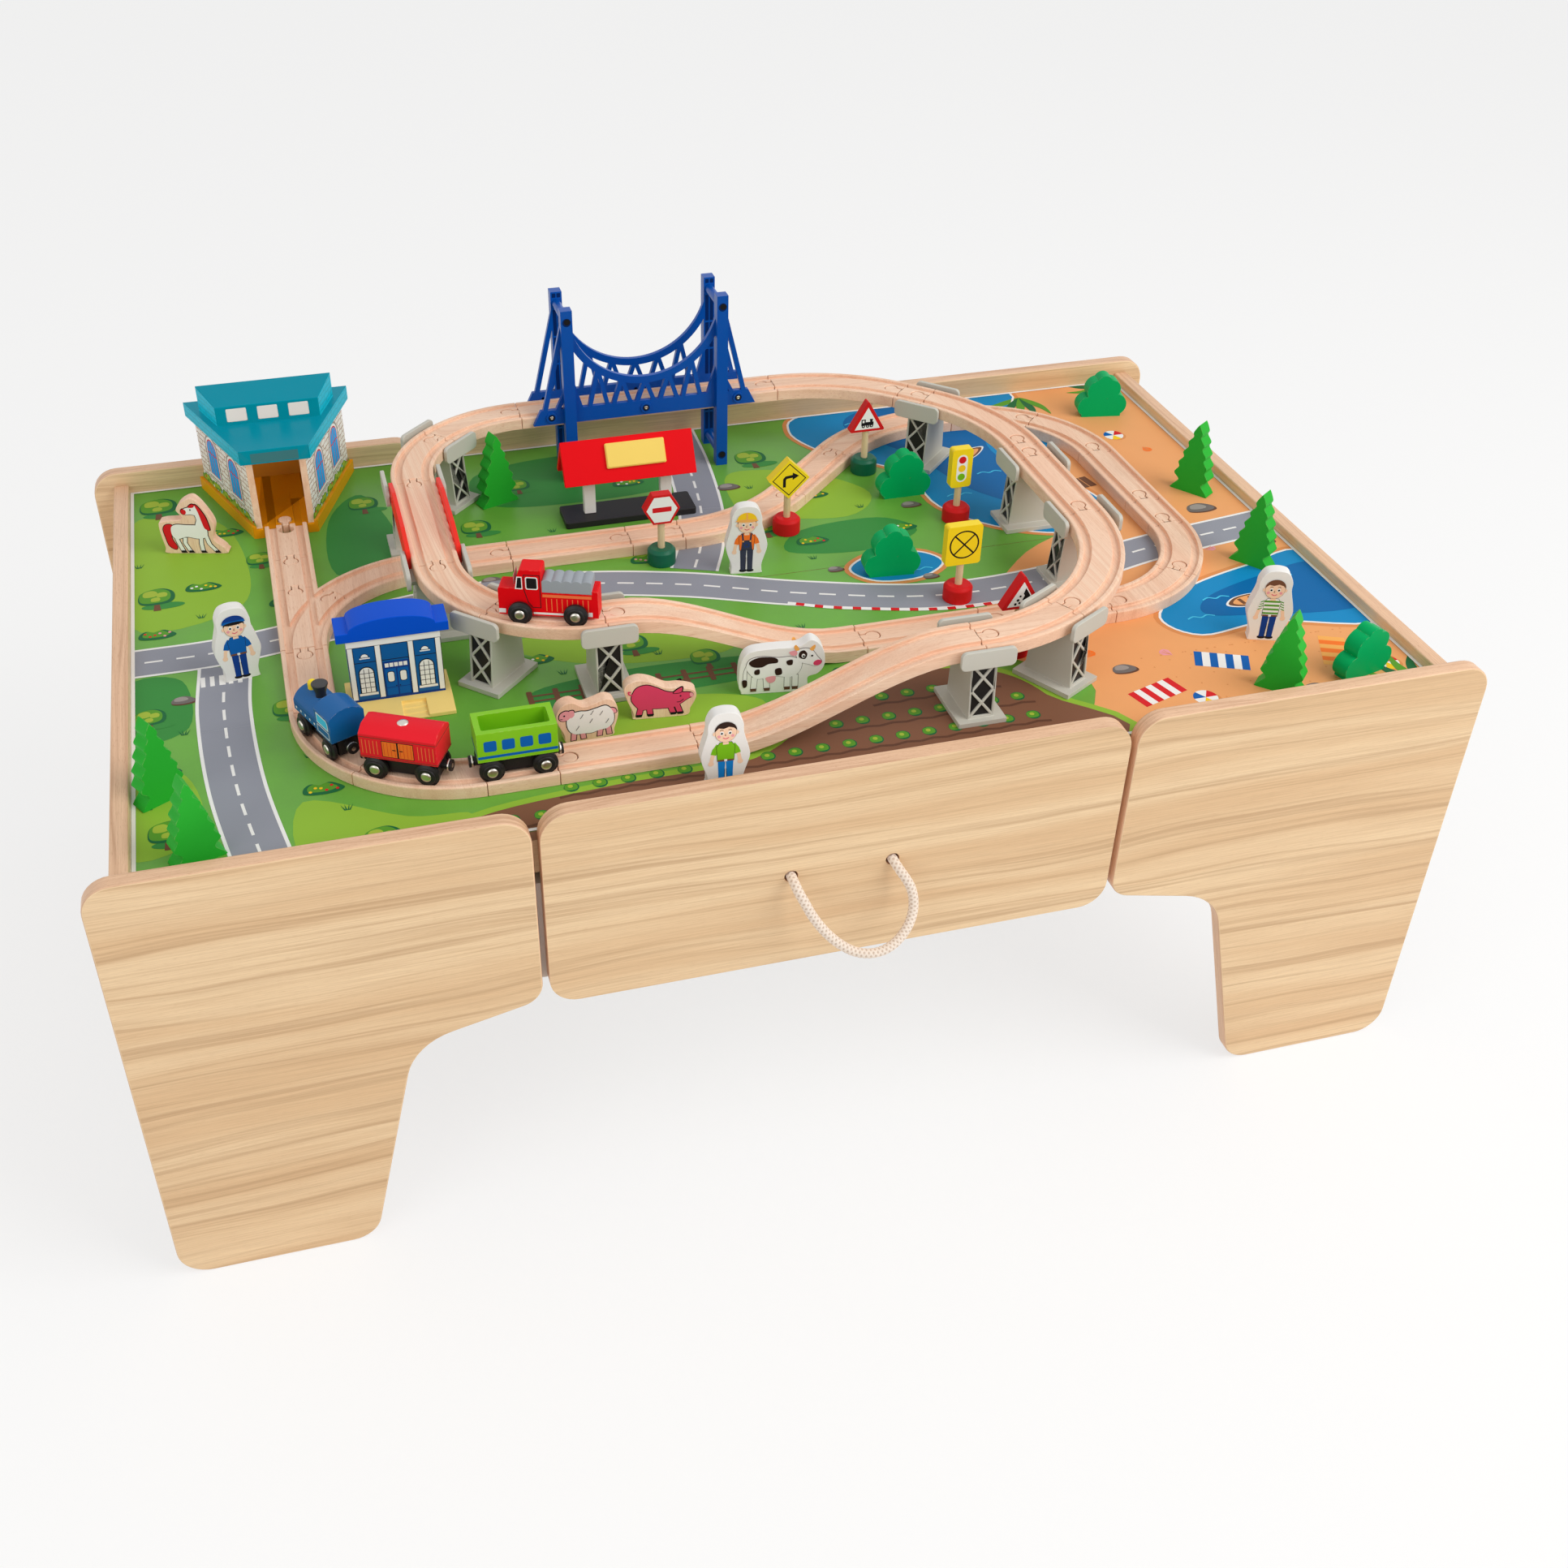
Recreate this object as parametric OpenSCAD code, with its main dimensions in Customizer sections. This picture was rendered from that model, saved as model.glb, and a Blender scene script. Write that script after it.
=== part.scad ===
// Train table: a low play table on four leg panels, with a drawer under the board and a
// wooden railway with its toys on top. Millimetres, floor at z = 0, front towards -Y.

/* [Table] */
// Length over the leg panels
table_l = 1200; // [1160:10:1400]
// Depth over the leg panels
table_d = 700; // [690:10:900]
// Height of the leg panels
table_h = 448; // [420:1:520]
// Thickness of the panels and rails
panel_t = 15; // [12:1:18]
// Radius of the panel corners
panel_r = 25; // [10:1:30]
// Width of a foot on the floor
foot_w = 173; // [140:1:200]
// Radius of the foot corners
foot_r = 28; // [10:1:35]
// Height of the knee of a leg
knee_h = 229; // [200:1:232]
// Lean of the inner edge of a leg
leg_lean = 55; // [35:1:70]
// Radius inside the knee
knee_r = 55; // [30:1:60]
// Step of the end rails in from the panel ends
end_inset = 21; // [10:1:30]
// Depth of the end rails
end_rail_h = 120; // [80:1:160]
// Depth of the long rails under the board
long_rail_h = 34; // [25:1:38]
// Section of the battens under the board
batten_w = 18; // [12:1:24]

/* [Board] */
// Drop of the end rails below the panel tops
rail_drop = 14; // [5:1:20]
// Drop of the play surface below the panel tops
board_drop = 24; // [18:1:40]
// Thickness of the board
board_t = 9; // [6:1:12]
// Gap along the seam of the two halves
board_seam = 0.6; // [0.2:0.1:0.9]

/* [Drawer] */
// Bay between the leg panels
bay_w = 520; // [480:10:560]
// Height of the drawer front
drawer_front_h = 200; // [190:1:210]
// Gap on each side of the drawer front
front_gap = 6; // [2:0.5:8]
// Room behind the drawer box
drawer_room = 110; // [60:5:200]
// Height of the drawer walls
drawer_wall_h = 104; // [60:1:106]
// Thickness of the drawer walls
drawer_wall_t = 12; // [9:1:15]
// Thickness of the drawer floor
drawer_floor_t = 5; // [3:0.5:9]
// Play on each side of the drawer box
drawer_play = 2; // [1:0.5:4]
// Section of the drawer runners
runner_w = 14; // [10:1:20]
// Diameter of the rope handle
rope_d = 9; // [7:0.5:10]
// Play of the rope in its holes
rope_play = 1.5; // [0.5:0.5:3]

/* [Track] */
// Width of the track
track_w = 42; // [40:0.5:46]
// Thickness of the track
track_t = 12; // [11:0.5:14]
// Distance between the groove middles
gauge = 26; // [25:0.5:27]
// Width of a groove
groove_w = 7; // [6.5:0.5:8]
// Depth of a groove
groove_d = 3.5; // [2.5:0.5:4]
// Radius of the tight curves
curve_r = 127; // [125:1:130]
// Radius of the wide curves
wide_r = 182; // [178:1:186]
// Length of a ramp up to the bridge
ramp_l = 248; // [240:1:256]
// Length of the ramp down from the bridge
down_ramp_l = 238; // [230:1:246]
// Rise of the upper line over the board
deck_rise = 62; // [58:1:70]
// Length of the bridge deck
deck_l = 278; // [270:1:290]
// Diameter of a joint peg
peg_d = 13; // [11:0.5:14]
// Gap at a track joint
joint_gap = 0.6; // [0.2:0.1:0.9]

/* [Vehicles] */
// Diameter of the wheels
wheel_d = 21; // [20:0.5:22]
// Width of the wheels
wheel_w = 6; // [5:0.5:6.5]
// Diameter of the axles
axle_d = 4; // [3:0.5:5]
// Distance between the axles of a wagon
wheelbase = 44; // [40:1:46]
// Distance between the axles of the lorry
lorry_wheelbase = 48; // [44:1:50]
// Length of a wagon body
wagon_l = 66; // [60:1:70]
// Width of a wagon body
wagon_w = 32; // [30:0.5:34]

/* [Play pieces] */
// Height of a figure
figure_h = 73; // [60:1:80]
// Thickness of figures and animals
figure_t = 12; // [8:1:16]
// Height of a pine
pine_h = 77; // [60:1:90]
// Height of a bush
bush_h = 53; // [40:1:60]
// Thickness of the trees
tree_t = 16; // [10:1:18]
// Diameter of a sign base
sign_base_d = 28; // [24:1:29]
// Height of a sign base
sign_base_h = 17; // [12:1:20]
// Diameter of a sign post
sign_post_d = 7; // [5:0.5:9]
// Height of the signs' middle over the board
sign_h = 60; // [50:1:66]
// Thickness of a sign head
sign_t = 10; // [6:1:12]

/* [Hidden] */
$fn = 48;
// Overrun of the cuts
over = 1;
// Steps of a rounded corner and of a smooth outline
arc_steps = 8;
spline_steps = 5;

// Table levels and places
half_l = table_l / 2;
half_d = table_d / 2;
inner_d = table_d - 2 * panel_t;
end_x = half_l - end_inset - panel_t;
board_z = table_h - board_drop;
under_z = board_z - board_t;
panel_w = (table_l - bay_w) / 2;
// Rise of the panel's lower edge over the drawer front's
panel_lip = 7;
panel_lip_r = 22;
// Step of the front rail behind the drawer front
rail_set = 0.5;
front_rail_y = -half_d + panel_t + rail_set;
cross_l = table_d - 4 * panel_t;

// Drawer
front_w = bay_w - 2 * front_gap;
front_z = table_h - drawer_front_h;
box_w = bay_w - 2 * drawer_play;
// Height of the drawer walls over the lower edge of the front
box_lift = 18;
box_z = front_z + box_lift;
box_y = -half_d + panel_t;
drawer_depth = inner_d - drawer_room;
// Height of the drawer floor over the lower edge of its walls
floor_lift = 4;
// Running gap over a runner
runner_gap = 0.3;
runner_z = box_z - runner_gap - runner_w;
// Radius of a rope knot and its flat
knot_r = 9;
knot_t = 12;
// Route of the rope handle, from knot to knot
rope_route = [
    [-45, -335, 344], [-45, -343, 344], [-45, -351, 344], [-44.5, -359, 342.5], [-42.5, -366, 337.5],
    [-39, -371.5, 330.5], [-35, -376, 322], [-29, -381, 312.5], [-22, -386, 304], [-13, -391, 296],
    [-2, -395.5, 289.5], [10, -398, 286.5], [22, -397.5, 286], [33, -394.5, 288], [43, -389.5, 292.5],
    [51, -383.5, 299], [56, -377.5, 307], [57.5, -372.5, 316], [56, -368.5, 325], [52.5, -364.5, 332.5],
    [48.5, -359, 338.5], [46, -353, 342.5], [45, -347, 344], [45, -341, 344], [45, -335, 344]];
rope_sides = 10;
rope_ends = [rope_route[0], rope_route[len(rope_route) - 1]];

// Board that the railway is laid out for, and its fit on this one
home_board_l = 1128;
home_board_d = 670;
board_fit = min(2 * end_x / home_board_l, inner_d / home_board_d);

// Kinds of track moves: a straight, a curve, a ramp and the bridge deck
STRAIGHT = 0;
CURVE = 1;
RAMP = 2;
DECK = 3;
// Places of the spur and of the front line, from the table's middle
spur_x = -411;
front_y = -260;
// Lengths of the straights
shed_straight_l = 66;
spur_straight_l = 60;
switch_l = 113;
left_straight_l = 98;
front_straights = [60, 119];
right_straights = [118, 30];
diagonal_l = 31;
guard_l = 165;
ground_straights = [122, 124];
end_straights = [52, 115];
top_straight_l = 20;
// Turns of the first upper curve, and the turn of every other curve piece
first_turns = [30, 60];
turn = 45;
// Chamfer of the track edges
track_c = 1;
// Width of a peg's neck, its reach and its play in the socket
neck_w = 6;
peg_reach = 12;
peg_play = 0.8;
ramp_steps = 16;
// Level run at each end of a ramp
ramp_landing = 16;
// Shares of the closing line that its pieces take
line_shares = [0.21, 0.47, 0.16, 0.16];

switch_end = [spur_x, front_y + curve_r + left_straight_l, -90, board_z];
spur_start = switch_end + [0, switch_l + spur_straight_l + shed_straight_l, 0, 0];
line_y = switch_end[1] + curve_r;
line_end_x = spur_x + curve_r;
tight_turn = [[CURVE, curve_r, turn], [CURVE, curve_r, turn]];
front_moves = concat([[STRAIGHT, left_straight_l]], tight_turn,
    [for (l = front_straights) [STRAIGHT, l]], [[RAMP, ramp_l, deck_rise]]);
upper_moves = concat([for (a = first_turns) [CURVE, wide_r, a]], [for (l = right_straights) [STRAIGHT, l]],
    [[CURVE, wide_r, turn], [STRAIGHT, diagonal_l], [CURVE, wide_r, turn], [DECK, deck_l]],
    tight_turn, [[STRAIGHT, guard_l]], tight_turn, [[RAMP, down_ramp_l, -deck_rise]]);
ground_moves = concat([for (l = ground_straights) [STRAIGHT, l]], tight_turn,
    [for (l = end_straights) [STRAIGHT, l]], tight_turn, [[STRAIGHT, top_straight_l]]);
open_moves = concat(front_moves, upper_moves, ground_moves);
open_end = last(poses(switch_end, open_moves));
weave_l = (open_end[1] - line_y - 2 * wide_r * (1 - cos(turn))) / sin(turn);
line_l = open_end[0] - 2 * wide_r * sin(turn) - weave_l * cos(turn) - line_end_x;
loop_moves = concat(open_moves,
    [[CURVE, wide_r, turn], [STRAIGHT, weave_l], [CURVE, wide_r, -turn]],
    [for (s = line_shares) [STRAIGHT, s * line_l]], [[CURVE, curve_r, turn]]);
loop_poses = poses(switch_end, loop_moves);
upper_i = len(front_moves);
deck_i = upper_i + 7;
guard_i = deck_i + 3;
down_i = guard_i + 3;
// Joints of the upper line that stand on a pier
pier_joints = [upper_i, upper_i + 1, upper_i + 2, upper_i + 3, upper_i + 5,
    deck_i + 2, guard_i, guard_i + 1, guard_i + 2, down_i];

// Field that the toys stand in, spanned by the railway itself
deck_pose = loop_poses[deck_i];
field_x = spur_x;
field_l = loop_poses[down_i + 5][0] - spur_x;
field_d = deck_pose[1] - front_y;

// Piers
pier_l = 44;
pier_w = 61;
pier_base_t = 5;
pier_face_l = 24;
pier_foot_w = 50;
pier_top_w = 42;
pier_saddle_t = 4;
pier_slack = 4.5;
pier_wall = 2;
lattice_bar = 2.4;
lattice_d = 7;
flange_l = 50;
flange_t = 4;
flange_h = 18;
flange_lap = 4;
flange_r = 5;

// Bridge
tower_w = 12;
tower_h = 190;
tower_gap = 163;
truss_t = 5;
chord_drop = 4;
chord_h = 16;
chord_l = 240;
chord_taper = 8;
cable_low = 27;
cable_t = 7.5;
cable_rise = 55;
web_vees = 5;
web_pitch = 25;
web_w = 4.5;
gusset_w = 10;
gusset_h = 30;
brace_w = 5;
brace_foot = 14;
bar_d = 9;
bar_hole_d = 6;
bar_edge = 12;
boss_d = 11;
boss_hole_d = 4;
boss_t = 1.5;
bridge_shift = 8;

// Guard rails
guard_clear = 1.5;
guard_rail_l = guard_l - pier_face_l - 2 * guard_clear;
guard_t = 4;
guard_low = 3;
guard_end_h = 6;
guard_mid_h = 12;
guard_slots = 7;
guard_slot_share = 0.62;
guard_rim = 3;

// Engine shed
shed_front_w = 64;
shed_back_w = 160;
shed_d = 127;
shed_floor_t = 10;
shed_rim_h = 14;
shed_rim = 4;
shed_wall_t = 6;
shed_wall_h = 73;
shed_roof_h = 15;
shed_skin = 2;
shed_eave = 3;
shed_notch = 3;
shed_seat = 0.5;
lantern_y = 60;
lantern_d = 44;
lantern_h = 20;
lantern_rise = 6;
lantern_inset = 4;
lantern_pane = 20;
lantern_pane_h = 14;
lantern_panes = 3;
lantern_pane_gap = 30.5;

// Station
platform_l = 137;
platform_w = 39;
platform_t = 7;
platform_r = 3;
station_post_w = 12;
station_post_t = 8;
station_post_gap = 80;
station_roof_l = 136;
station_eave_h = 49;
station_ridge_h = 88;
station_span = 46;
station_roof_t = 5;

// Building
building_w = 80;
building_d = 26;
building_h = 62;
building_base_w = 90;
building_base_d = 61;
building_base_t = 8;
building_base_lip = 4;
building_back = 8;
building_steps = 3;
building_step_w = 21;
building_step_x = 11;
building_roof_w = 96;
building_roof_d = 30;
building_shoulder_h = 9;
building_arch_w = 74;
building_arch_h = 20;

// Signs
sign_chamfer = 3;
sign_socket = 8;
post_play = 0.1;
stop_w = 36;
diamond_w = 30;
lamp_w = 22;
lamp_h = 42;
plate_w = 35;
plate_h = 41;
triangle_w = 40;
plate_r = 3;

// Vehicles
wheel_gap = 0.3;
tread_w = 2.6;
wheel_shoulder_r = 6.8;
bore_play = 0.16;
axle_z = wheel_d / 2 + wheel_gap;
run_z = track_t - groove_d;
chassis_l = 60;
chassis_w = 18.5;
chassis_low = 5.8;
body_gap = 0.7;
body_z = wheel_d + wheel_gap + body_gap;
coupler_d = 10;
coupler_l = 5;
magnet_t = 4;
magnet_r = 1;
body_h = 28;
body_r = 2;
roof_pitch = 5;
hollow_wall = 5;
hollow_d = 18;
boiler_l = 40;
boiler_w = 30;
boiler_side_h = 9;
boiler_arch_r = 16;
chimney_share = 0.42;
dome_share = 0.78;
cab_l = 26;
cab_side_h = 22;
cab_arch_r = 22;
fitting_seat = 2;
fitting_play = 0.1;
dome_d = 8;
dome_h = 10;
chimney_d = 9;
chimney_top_d = 14;
chimney_h = 14;
chimney_rim = 1;
lorry_l = 86;
lorry_w = 19;
lorry_low = 6.8;
lorry_bed_h = 23;
lorry_bonnet_h = 26;
lorry_cab_h = 44;
lorry_cab_l = 24;
lorry_bonnet_l = 14;
lorry_tail_t = 5;
lorry_screen = 5;
load_h = 8;
load_bumps = 5;
load_r = 6;
// Turns along the curves at which the vehicles stand
loco_turn = 23.4;
red_wagon_turn = 62;
lorry_turn = 69.6;
green_wagon_s = 28;

// Places of the toys, as shares of the field
stop_shares = [0.409, 0.588];
bend_shares = [0.568, 0.642];
train_shares = [0.706, 0.841];
lamp_shares = [0.771, 0.603];
cross_shares = [0.706, 0.326];
rocks_shares = [0.724, 0.137];
people_shares = [[0.496, 0.517], [0.367, -0.0955], [0.994, 0.069], [-0.066, 0.395]];
people_yaws = [-8, -4, -20, 10];
horse_shares = [-0.103, 0.8475];
sheep_shares = [0.256, 0.077];
pig_shares = [0.335, 0.1086];
cow_shares = [0.4647, 0.129];
animal_yaws = [-15, 4, -6, -8];
pine_shares = [[0.2514, 0.897], [-0.149, 0.084], [-0.119, -0.077], [1.079, 0.597],
    [1.0626, 0.307], [0.9618, -0.0805]];
pine_yaws = [20, 30, 20, -55, -55, -45];
bush_shares = [[1.0626, 0.966], [0.732, 0.728], [0.6535, 0.444], [1.0568, -0.071]];
bush_yaws = [-10, 0, -5, 15];
station_shares = [0.3975, 0.787];
building_shares = [0.0863, 0.25];

// Outlines of figures and animals, as shares of their width and height
figure_w = 41;
person_half_shares = [[0.32, 0], [0.365, 0.04], [0.37, 0.15], [0.49, 0.38], [0.47, 0.51], [0.37, 0.72],
    [0.355, 0.85], [0.25, 0.965], [0.09, 1]];
horse_w = 62;
horse_h = 61;
horse_outline_shares = [[-0.4, 0], [0.46, 0], [0.5, 0.07], [0.45, 0.14], [0.35, 0.23], [0.33, 0.32],
    [0.37, 0.46], [0.36, 0.58], [0.28, 0.76], [0.175, 0.93], [0.07, 1], [-0.09, 0.92], [-0.18, 0.79],
    [-0.11, 0.67], [-0.16, 0.61], [-0.43, 0.58], [-0.5, 0.5], [-0.46, 0.12]];
sheep_w = 54;
sheep_h = 42;
sheep_outline_shares = [[-0.3, 0], [0.36, 0], [0.43, 0.18], [0.5, 0.5], [0.46, 0.8], [0.32, 0.92],
    [0.12, 0.86], [-0.06, 0.83], [-0.24, 0.98], [-0.43, 0.9], [-0.5, 0.64], [-0.39, 0.25]];
pig_w = 62;
pig_h = 40;
pig_outline_shares = [[-0.34, 0], [0.33, 0], [0.42, 0.2], [0.5, 0.46], [0.47, 0.64], [0.27, 0.74],
    [0.08, 0.76], [-0.12, 0.93], [-0.3, 1], [-0.46, 0.91], [-0.5, 0.7], [-0.38, 0.16]];
cow_w = 76;
cow_h = 53;
cow_outline_shares = [[-0.4, 0], [0.25, 0], [0.31, 0.08], [0.31, 0.27], [0.43, 0.34], [0.5, 0.52],
    [0.47, 0.82], [0.34, 1], [0.18, 0.88], [-0.1, 0.87], [-0.38, 0.82], [-0.48, 0.6], [-0.5, 0.2],
    [-0.47, 0.06]];
pine_w = 42;
pine_half_shares = [[0.42, 0], [0.47, 0.04], [0.31, 0.15], [0.45, 0.24], [0.35, 0.34], [0.385, 0.41],
    [0.27, 0.5], [0.305, 0.57], [0.19, 0.66], [0.215, 0.73], [0.1, 0.82], [0.12, 0.88], [0.02, 0.99]];
bush_w = 56;
bush_foot_share = 0.4;
bush_lobe_shares = [[-0.29, 0.24, 0.21], [0.27, 0.26, 0.23], [-0.1, 0.58, 0.24], [0.14, 0.62, 0.2],
    [0, 0.76, 0.16]];

function last(v) = v[len(v) - 1];
function unit(v) = v / norm(v);
function xy(p) = [p[0], p[1]];
function scaled(shares, w, h) = [for (s = shares) [s[0] * w, s[1] * h]];
function stand(s) = [field_x + s[0] * field_l, front_y + s[1] * field_d, board_z];

// Points of one corner of an outline, rounded to its own radius
function corner(a, p, b) = p[2] == 0 ? [xy(p)] :
    let (u = unit(xy(a) - xy(p)), v = unit(xy(b) - xy(p)), half = acos(u * v) / 2,
        mid = xy(p) + unit(u + v) * p[2] / sin(half), s = xy(p) + u * p[2] / tan(half) - mid,
        sweep = sign(u[1] * v[0] - u[0] * v[1]) * (180 - 2 * half), a0 = atan2(s[1], s[0]))
    [for (k = [0:arc_steps]) let (t = a0 + sweep * k / arc_steps) mid + p[2] * [cos(t), sin(t)]];
function rounded(c) = [for (i = [0:len(c) - 1])
    each corner(c[(i + len(c) - 1) % len(c)], c[i], c[(i + 1) % len(c)])];
function box_outline(w, h, r) = rounded([[-w / 2, 0, r], [w / 2, 0, r], [w / 2, h, r], [-w / 2, h, r]]);

// A smooth closed curve through a few points
function spline(a, b, c, d, t) = (2 * b + (c - a) * t + (2 * a - 5 * b + 4 * c - d) * t * t
    + (3 * b - a - 3 * c + d) * t * t * t) / 2;
function smooth(p) = let (n = len(p)) [for (i = [0:n - 1], k = [0:spline_steps - 1])
    spline(p[(i + n - 1) % n], p[i], p[(i + 1) % n], p[(i + 2) % n], k / spline_steps)];

// Poses along the railway: x, y, heading and level
function advance(p, m) = m[0] == CURVE
    ? let (s = sign(m[2]), h = p[2] + m[2])
        [p[0] + s * m[1] * (sin(h) - sin(p[2])), p[1] - s * m[1] * (cos(h) - cos(p[2])), h, p[3]]
    : [p[0] + m[1] * cos(p[2]), p[1] + m[1] * sin(p[2]), p[2], p[3] + (m[0] == RAMP ? m[2] : 0)];
function poses(start, moves) = [for (i = 0, p = start; i <= len(moves);
    p = i < len(moves) ? advance(p, moves[i]) : p, i = i + 1) p];

// Rings of a round tube along a route, and the triangles between them
function along(r, i) = unit(r[min(i + 1, len(r) - 1)] - r[max(i - 1, 0)]);
function ring(r, i, d, n) = let (t = along(r, i), u = unit(cross(t, [1, 1, 1])), v = cross(t, u))
    [for (k = [0:n - 1]) r[i] + (u * cos(360 * k / n) + v * sin(360 * k / n)) * d / 2];
function tube_points(r, d, n) = [for (i = [0:len(r) - 1]) each ring(r, i, d, n)];
function tube_sides(m, n) = [for (i = [0:m - 2], k = [0:n - 1]) let (a = i * n + k, b = i * n + (k + 1) % n)
    each [[a, a + n, b + n], [a, b + n, b]]];
function tube_faces(m, n) = concat(tube_sides(m, n), [[for (k = [0:n - 1]) k]],
    [[for (k = [n - 1:-1:0]) (m - 1) * n + k]]);

// An outline drawn in width and height, made into an upright slab
module slab(t) {
    rotate([90, 0, 0]) linear_extrude(t, center = true) children();
}

module at(p) {
    translate([p[0], p[1], p[3]]) rotate(p[2]) children();
}

// The railway and its toys, fitted to the board
module on_board() {
    translate([0, 0, board_z]) scale(board_fit) translate([0, 0, -board_z]) children();
}

module block(size, at) {
    translate(at - [size[0] / 2, size[1] / 2, 0]) cube(size);
}

// Table
module leg_panel() {
    rotate([90, 0, 0]) linear_extrude(panel_t) polygon(rounded([
        [0, 0, foot_r], [foot_w, 0, foot_r], [foot_w + leg_lean, knee_h, knee_r],
        [panel_w, front_z + panel_lip, panel_lip_r], [panel_w, table_h, panel_r], [0, table_h, panel_r]]));
}

module leg_panel_front_left() {
    color("burlywood") translate([-half_l, -half_d + panel_t, 0]) leg_panel();
}

module leg_panel_front_right() {
    color("burlywood") translate([half_l, -half_d + panel_t, 0]) mirror([1, 0, 0]) leg_panel();
}

module leg_panel_back_left() {
    color("burlywood") translate([-half_l, half_d, 0]) leg_panel();
}

module leg_panel_back_right() {
    color("burlywood") translate([half_l, half_d, 0]) mirror([1, 0, 0]) leg_panel();
}

module bay_panel() {
    rotate([90, 0, 0]) linear_extrude(panel_t) polygon(box_outline(front_w, drawer_front_h, panel_r));
}

module back_panel() {
    color("burlywood") translate([0, half_d, front_z]) bay_panel();
}

module end_rails() {
    color("burlywood") for (s = [-1, 1])
        block([panel_t, inner_d, end_rail_h],
            [s * (end_x + panel_t / 2), 0, table_h - rail_drop - end_rail_h]);
}

module long_rails() {
    color("tan") for (y = [front_rail_y + panel_t / 2, half_d - panel_t - panel_t / 2])
        block([2 * end_x, panel_t, long_rail_h], [0, y, under_z - long_rail_h]);
}

module board_supports() {
    rail_y = front_rail_y + panel_t;
    color("tan") translate([0, rail_y, 0]) {
        for (s = [-1, 1])
            translate([s * (end_x - batten_w / 2) - batten_w / 2, 0, under_z - batten_w])
                cube([batten_w, cross_l - rail_set, batten_w]);
        for (s = [-1, 1])
            translate([s * (bay_w / 2 + panel_t / 2) - panel_t / 2, 0, runner_z])
                cube([panel_t, cross_l - rail_set, under_z - runner_z]);
        translate([-batten_w / 2, 0, under_z - batten_w]) cube([batten_w, cross_l - rail_set, batten_w]);
    }
}

module drawer_runners() {
    color("wheat") for (s = [-1, 1])
        block([runner_w, cross_l - rail_set, runner_w],
            [s * (bay_w / 2 - runner_w / 2), rail_set / 2, runner_z]);
}

module board_half(s) {
    w = inner_d / 2 - board_seam / 2;
    block([2 * end_x, w, board_t], [0, s * (w + board_seam) / 2, under_z]);
}

module board_front() {
    color("yellowgreen") board_half(-1);
}

module board_back() {
    color("yellowgreen") board_half(1);
}

// Drawer
module drawer_front() {
    color("burlywood") difference() {
        translate([0, -half_d + panel_t, front_z]) bay_panel();
        for (p = rope_ends)
            translate([p[0], -half_d - over, p[2]]) rotate([-90, 0, 0])
                cylinder(d = rope_d + 2 * rope_play, h = panel_t + 2 * over);
    }
}

module drawer_walls() {
    color("gainsboro") translate([0, box_y, box_z]) {
        for (s = [-1, 1])
            translate([s * (box_w - drawer_wall_t) / 2 - drawer_wall_t / 2, 0, 0])
                cube([drawer_wall_t, drawer_depth, drawer_wall_h]);
        translate([-box_w / 2 + drawer_wall_t, drawer_depth - drawer_wall_t, 0])
            cube([box_w - 2 * drawer_wall_t, drawer_wall_t, drawer_wall_h]);
    }
}

module drawer_floor() {
    inside = box_w - 2 * drawer_wall_t;
    color("gainsboro") translate([-inside / 2, box_y, box_z + floor_lift])
        cube([inside, drawer_depth - drawer_wall_t, drawer_floor_t]);
}

module rope_handle() {
    color("ivory") polyhedron(tube_points(rope_route, rope_d, rope_sides),
        tube_faces(len(rope_route), rope_sides));
}

module rope_knots() {
    color("ivory") for (p = rope_ends)
        translate([p[0], box_y, p[2]]) rotate([-90, 0, 0]) rotate_extrude()
            intersection() {
                translate([0, knot_t / 2]) circle(r = knot_r);
                square([knot_r, knot_t]);
            }
}

// Track
function track_profile() = [[-track_w / 2, 0], [track_w / 2, 0], [track_w / 2, track_t - track_c],
    [track_w / 2 - track_c, track_t], [-track_w / 2 + track_c, track_t], [-track_w / 2, track_t - track_c]];

module profile() {
    polygon(track_profile());
}

module groove_profile(top = track_t) {
    for (s = [-1, 1])
        translate([s * gauge / 2 - groove_w / 2, top - groove_d]) square([groove_w, groove_d + over]);
}

module grooved_profile() {
    difference() {
        profile();
        groove_profile();
    }
}

module run(l) {
    rotate([90, 0, 90]) linear_extrude(l) children();
}

module bend(r, a) {
    translate([0, r, 0]) rotate(-90) rotate_extrude(angle = a) translate([r, 0]) children();
}

module peg(slack = 0) {
    h = track_t - (slack > 0 ? 0 : joint_gap) + (slack > 0 ? 2 * over : 0);
    z = slack > 0 ? -over : 0;
    back = slack > 0 ? over : joint_gap;
    translate([-back, -neck_w / 2 - slack, z]) cube([peg_reach + back, neck_w + 2 * slack, h]);
    translate([peg_reach, 0, z]) cylinder(d = peg_d + 2 * slack, h = h);
}

// A piece ends in a peg and starts with a socket for the one before
module piece(m) {
    end = advance([0, 0, 0, 0], m);
    difference() {
        if (m[0] == CURVE)
            mirror([0, m[2] < 0 ? 1 : 0, 0]) bend(m[1], abs(m[2])) grooved_profile();
        else if (m[0] == RAMP)
            ramp(m[1], m[2]);
        else
            run(m[1]) grooved_profile();
        translate([-over, -track_w, min(0, m[0] == RAMP ? m[2] : 0) - over])
            cube([over + joint_gap, 2 * track_w, deck_rise + track_t + 2 * over]);
        peg(peg_play);
    }
    at(end) peg();
}

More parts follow.
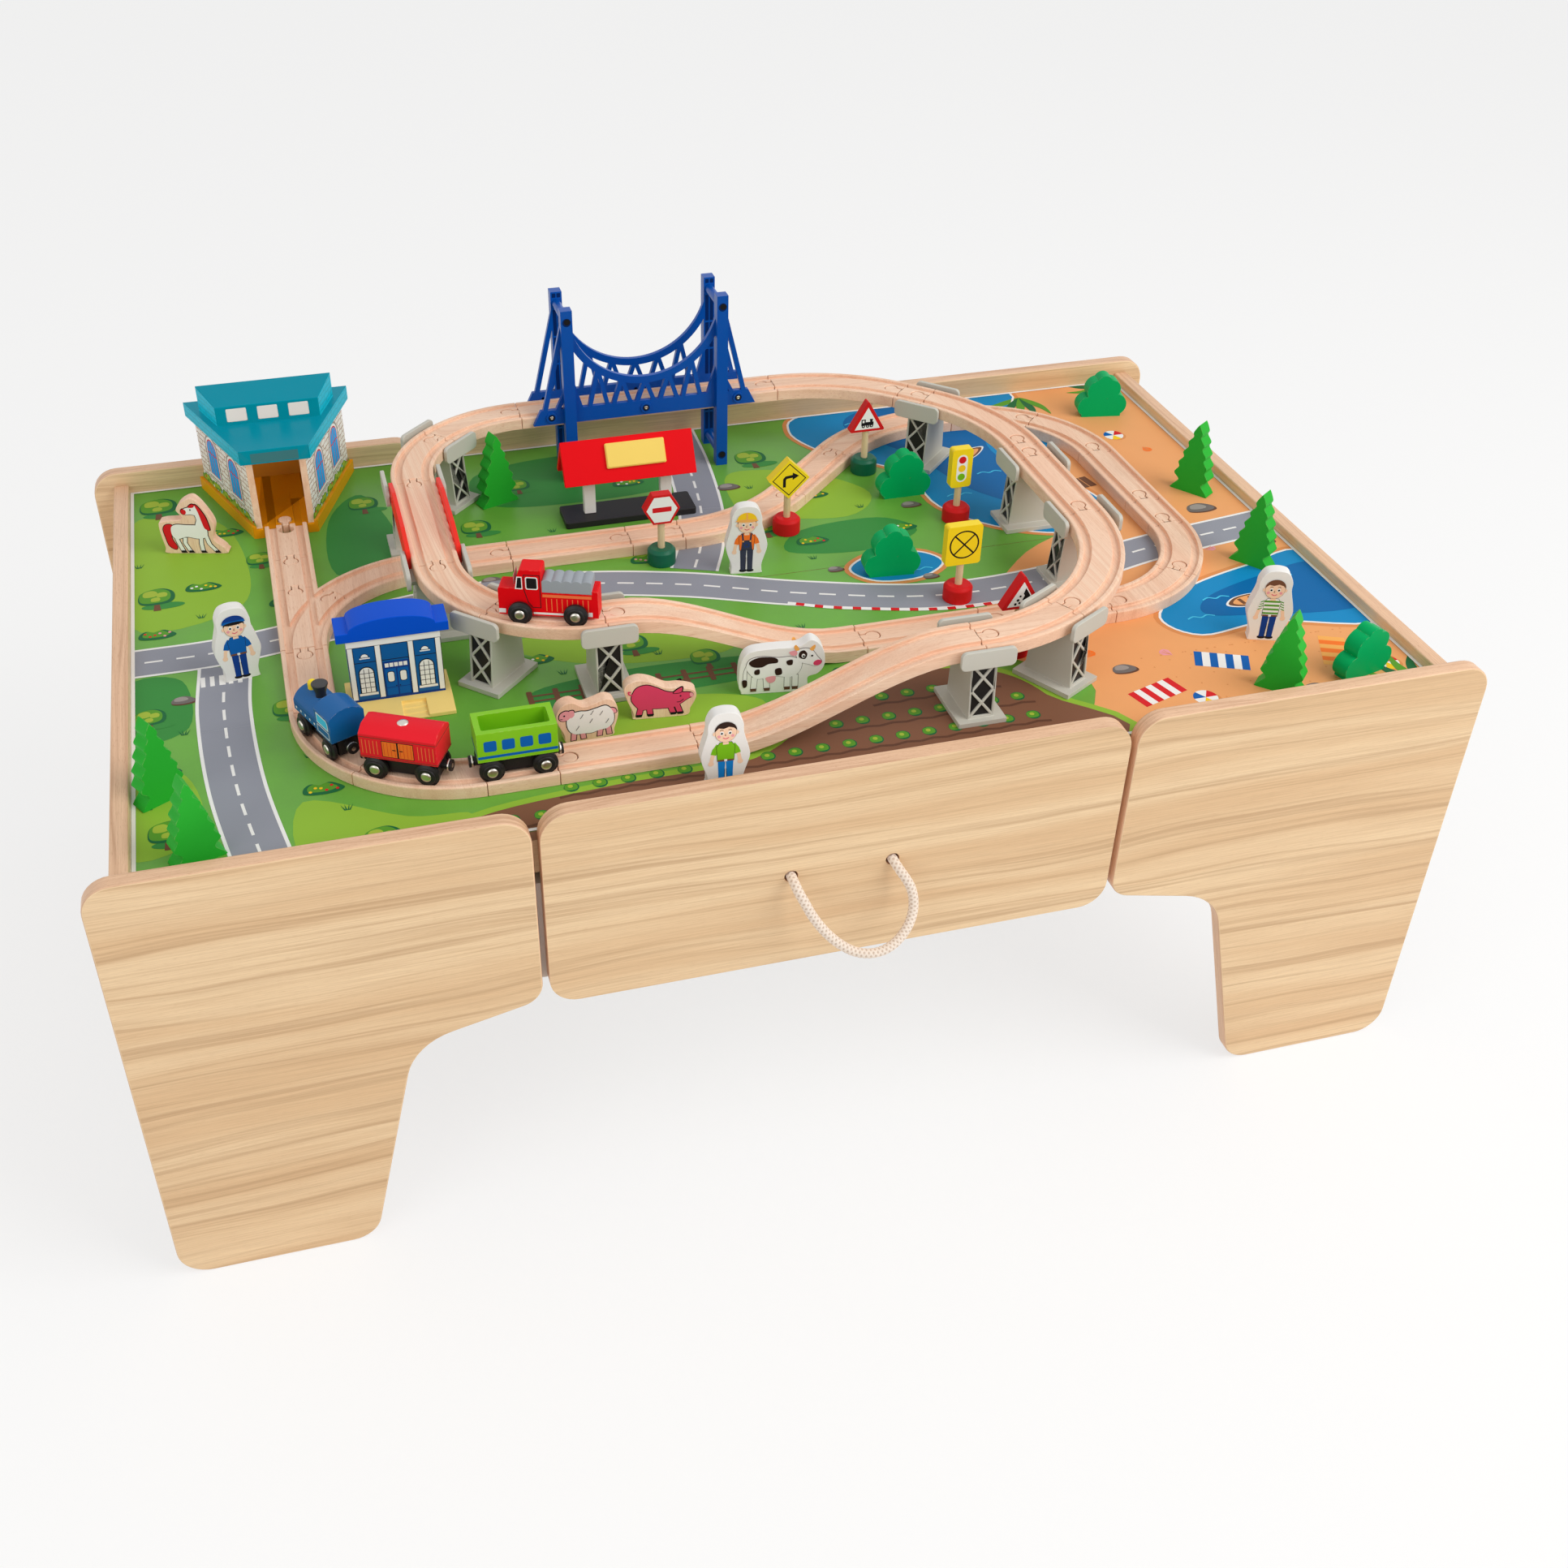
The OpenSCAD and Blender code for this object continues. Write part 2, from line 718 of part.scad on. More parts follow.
function ramp_share(x, l) = min(max((x - ramp_landing) / (l - 2 * ramp_landing), 0), 1);
function ramp_z(s, rise) = rise * s * s * (3 - 2 * s);
function ramp_line(l, rise, drop) = [for (k = [0:ramp_steps])
    let (x = l * k / ramp_steps) [x, ramp_z(ramp_share(x, l), rise) - drop]];
function reversed(v) = [for (i = [len(v) - 1:-1:0]) v[i]];

module ramp(l, rise) {
    translate([0, 0, track_t]) difference() {
        slab(track_w) polygon(concat(ramp_line(l, rise, track_t), reversed(ramp_line(l, rise, 0))));
        for (s = [-1, 1])
            translate([0, s * gauge / 2, 0]) slab(groove_w)
                polygon(concat(ramp_line(l, rise, groove_d), reversed(ramp_line(l, rise, -over))));
    }
}

module laid(kind) {
    for (i = [0:len(loop_moves) - 1])
        if (loop_moves[i][0] == kind) at(loop_poses[i]) piece(loop_moves[i]);
}

module track_straights() {
    color("burlywood") {
        laid(STRAIGHT);
        at(spur_start) {
            piece([STRAIGHT, shed_straight_l]);
            translate([joint_gap, 0, 0]) mirror([1, 0, 0]) peg();
        }
        at(advance(spur_start, [STRAIGHT, shed_straight_l])) piece([STRAIGHT, spur_straight_l]);
    }
}

module track_curves() {
    color("burlywood") laid(CURVE);
}

module track_ramps() {
    color("burlywood") laid(RAMP);
}

module bridge_deck() {
    color("burlywood") laid(DECK);
}

module track_switch() {
    main_end = advance([0, 0, 0, 0], [STRAIGHT, switch_l]);
    color("burlywood") at(advance(switch_end, [STRAIGHT, -switch_l])) {
        difference() {
            union() {
                run(switch_l) profile();
                at(main_end) mirror([1, 0, 0]) bend(curve_r, turn) profile();
            }
            translate([-over, 0, 0]) run(switch_l + 2 * over) groove_profile();
            at(main_end) mirror([1, 0, 0]) bend(curve_r, turn) groove_profile();
            peg(peg_play);
            translate([-over, -track_w, -over])
                cube([over + joint_gap, 2 * track_w - gauge, track_t + 2 * over]);
            at(main_end) mirror([1, 0, 0]) at(advance([0, 0, 0, 0], [CURVE, curve_r, turn])) {
                mirror([1, 0, 0]) peg(peg_play);
                translate([-joint_gap, -track_w / 2, -over]) cube([track_w, track_w, track_t + 2 * over]);
            }
        }
        at(main_end) peg();
    }
}

// Bridge
bridge_mid = [deck_pose[0] - deck_l / 2 - bridge_shift, deck_pose[1], board_z];
cable_half = tower_gap / 2 - tower_w / 2;
cable_r = (cable_half * cable_half + cable_rise * cable_rise) / (2 * cable_rise);
chord_z = deck_rise + chord_drop;
chord_top = chord_z + chord_h;
cable_mid = chord_top + cable_low + cable_r;
function cable_z(x) = cable_mid - sqrt(pow(cable_r + cable_t / 2, 2) - x * x);

module bar(a, b, w) {
    translate(a) rotate(atan2(b[1] - a[1], b[0] - a[0])) translate([0, -w / 2]) square([norm(b - a), w]);
}

function web_x(k) = web_pitch * (k - (web_vees - 1) / 2);

module truss_outline() {
    polygon([[-chord_l / 2, chord_z], [chord_l / 2, chord_z],
        [chord_l / 2 - chord_taper, chord_top], [-chord_l / 2 + chord_taper, chord_top]]);
    intersection() {
        difference() {
            translate([0, cable_mid]) circle(r = cable_r + cable_t, $fn = 96);
            translate([0, cable_mid]) circle(r = cable_r, $fn = 96);
        }
        translate([-tower_gap / 2, chord_top]) square([tower_gap, tower_h - chord_top - web_w]);
    }
    for (k = [0:web_vees - 1], s = [-1, 1])
        bar([web_x(k) + s * (web_pitch - web_w) / 2, chord_top - web_w], [web_x(k), cable_z(web_x(k))], web_w);
    for (s = [-1, 1]) {
        bar([s * tower_gap / 2, tower_h - brace_w],
            [s * (chord_l / 2 - chord_taper - brace_w / 2), chord_z + brace_w], brace_w);
        bar([s * (tower_gap / 2 + brace_foot), chord_top - web_w],
            [s * (tower_gap / 2 + tower_w / 2 - web_w / 2), chord_top + chord_h], web_w);
        polygon([[s * (cable_half - gusset_w), chord_top - web_w], [s * tower_gap / 2, chord_top - web_w],
            [s * tower_gap / 2, chord_top + gusset_h], [s * cable_half, chord_top + gusset_h]]);
    }
    for (s = [-1, 1])
        translate([s * tower_gap / 2 - tower_w / 2, 0]) square([tower_w, tower_h]);
}

module truss() {
    boss_x = (chord_l + tower_gap) / 4;
    difference() {
        union() {
            translate([0, truss_t / 2, 0]) slab(truss_t) truss_outline();
            for (s = [-1, 1])
                block([tower_w, tower_w, tower_h], [s * tower_gap / 2, tower_w / 2, 0]);
            for (x = [-boss_x, 0, boss_x])
                translate([x, truss_t / 2, chord_z + chord_h / 2]) rotate([-90, 0, 0])
                    cylinder(d = boss_d, h = truss_t / 2 + boss_t);
        }
        for (s = [-1, 1], z = [bar_edge, tower_h - bar_edge])
            translate([s * tower_gap / 2, -over, z]) rotate([-90, 0, 0])
                cylinder(d = bar_hole_d, h = tower_w + 2 * over);
        for (x = [-boss_x, 0, boss_x])
            translate([x, -over, chord_z + chord_h / 2]) rotate([-90, 0, 0])
                cylinder(d = boss_hole_d, h = truss_t + boss_t + 2 * over);
    }
}

module bridge_trusses() {
    color("royalblue") translate(bridge_mid) for (s = [0, 1])
        mirror([0, s, 0]) translate([0, track_w / 2, 0]) truss();
}

module bridge_crossbars() {
    color("royalblue") translate(bridge_mid) for (s = [-1, 1], z = [bar_edge, tower_h - bar_edge])
        translate([s * tower_gap / 2, -track_w / 2, z]) rotate([-90, 0, 0]) cylinder(d = bar_d, h = track_w);
}

// Piers
module lattice_holes(w, h) {
    difference() {
        translate([-w / 2, 0]) square([w, h]);
        for (k = [0, 1], s = [-1, 1])
            bar([-s * w / 2, k * h / 2], [s * w / 2, (k + 1) * h / 2], lattice_bar);
    }
}

module pier() {
    tower_top = deck_rise - pier_saddle_t;
    window_h = tower_top - pier_base_t - 2 * pier_wall;
    difference() {
        union() {
            block([pier_l, pier_w, pier_base_t], [0, 0, 0]);
            rotate(90) slab(pier_face_l) polygon([
                [-pier_foot_w / 2, pier_base_t / 2], [pier_foot_w / 2, pier_base_t / 2],
                [pier_top_w / 2, tower_top], [-pier_top_w / 2, tower_top]]);
            block([pier_face_l, track_w + 2 * pier_slack, pier_saddle_t], [0, 0, tower_top]);
            for (s = [-1, 1])
                translate([0, s * (track_w / 2 + pier_slack + flange_t / 2), deck_rise - flange_lap])
                    slab(flange_t) polygon(box_outline(flange_l, flange_h, flange_r));
        }
        for (s = [-1, 1])
            translate([0, s * (pier_foot_w / 2 + over - lattice_d / 2), pier_base_t + pier_wall])
                slab(lattice_d + 2 * over) lattice_holes(pier_face_l - 2 * pier_wall, window_h);
    }
}

module pier_shells() {
    color("silver") for (i = pier_joints)
        translate([loop_poses[i][0], loop_poses[i][1], board_z]) rotate(loop_poses[i][2]) pier();
}

// Guard rails on the upper straight
module guard_rail() {
    slot_l = (guard_rail_l - 2 * guard_rim) / guard_slots;
    slot_z = track_t - guard_rim;
    top = track_t + guard_end_h;
    slab(guard_t) difference() {
        polygon(rounded([[-guard_rail_l / 2, -guard_low, 0], [guard_rail_l / 2, -guard_low, 0],
            [guard_rail_l / 2, top, guard_rim], [guard_rail_l / 4, track_t + guard_mid_h, guard_rim],
            [-guard_rail_l / 4, track_t + guard_mid_h, guard_rim], [-guard_rail_l / 2, top, guard_rim]]));
        for (k = [0:guard_slots - 1])
            translate([guard_rim - guard_rail_l / 2 + (k + (1 - guard_slot_share) / 2) * slot_l, slot_z])
                square([guard_slot_share * slot_l, guard_end_h]);
    }
}

module guard_rails() {
    color("red") at(loop_poses[guard_i]) for (s = [-1, 1])
        translate([guard_l / 2, s * (track_w + guard_t) / 2, 0]) guard_rail();
}

// Engine shed, a wedge that widens away from its mouth
function wedge(front, back, d) = [[-front / 2, 0], [front / 2, 0], [back / 2, d], [-back / 2, d]];
shed_grow = (shed_back_w - shed_front_w) / shed_d;
function wedge_w(y) = shed_front_w + shed_grow * y;
function inset_wedge(in, y0, y1) = [[-wedge_w(y0) / 2 + in, y0], [wedge_w(y0) / 2 - in, y0],
    [wedge_w(y1) / 2 - in, y1], [-wedge_w(y1) / 2 + in, y1]];

module in_shed() {
    translate([spur_start[0], spur_start[1] - shed_notch, board_z]) children();
}

module shed_base() {
    color("orange") in_shed() difference() {
        linear_extrude(shed_rim_h) polygon(wedge(shed_front_w, shed_back_w, shed_d));
        translate([0, 0, shed_floor_t]) linear_extrude(shed_rim_h)
            polygon(inset_wedge(shed_rim, -over, shed_d - shed_rim));
        translate([0, -over, 0]) rotate(90) run(shed_d - shed_rim) groove_profile(shed_floor_t);
        translate([-track_w / 2 - shed_seat, -over, -over])
            cube([track_w + 2 * shed_seat, shed_notch + joint_gap + over, shed_rim_h + 2 * over]);
        translate([0, shed_notch, 0]) rotate(90) peg(peg_play);
    }
}

module shed_walls() {
    side = atan(shed_grow / 2);
    front_x = wedge_w(shed_notch) / 2 - shed_rim;
    back_y = shed_d - shed_rim;
    back_x = wedge_w(back_y) / 2 - shed_rim;
    wall_x = shed_wall_t / cos(side);
    color("linen") in_shed() translate([0, 0, shed_floor_t]) {
        for (s = [0, 1]) mirror([s, 0, 0])
            linear_extrude(shed_wall_h) polygon([[front_x - wall_x, shed_notch], [front_x, shed_notch],
                [back_x, back_y], [back_x - wall_x, back_y]]);
        linear_extrude(shed_wall_h)
            polygon(inset_wedge(shed_rim + wall_x + shed_seat, back_y - shed_wall_t, back_y));
    }
}

module lantern(skin, h) {
    intersection() {
        linear_extrude(lantern_h + lantern_rise) polygon(inset_wedge(lantern_inset + skin, lantern_y + skin,
            lantern_y + lantern_d - skin));
        rotate([90, 0, 90]) linear_extrude(shed_back_w, center = true)
            polygon([[lantern_y, -over], [lantern_y + lantern_d, -over],
                [lantern_y + lantern_d, h + lantern_rise], [lantern_y, h]]);
    }
}

module shed_roof() {
    roof_z = shed_floor_t + shed_wall_h;
    inner = shed_rim + shed_wall_t + shed_seat;
    color("teal") in_shed() translate([0, 0, roof_z]) difference() {
        union() {
            linear_extrude(shed_roof_h) polygon(inset_wedge(-shed_eave, -shed_eave, shed_d));
            translate([0, 0, shed_roof_h]) lantern(0, lantern_h);
        }
        translate([0, 0, -over]) linear_extrude(shed_roof_h - shed_skin + over)
            polygon(inset_wedge(inner, shed_skin, shed_d - inner));
        translate([0, 0, shed_roof_h - shed_skin]) lantern(shed_skin, lantern_h);
        for (k = [0:lantern_panes - 1])
            translate([(k - (lantern_panes - 1) / 2) * lantern_pane_gap - lantern_pane / 2, lantern_y - over,
                    shed_roof_h + (lantern_h - lantern_pane_h) / 2])
                cube([lantern_pane, lantern_d + 2 * over, lantern_pane_h]);
    }
}

// Station
module station_platform() {
    color("black") translate(stand(station_shares)) linear_extrude(platform_t)
        translate([0, -platform_w / 2]) polygon(box_outline(platform_l, platform_w, platform_r));
}

station_drop = station_ridge_h - station_eave_h;
function station_under(y) = station_ridge_h - 2 * station_roof_t - 2 * station_drop * y / station_span;

module station_posts() {
    color("white") translate(stand(station_shares)) for (s = [-1, 1])
        translate([s * station_post_gap / 2, 0, 0]) rotate(90) slab(station_post_w)
            polygon([[-station_post_t / 2, platform_t], [station_post_t / 2, platform_t],
                [station_post_t / 2, station_under(station_post_t / 2)], [0, station_under(0)],
                [-station_post_t / 2, station_under(station_post_t / 2)]]);
}

module station_roof() {
    color("red") translate(stand(station_shares)) rotate(90) slab(station_roof_l) polygon([
        [-station_span / 2, station_eave_h], [0, station_ridge_h], [station_span / 2, station_eave_h],
        [station_span / 2 - station_roof_t, station_under(station_span / 2 - station_roof_t)],
        [0, station_under(0)],
        [-station_span / 2 + station_roof_t, station_under(station_span / 2 - station_roof_t)]]);
}

// Building
module on_building() {
    translate(stand(building_shares)) children();
}

module building_base() {
    front = -building_base_d / 2;
    block_front = building_base_d / 2 - building_back - building_d;
    step_d = (block_front - front) / (building_steps + 1);
    step_h = (building_base_t - building_base_lip) / building_steps;
    step_x = building_step_x - building_step_w / 2;
    color("khaki") on_building() difference() {
        rotate([90, 0, 90]) linear_extrude(building_base_w, center = true)
            polygon([[front, 0], [building_base_d / 2, 0], [building_base_d / 2, building_base_t],
                [block_front - step_d, building_base_t], [front, building_base_lip]]);
        for (k = [0:building_steps - 1])
            translate([step_x, front - over, building_base_lip / 2 + k * step_h])
                cube([building_step_w, over + (k + 1) * step_d, building_base_t]);
    }
}

module building_block() {
    color("steelblue") on_building() block([building_w, building_d, building_h],
        [0, building_base_d / 2 - building_back - building_d / 2, building_base_t]);
}

module building_roof() {
    rise = building_arch_h - building_shoulder_h;
    arch_r = (pow(building_arch_w / 2, 2) + rise * rise) / (2 * rise);
    color("blue") on_building()
        translate([0, building_base_d / 2 - building_back - building_d / 2, building_base_t + building_h])
            slab(building_roof_d) union() {
                translate([-building_roof_w / 2, 0]) square([building_roof_w, building_shoulder_h]);
                intersection() {
                    translate([0, building_arch_h - arch_r]) circle(r = arch_r, $fn = 96);
                    translate([-building_roof_w / 2, 0]) square([building_roof_w, building_arch_h + over]);
                }
            }
}

// Signs
red_base_shares = [bend_shares, lamp_shares, cross_shares, rocks_shares];
green_base_shares = [stop_shares, train_shares];
// Drop of a head's lower edge below the signs' middle
diamond_drop = diamond_w / sqrt(2);
triangle_drop = triangle_w * sqrt(3) / 6;
stop_drop = stop_w * sqrt(3) / 4;
sign_foot_drops = [diamond_drop, lamp_h / 2, plate_h / 2, triangle_drop, stop_drop, triangle_drop];

module sign_base() {
    hole_r = sign_post_d / 2 + post_play;
    rotate_extrude() polygon([[hole_r, 0], [sign_base_d / 2, 0],
        [sign_base_d / 2, sign_base_h - sign_chamfer], [sign_base_d / 2 - sign_chamfer, sign_base_h],
        [hole_r, sign_base_h]]);
}

module red_sign_bases() {
    color("red") for (s = red_base_shares) translate(stand(s)) sign_base();
}

module green_sign_bases() {
    color("darkgreen") for (s = green_base_shares) translate(stand(s)) sign_base();
}

module sign_posts() {
    places = concat(red_base_shares, green_base_shares);
    color("wheat") for (i = [0:len(places) - 1])
        translate(stand(places[i])) cylinder(d = sign_post_d, h = sign_h - sign_foot_drops[i] + sign_socket);
}

module head(s, drop) {
    translate(stand(s) + [0, 0, sign_h]) difference() {
        slab(sign_t) children();
        translate([0, 0, -drop - over]) cylinder(d = sign_post_d + 2 * post_play, h = sign_socket + over);
    }
}

module triangle() {
    translate([0, -triangle_drop]) polygon(rounded([[-triangle_w / 2, 0, plate_r / 2],
        [triangle_w / 2, 0, plate_r / 2], [0, triangle_w * sqrt(3) / 2, plate_r / 2]]));
}

module red_sign_heads() {
    color("red") {
        head(stop_shares, stop_drop) circle(d = stop_w, $fn = 6);
        head(train_shares, triangle_drop) triangle();
        head(rocks_shares, triangle_drop) triangle();
    }
}

module yellow_sign_heads() {
    color("yellow") {
        head(bend_shares, diamond_drop) rotate(45) square(diamond_w, center = true);
        head(lamp_shares, lamp_h / 2) translate([0, -lamp_h / 2])
            polygon(box_outline(lamp_w, lamp_h, plate_r));
        head(cross_shares, plate_h / 2) translate([0, -plate_h / 2])
            polygon(box_outline(plate_w, plate_h, plate_r));
    }
}

// Trees, figures and animals
function mirrored(p) = [for (q = reversed(p)) [-q[0], q[1]]];
function whole(half) = concat(half, mirrored(half));

module pine_trees() {
    color("limegreen") for (i = [0:len(pine_shares) - 1])
        translate(stand(pine_shares[i])) rotate(pine_yaws[i])
            cut_out(whole(pine_half_shares), pine_w, pine_h, tree_t);
}

module bush_trees() {
    color("seagreen") for (i = [0:len(bush_shares) - 1])
        translate(stand(bush_shares[i])) rotate(bush_yaws[i]) slab(tree_t) intersection() {
            union() {
                for (l = bush_lobe_shares)
                    translate([l[0] * bush_w, l[1] * bush_h]) circle(r = l[2] * bush_w);
                translate([-bush_foot_share * bush_w, 0])
                    square([2 * bush_foot_share * bush_w, bush_foot_share * bush_h]);
            }
            translate([-bush_w, 0]) square([2 * bush_w, 2 * bush_h]);
        }
}

module cut_out(outline, w, h, t = figure_t) {
    slab(t) intersection() {
        polygon(smooth(scaled(outline, w, h)));
        translate([-w, 0]) square([2 * w, 2 * h]);
    }
}

module people_figures() {
    color("white") for (i = [0:len(people_shares) - 1])
        translate(stand(people_shares[i])) rotate(people_yaws[i])
            cut_out(whole(person_half_shares), figure_w, figure_h);
}

module animal_figures() {
    color("burlywood") {
        translate(stand(horse_shares)) rotate(animal_yaws[0]) cut_out(horse_outline_shares, horse_w, horse_h);
        translate(stand(sheep_shares)) rotate(animal_yaws[1]) cut_out(sheep_outline_shares, sheep_w, sheep_h);
        translate(stand(pig_shares)) rotate(animal_yaws[2]) cut_out(pig_outline_shares, pig_w, pig_h);
        translate(stand(cow_shares)) rotate(animal_yaws[3]) cut_out(cow_outline_shares, cow_w, cow_h);
    }
}

// Vehicles, each on its own stretch of track
loco_pose = advance(loop_poses[1], [CURVE, curve_r, loco_turn]);
red_wagon_pose = advance(loop_poses[1], [CURVE, curve_r, red_wagon_turn]);
green_wagon_pose = advance(loop_poses[3], [STRAIGHT, green_wagon_s]);
lorry_pose = advance(loop_poses[guard_i + 1], [CURVE, curve_r, lorry_turn]);

// Shift of a vehicle towards the middle of its curve, so that its wheels share the groove
wheel_reach = sqrt(pow(wheel_d / 2, 2) - pow(wheel_d / 2 - groove_d, 2));
function inset(base) = (pow(base / 2, 2) + pow(wheel_reach, 2)) / (2 * curve_r);
wagon_inset = inset(wheelbase);
lorry_inset = inset(lorry_wheelbase);

module riding(p, inset = 0) {
    at(p) translate([0, inset, run_z]) rotate(180) children();
}

module wheelset(x) {
    r = wheel_d / 2;
    translate([x, 0, axle_z]) rotate([90, 0, 0]) {
        cylinder(d = axle_d, h = gauge, center = true);
        for (s = [-1, 1])
            translate([0, 0, s * gauge / 2]) rotate_extrude() polygon([[0, -wheel_w / 2],
                [wheel_shoulder_r, -wheel_w / 2], [r, -tread_w / 2], [r, tread_w / 2],
                [wheel_shoulder_r, wheel_w / 2], [0, wheel_w / 2]]);
    }
}

module axle_bores(base) {
    for (s = [-1, 1])
        translate([s * base / 2, 0, axle_z]) rotate([90, 0, 0])
            cylinder(d = axle_d + bore_play, h = 2 * gauge, center = true);
}

module coupler(x) {
    z = (chassis_low + body_z) / 2;
    translate([x, 0, z]) rotate([0, 90, 0]) cylinder(d = coupler_d - 2 * magnet_r, h = coupler_l);
}

module magnet(x) {
    z = (chassis_low + body_z) / 2;
    translate([x + coupler_l, 0, z]) rotate([0, 90, 0]) cylinder(d = coupler_d, h = magnet_t);
}

module chassis() {
    difference() {
        union() {
            block([chassis_l, chassis_w, body_z - chassis_low], [0, 0, chassis_low]);
            for (s = [0, 1]) mirror([s, 0, 0]) coupler(chassis_l / 2);
        }
        axle_bores(wheelbase);
    }
    for (s = [0, 1]) mirror([s, 0, 0]) magnet(chassis_l / 2);
}

module loco_chassis() {
    color("black") riding(loco_pose, wagon_inset) chassis();
}

module red_wagon_chassis() {
    color("black") riding(red_wagon_pose, wagon_inset) chassis();
}

module green_wagon_chassis() {
    color("black") riding(green_wagon_pose) chassis();
}

module hood(w, side, r) {
    translate([-w / 2, 0]) square([w, side]);
    intersection() {
        translate([0, hood_h(w, side, r) - r]) circle(r = r);
        translate([-w / 2, side / 2]) square([w, 2 * r]);
    }
}

function hood_h(w, side, r) = side + r - sqrt(r * r - w * w / 4);
boiler_top = body_z + hood_h(boiler_w, boiler_side_h, boiler_arch_r);
chimney_x = boiler_l * chimney_share;
dome_x = boiler_l * dome_share;

module loco_body() {
    color("steelblue") riding(loco_pose, wagon_inset) difference() {
        union() {
            translate([-wagon_l / 2 + cab_l, 0, body_z]) run(boiler_l)
                hood(boiler_w, boiler_side_h, boiler_arch_r);
            translate([-wagon_l / 2, 0, body_z]) run(cab_l) hood(wagon_w, cab_side_h, cab_arch_r);
        }
        translate([-wagon_l / 2 + cab_l + chimney_x, 0, boiler_top - fitting_seat])
            cylinder(d = chimney_d + 2 * fitting_play, h = chimney_h);
        translate([-wagon_l / 2 + cab_l + dome_x, 0, boiler_top - fitting_seat])
            cylinder(d = dome_d + 2 * fitting_play, h = dome_h);
    }
}

function dome_arc() = let (r = dome_d / 2) [for (k = [1:arc_steps - 1])
    let (t = 90 * k / arc_steps) [r * cos(t), dome_h - r + r * sin(t)]];
function dome_profile() = concat([[0, 0], [dome_d / 2, 0], [dome_d / 2, dome_h - dome_d / 2]], dome_arc(),
    [[0, last(dome_arc())[1]]]);

module loco_fittings() {
    riding(loco_pose, wagon_inset) translate([-wagon_l / 2 + cab_l, 0, boiler_top - fitting_seat]) {
        color("dimgray") translate([chimney_x, 0, 0]) rotate_extrude() polygon([[0, 0], [chimney_d / 2, 0],
            [chimney_d / 2, chimney_h / 3], [chimney_top_d / 2, chimney_h - chimney_rim],
            [chimney_top_d / 2, chimney_h], [0, chimney_h]]);
        color("yellow") translate([dome_x, 0, 0]) rotate_extrude() polygon(dome_profile());
    }
}

module red_wagon_body() {
    eave = body_h - roof_pitch;
    color("red") riding(red_wagon_pose, wagon_inset) translate([0, 0, body_z]) rotate(90) slab(wagon_l)
        polygon([[-wagon_w / 2, 0], [wagon_w / 2, 0], [wagon_w / 2, eave], [wagon_w / 4, body_h],
            [-wagon_w / 4, body_h], [-wagon_w / 2, eave]]);
}

module green_wagon_body() {
    color("yellowgreen") riding(green_wagon_pose) translate([0, 0, body_z]) difference() {
        block([wagon_l, wagon_w, body_h], [0, 0, 0]);
        translate([0, -(wagon_w - 2 * hollow_wall) / 2, body_h - hollow_d]) linear_extrude(hollow_d + over)
            polygon(box_outline(wagon_l - 2 * hollow_wall, wagon_w - 2 * hollow_wall, body_r));
    }
}

module lorry_body() {
    front = lorry_l / 2;
    cab_front = front - lorry_bonnet_l;
    cab_back = cab_front - lorry_cab_l;
    bonnet_z = lorry_low + lorry_bonnet_h;
    cab_z = lorry_low + lorry_cab_h;
    bed_z = lorry_low + lorry_bed_h;
    color("red") riding(lorry_pose, lorry_inset) difference() {
        slab(lorry_w) polygon(rounded([[-front, lorry_low, 0], [front, lorry_low, 0],
            [front, bonnet_z, body_r], [cab_front, bonnet_z, 0], [cab_front - lorry_screen, cab_z, body_r],
            [cab_back, cab_z, body_r], [cab_back, bed_z, 0], [-front + lorry_tail_t, bed_z, 0],
            [-front + lorry_tail_t, bonnet_z, 0], [-front, bonnet_z, body_r / 2]]));
        axle_bores(lorry_wheelbase);
    }
}

module lorry_load() {
    back = -lorry_l / 2 + lorry_tail_t;
    load_l = lorry_l - lorry_tail_t - lorry_bonnet_l - lorry_cab_l;
    step = load_l / load_bumps;
    color("gray") riding(lorry_pose, lorry_inset) translate([0, 0, lorry_low + lorry_bed_h])
        slab(lorry_w) intersection() {
            union() {
                translate([back, 0]) square([load_l, load_h]);
                for (k = [0:load_bumps - 1])
                    translate([back + (k + 1 / 2) * step, load_h - load_r / 4]) circle(r = load_r);
            }
            translate([back, 0]) square([load_l, load_h + load_r]);
        }
}

module loco_axle_front() { color("black") riding(loco_pose, wagon_inset) wheelset(wheelbase / 2); }
module loco_axle_rear() { color("black") riding(loco_pose, wagon_inset) wheelset(-wheelbase / 2); }
module red_wagon_axle_front() { color("black") riding(red_wagon_pose, wagon_inset) wheelset(wheelbase / 2); }
module red_wagon_axle_rear() { color("black") riding(red_wagon_pose, wagon_inset) wheelset(-wheelbase / 2); }
module green_wagon_axle_front() { color("black") riding(green_wagon_pose) wheelset(wheelbase / 2); }
module green_wagon_axle_rear() { color("black") riding(green_wagon_pose) wheelset(-wheelbase / 2); }
module lorry_axle_front() { color("black") riding(lorry_pose, lorry_inset) wheelset(lorry_wheelbase / 2); }
module lorry_axle_rear() { color("black") riding(lorry_pose, lorry_inset) wheelset(-lorry_wheelbase / 2); }

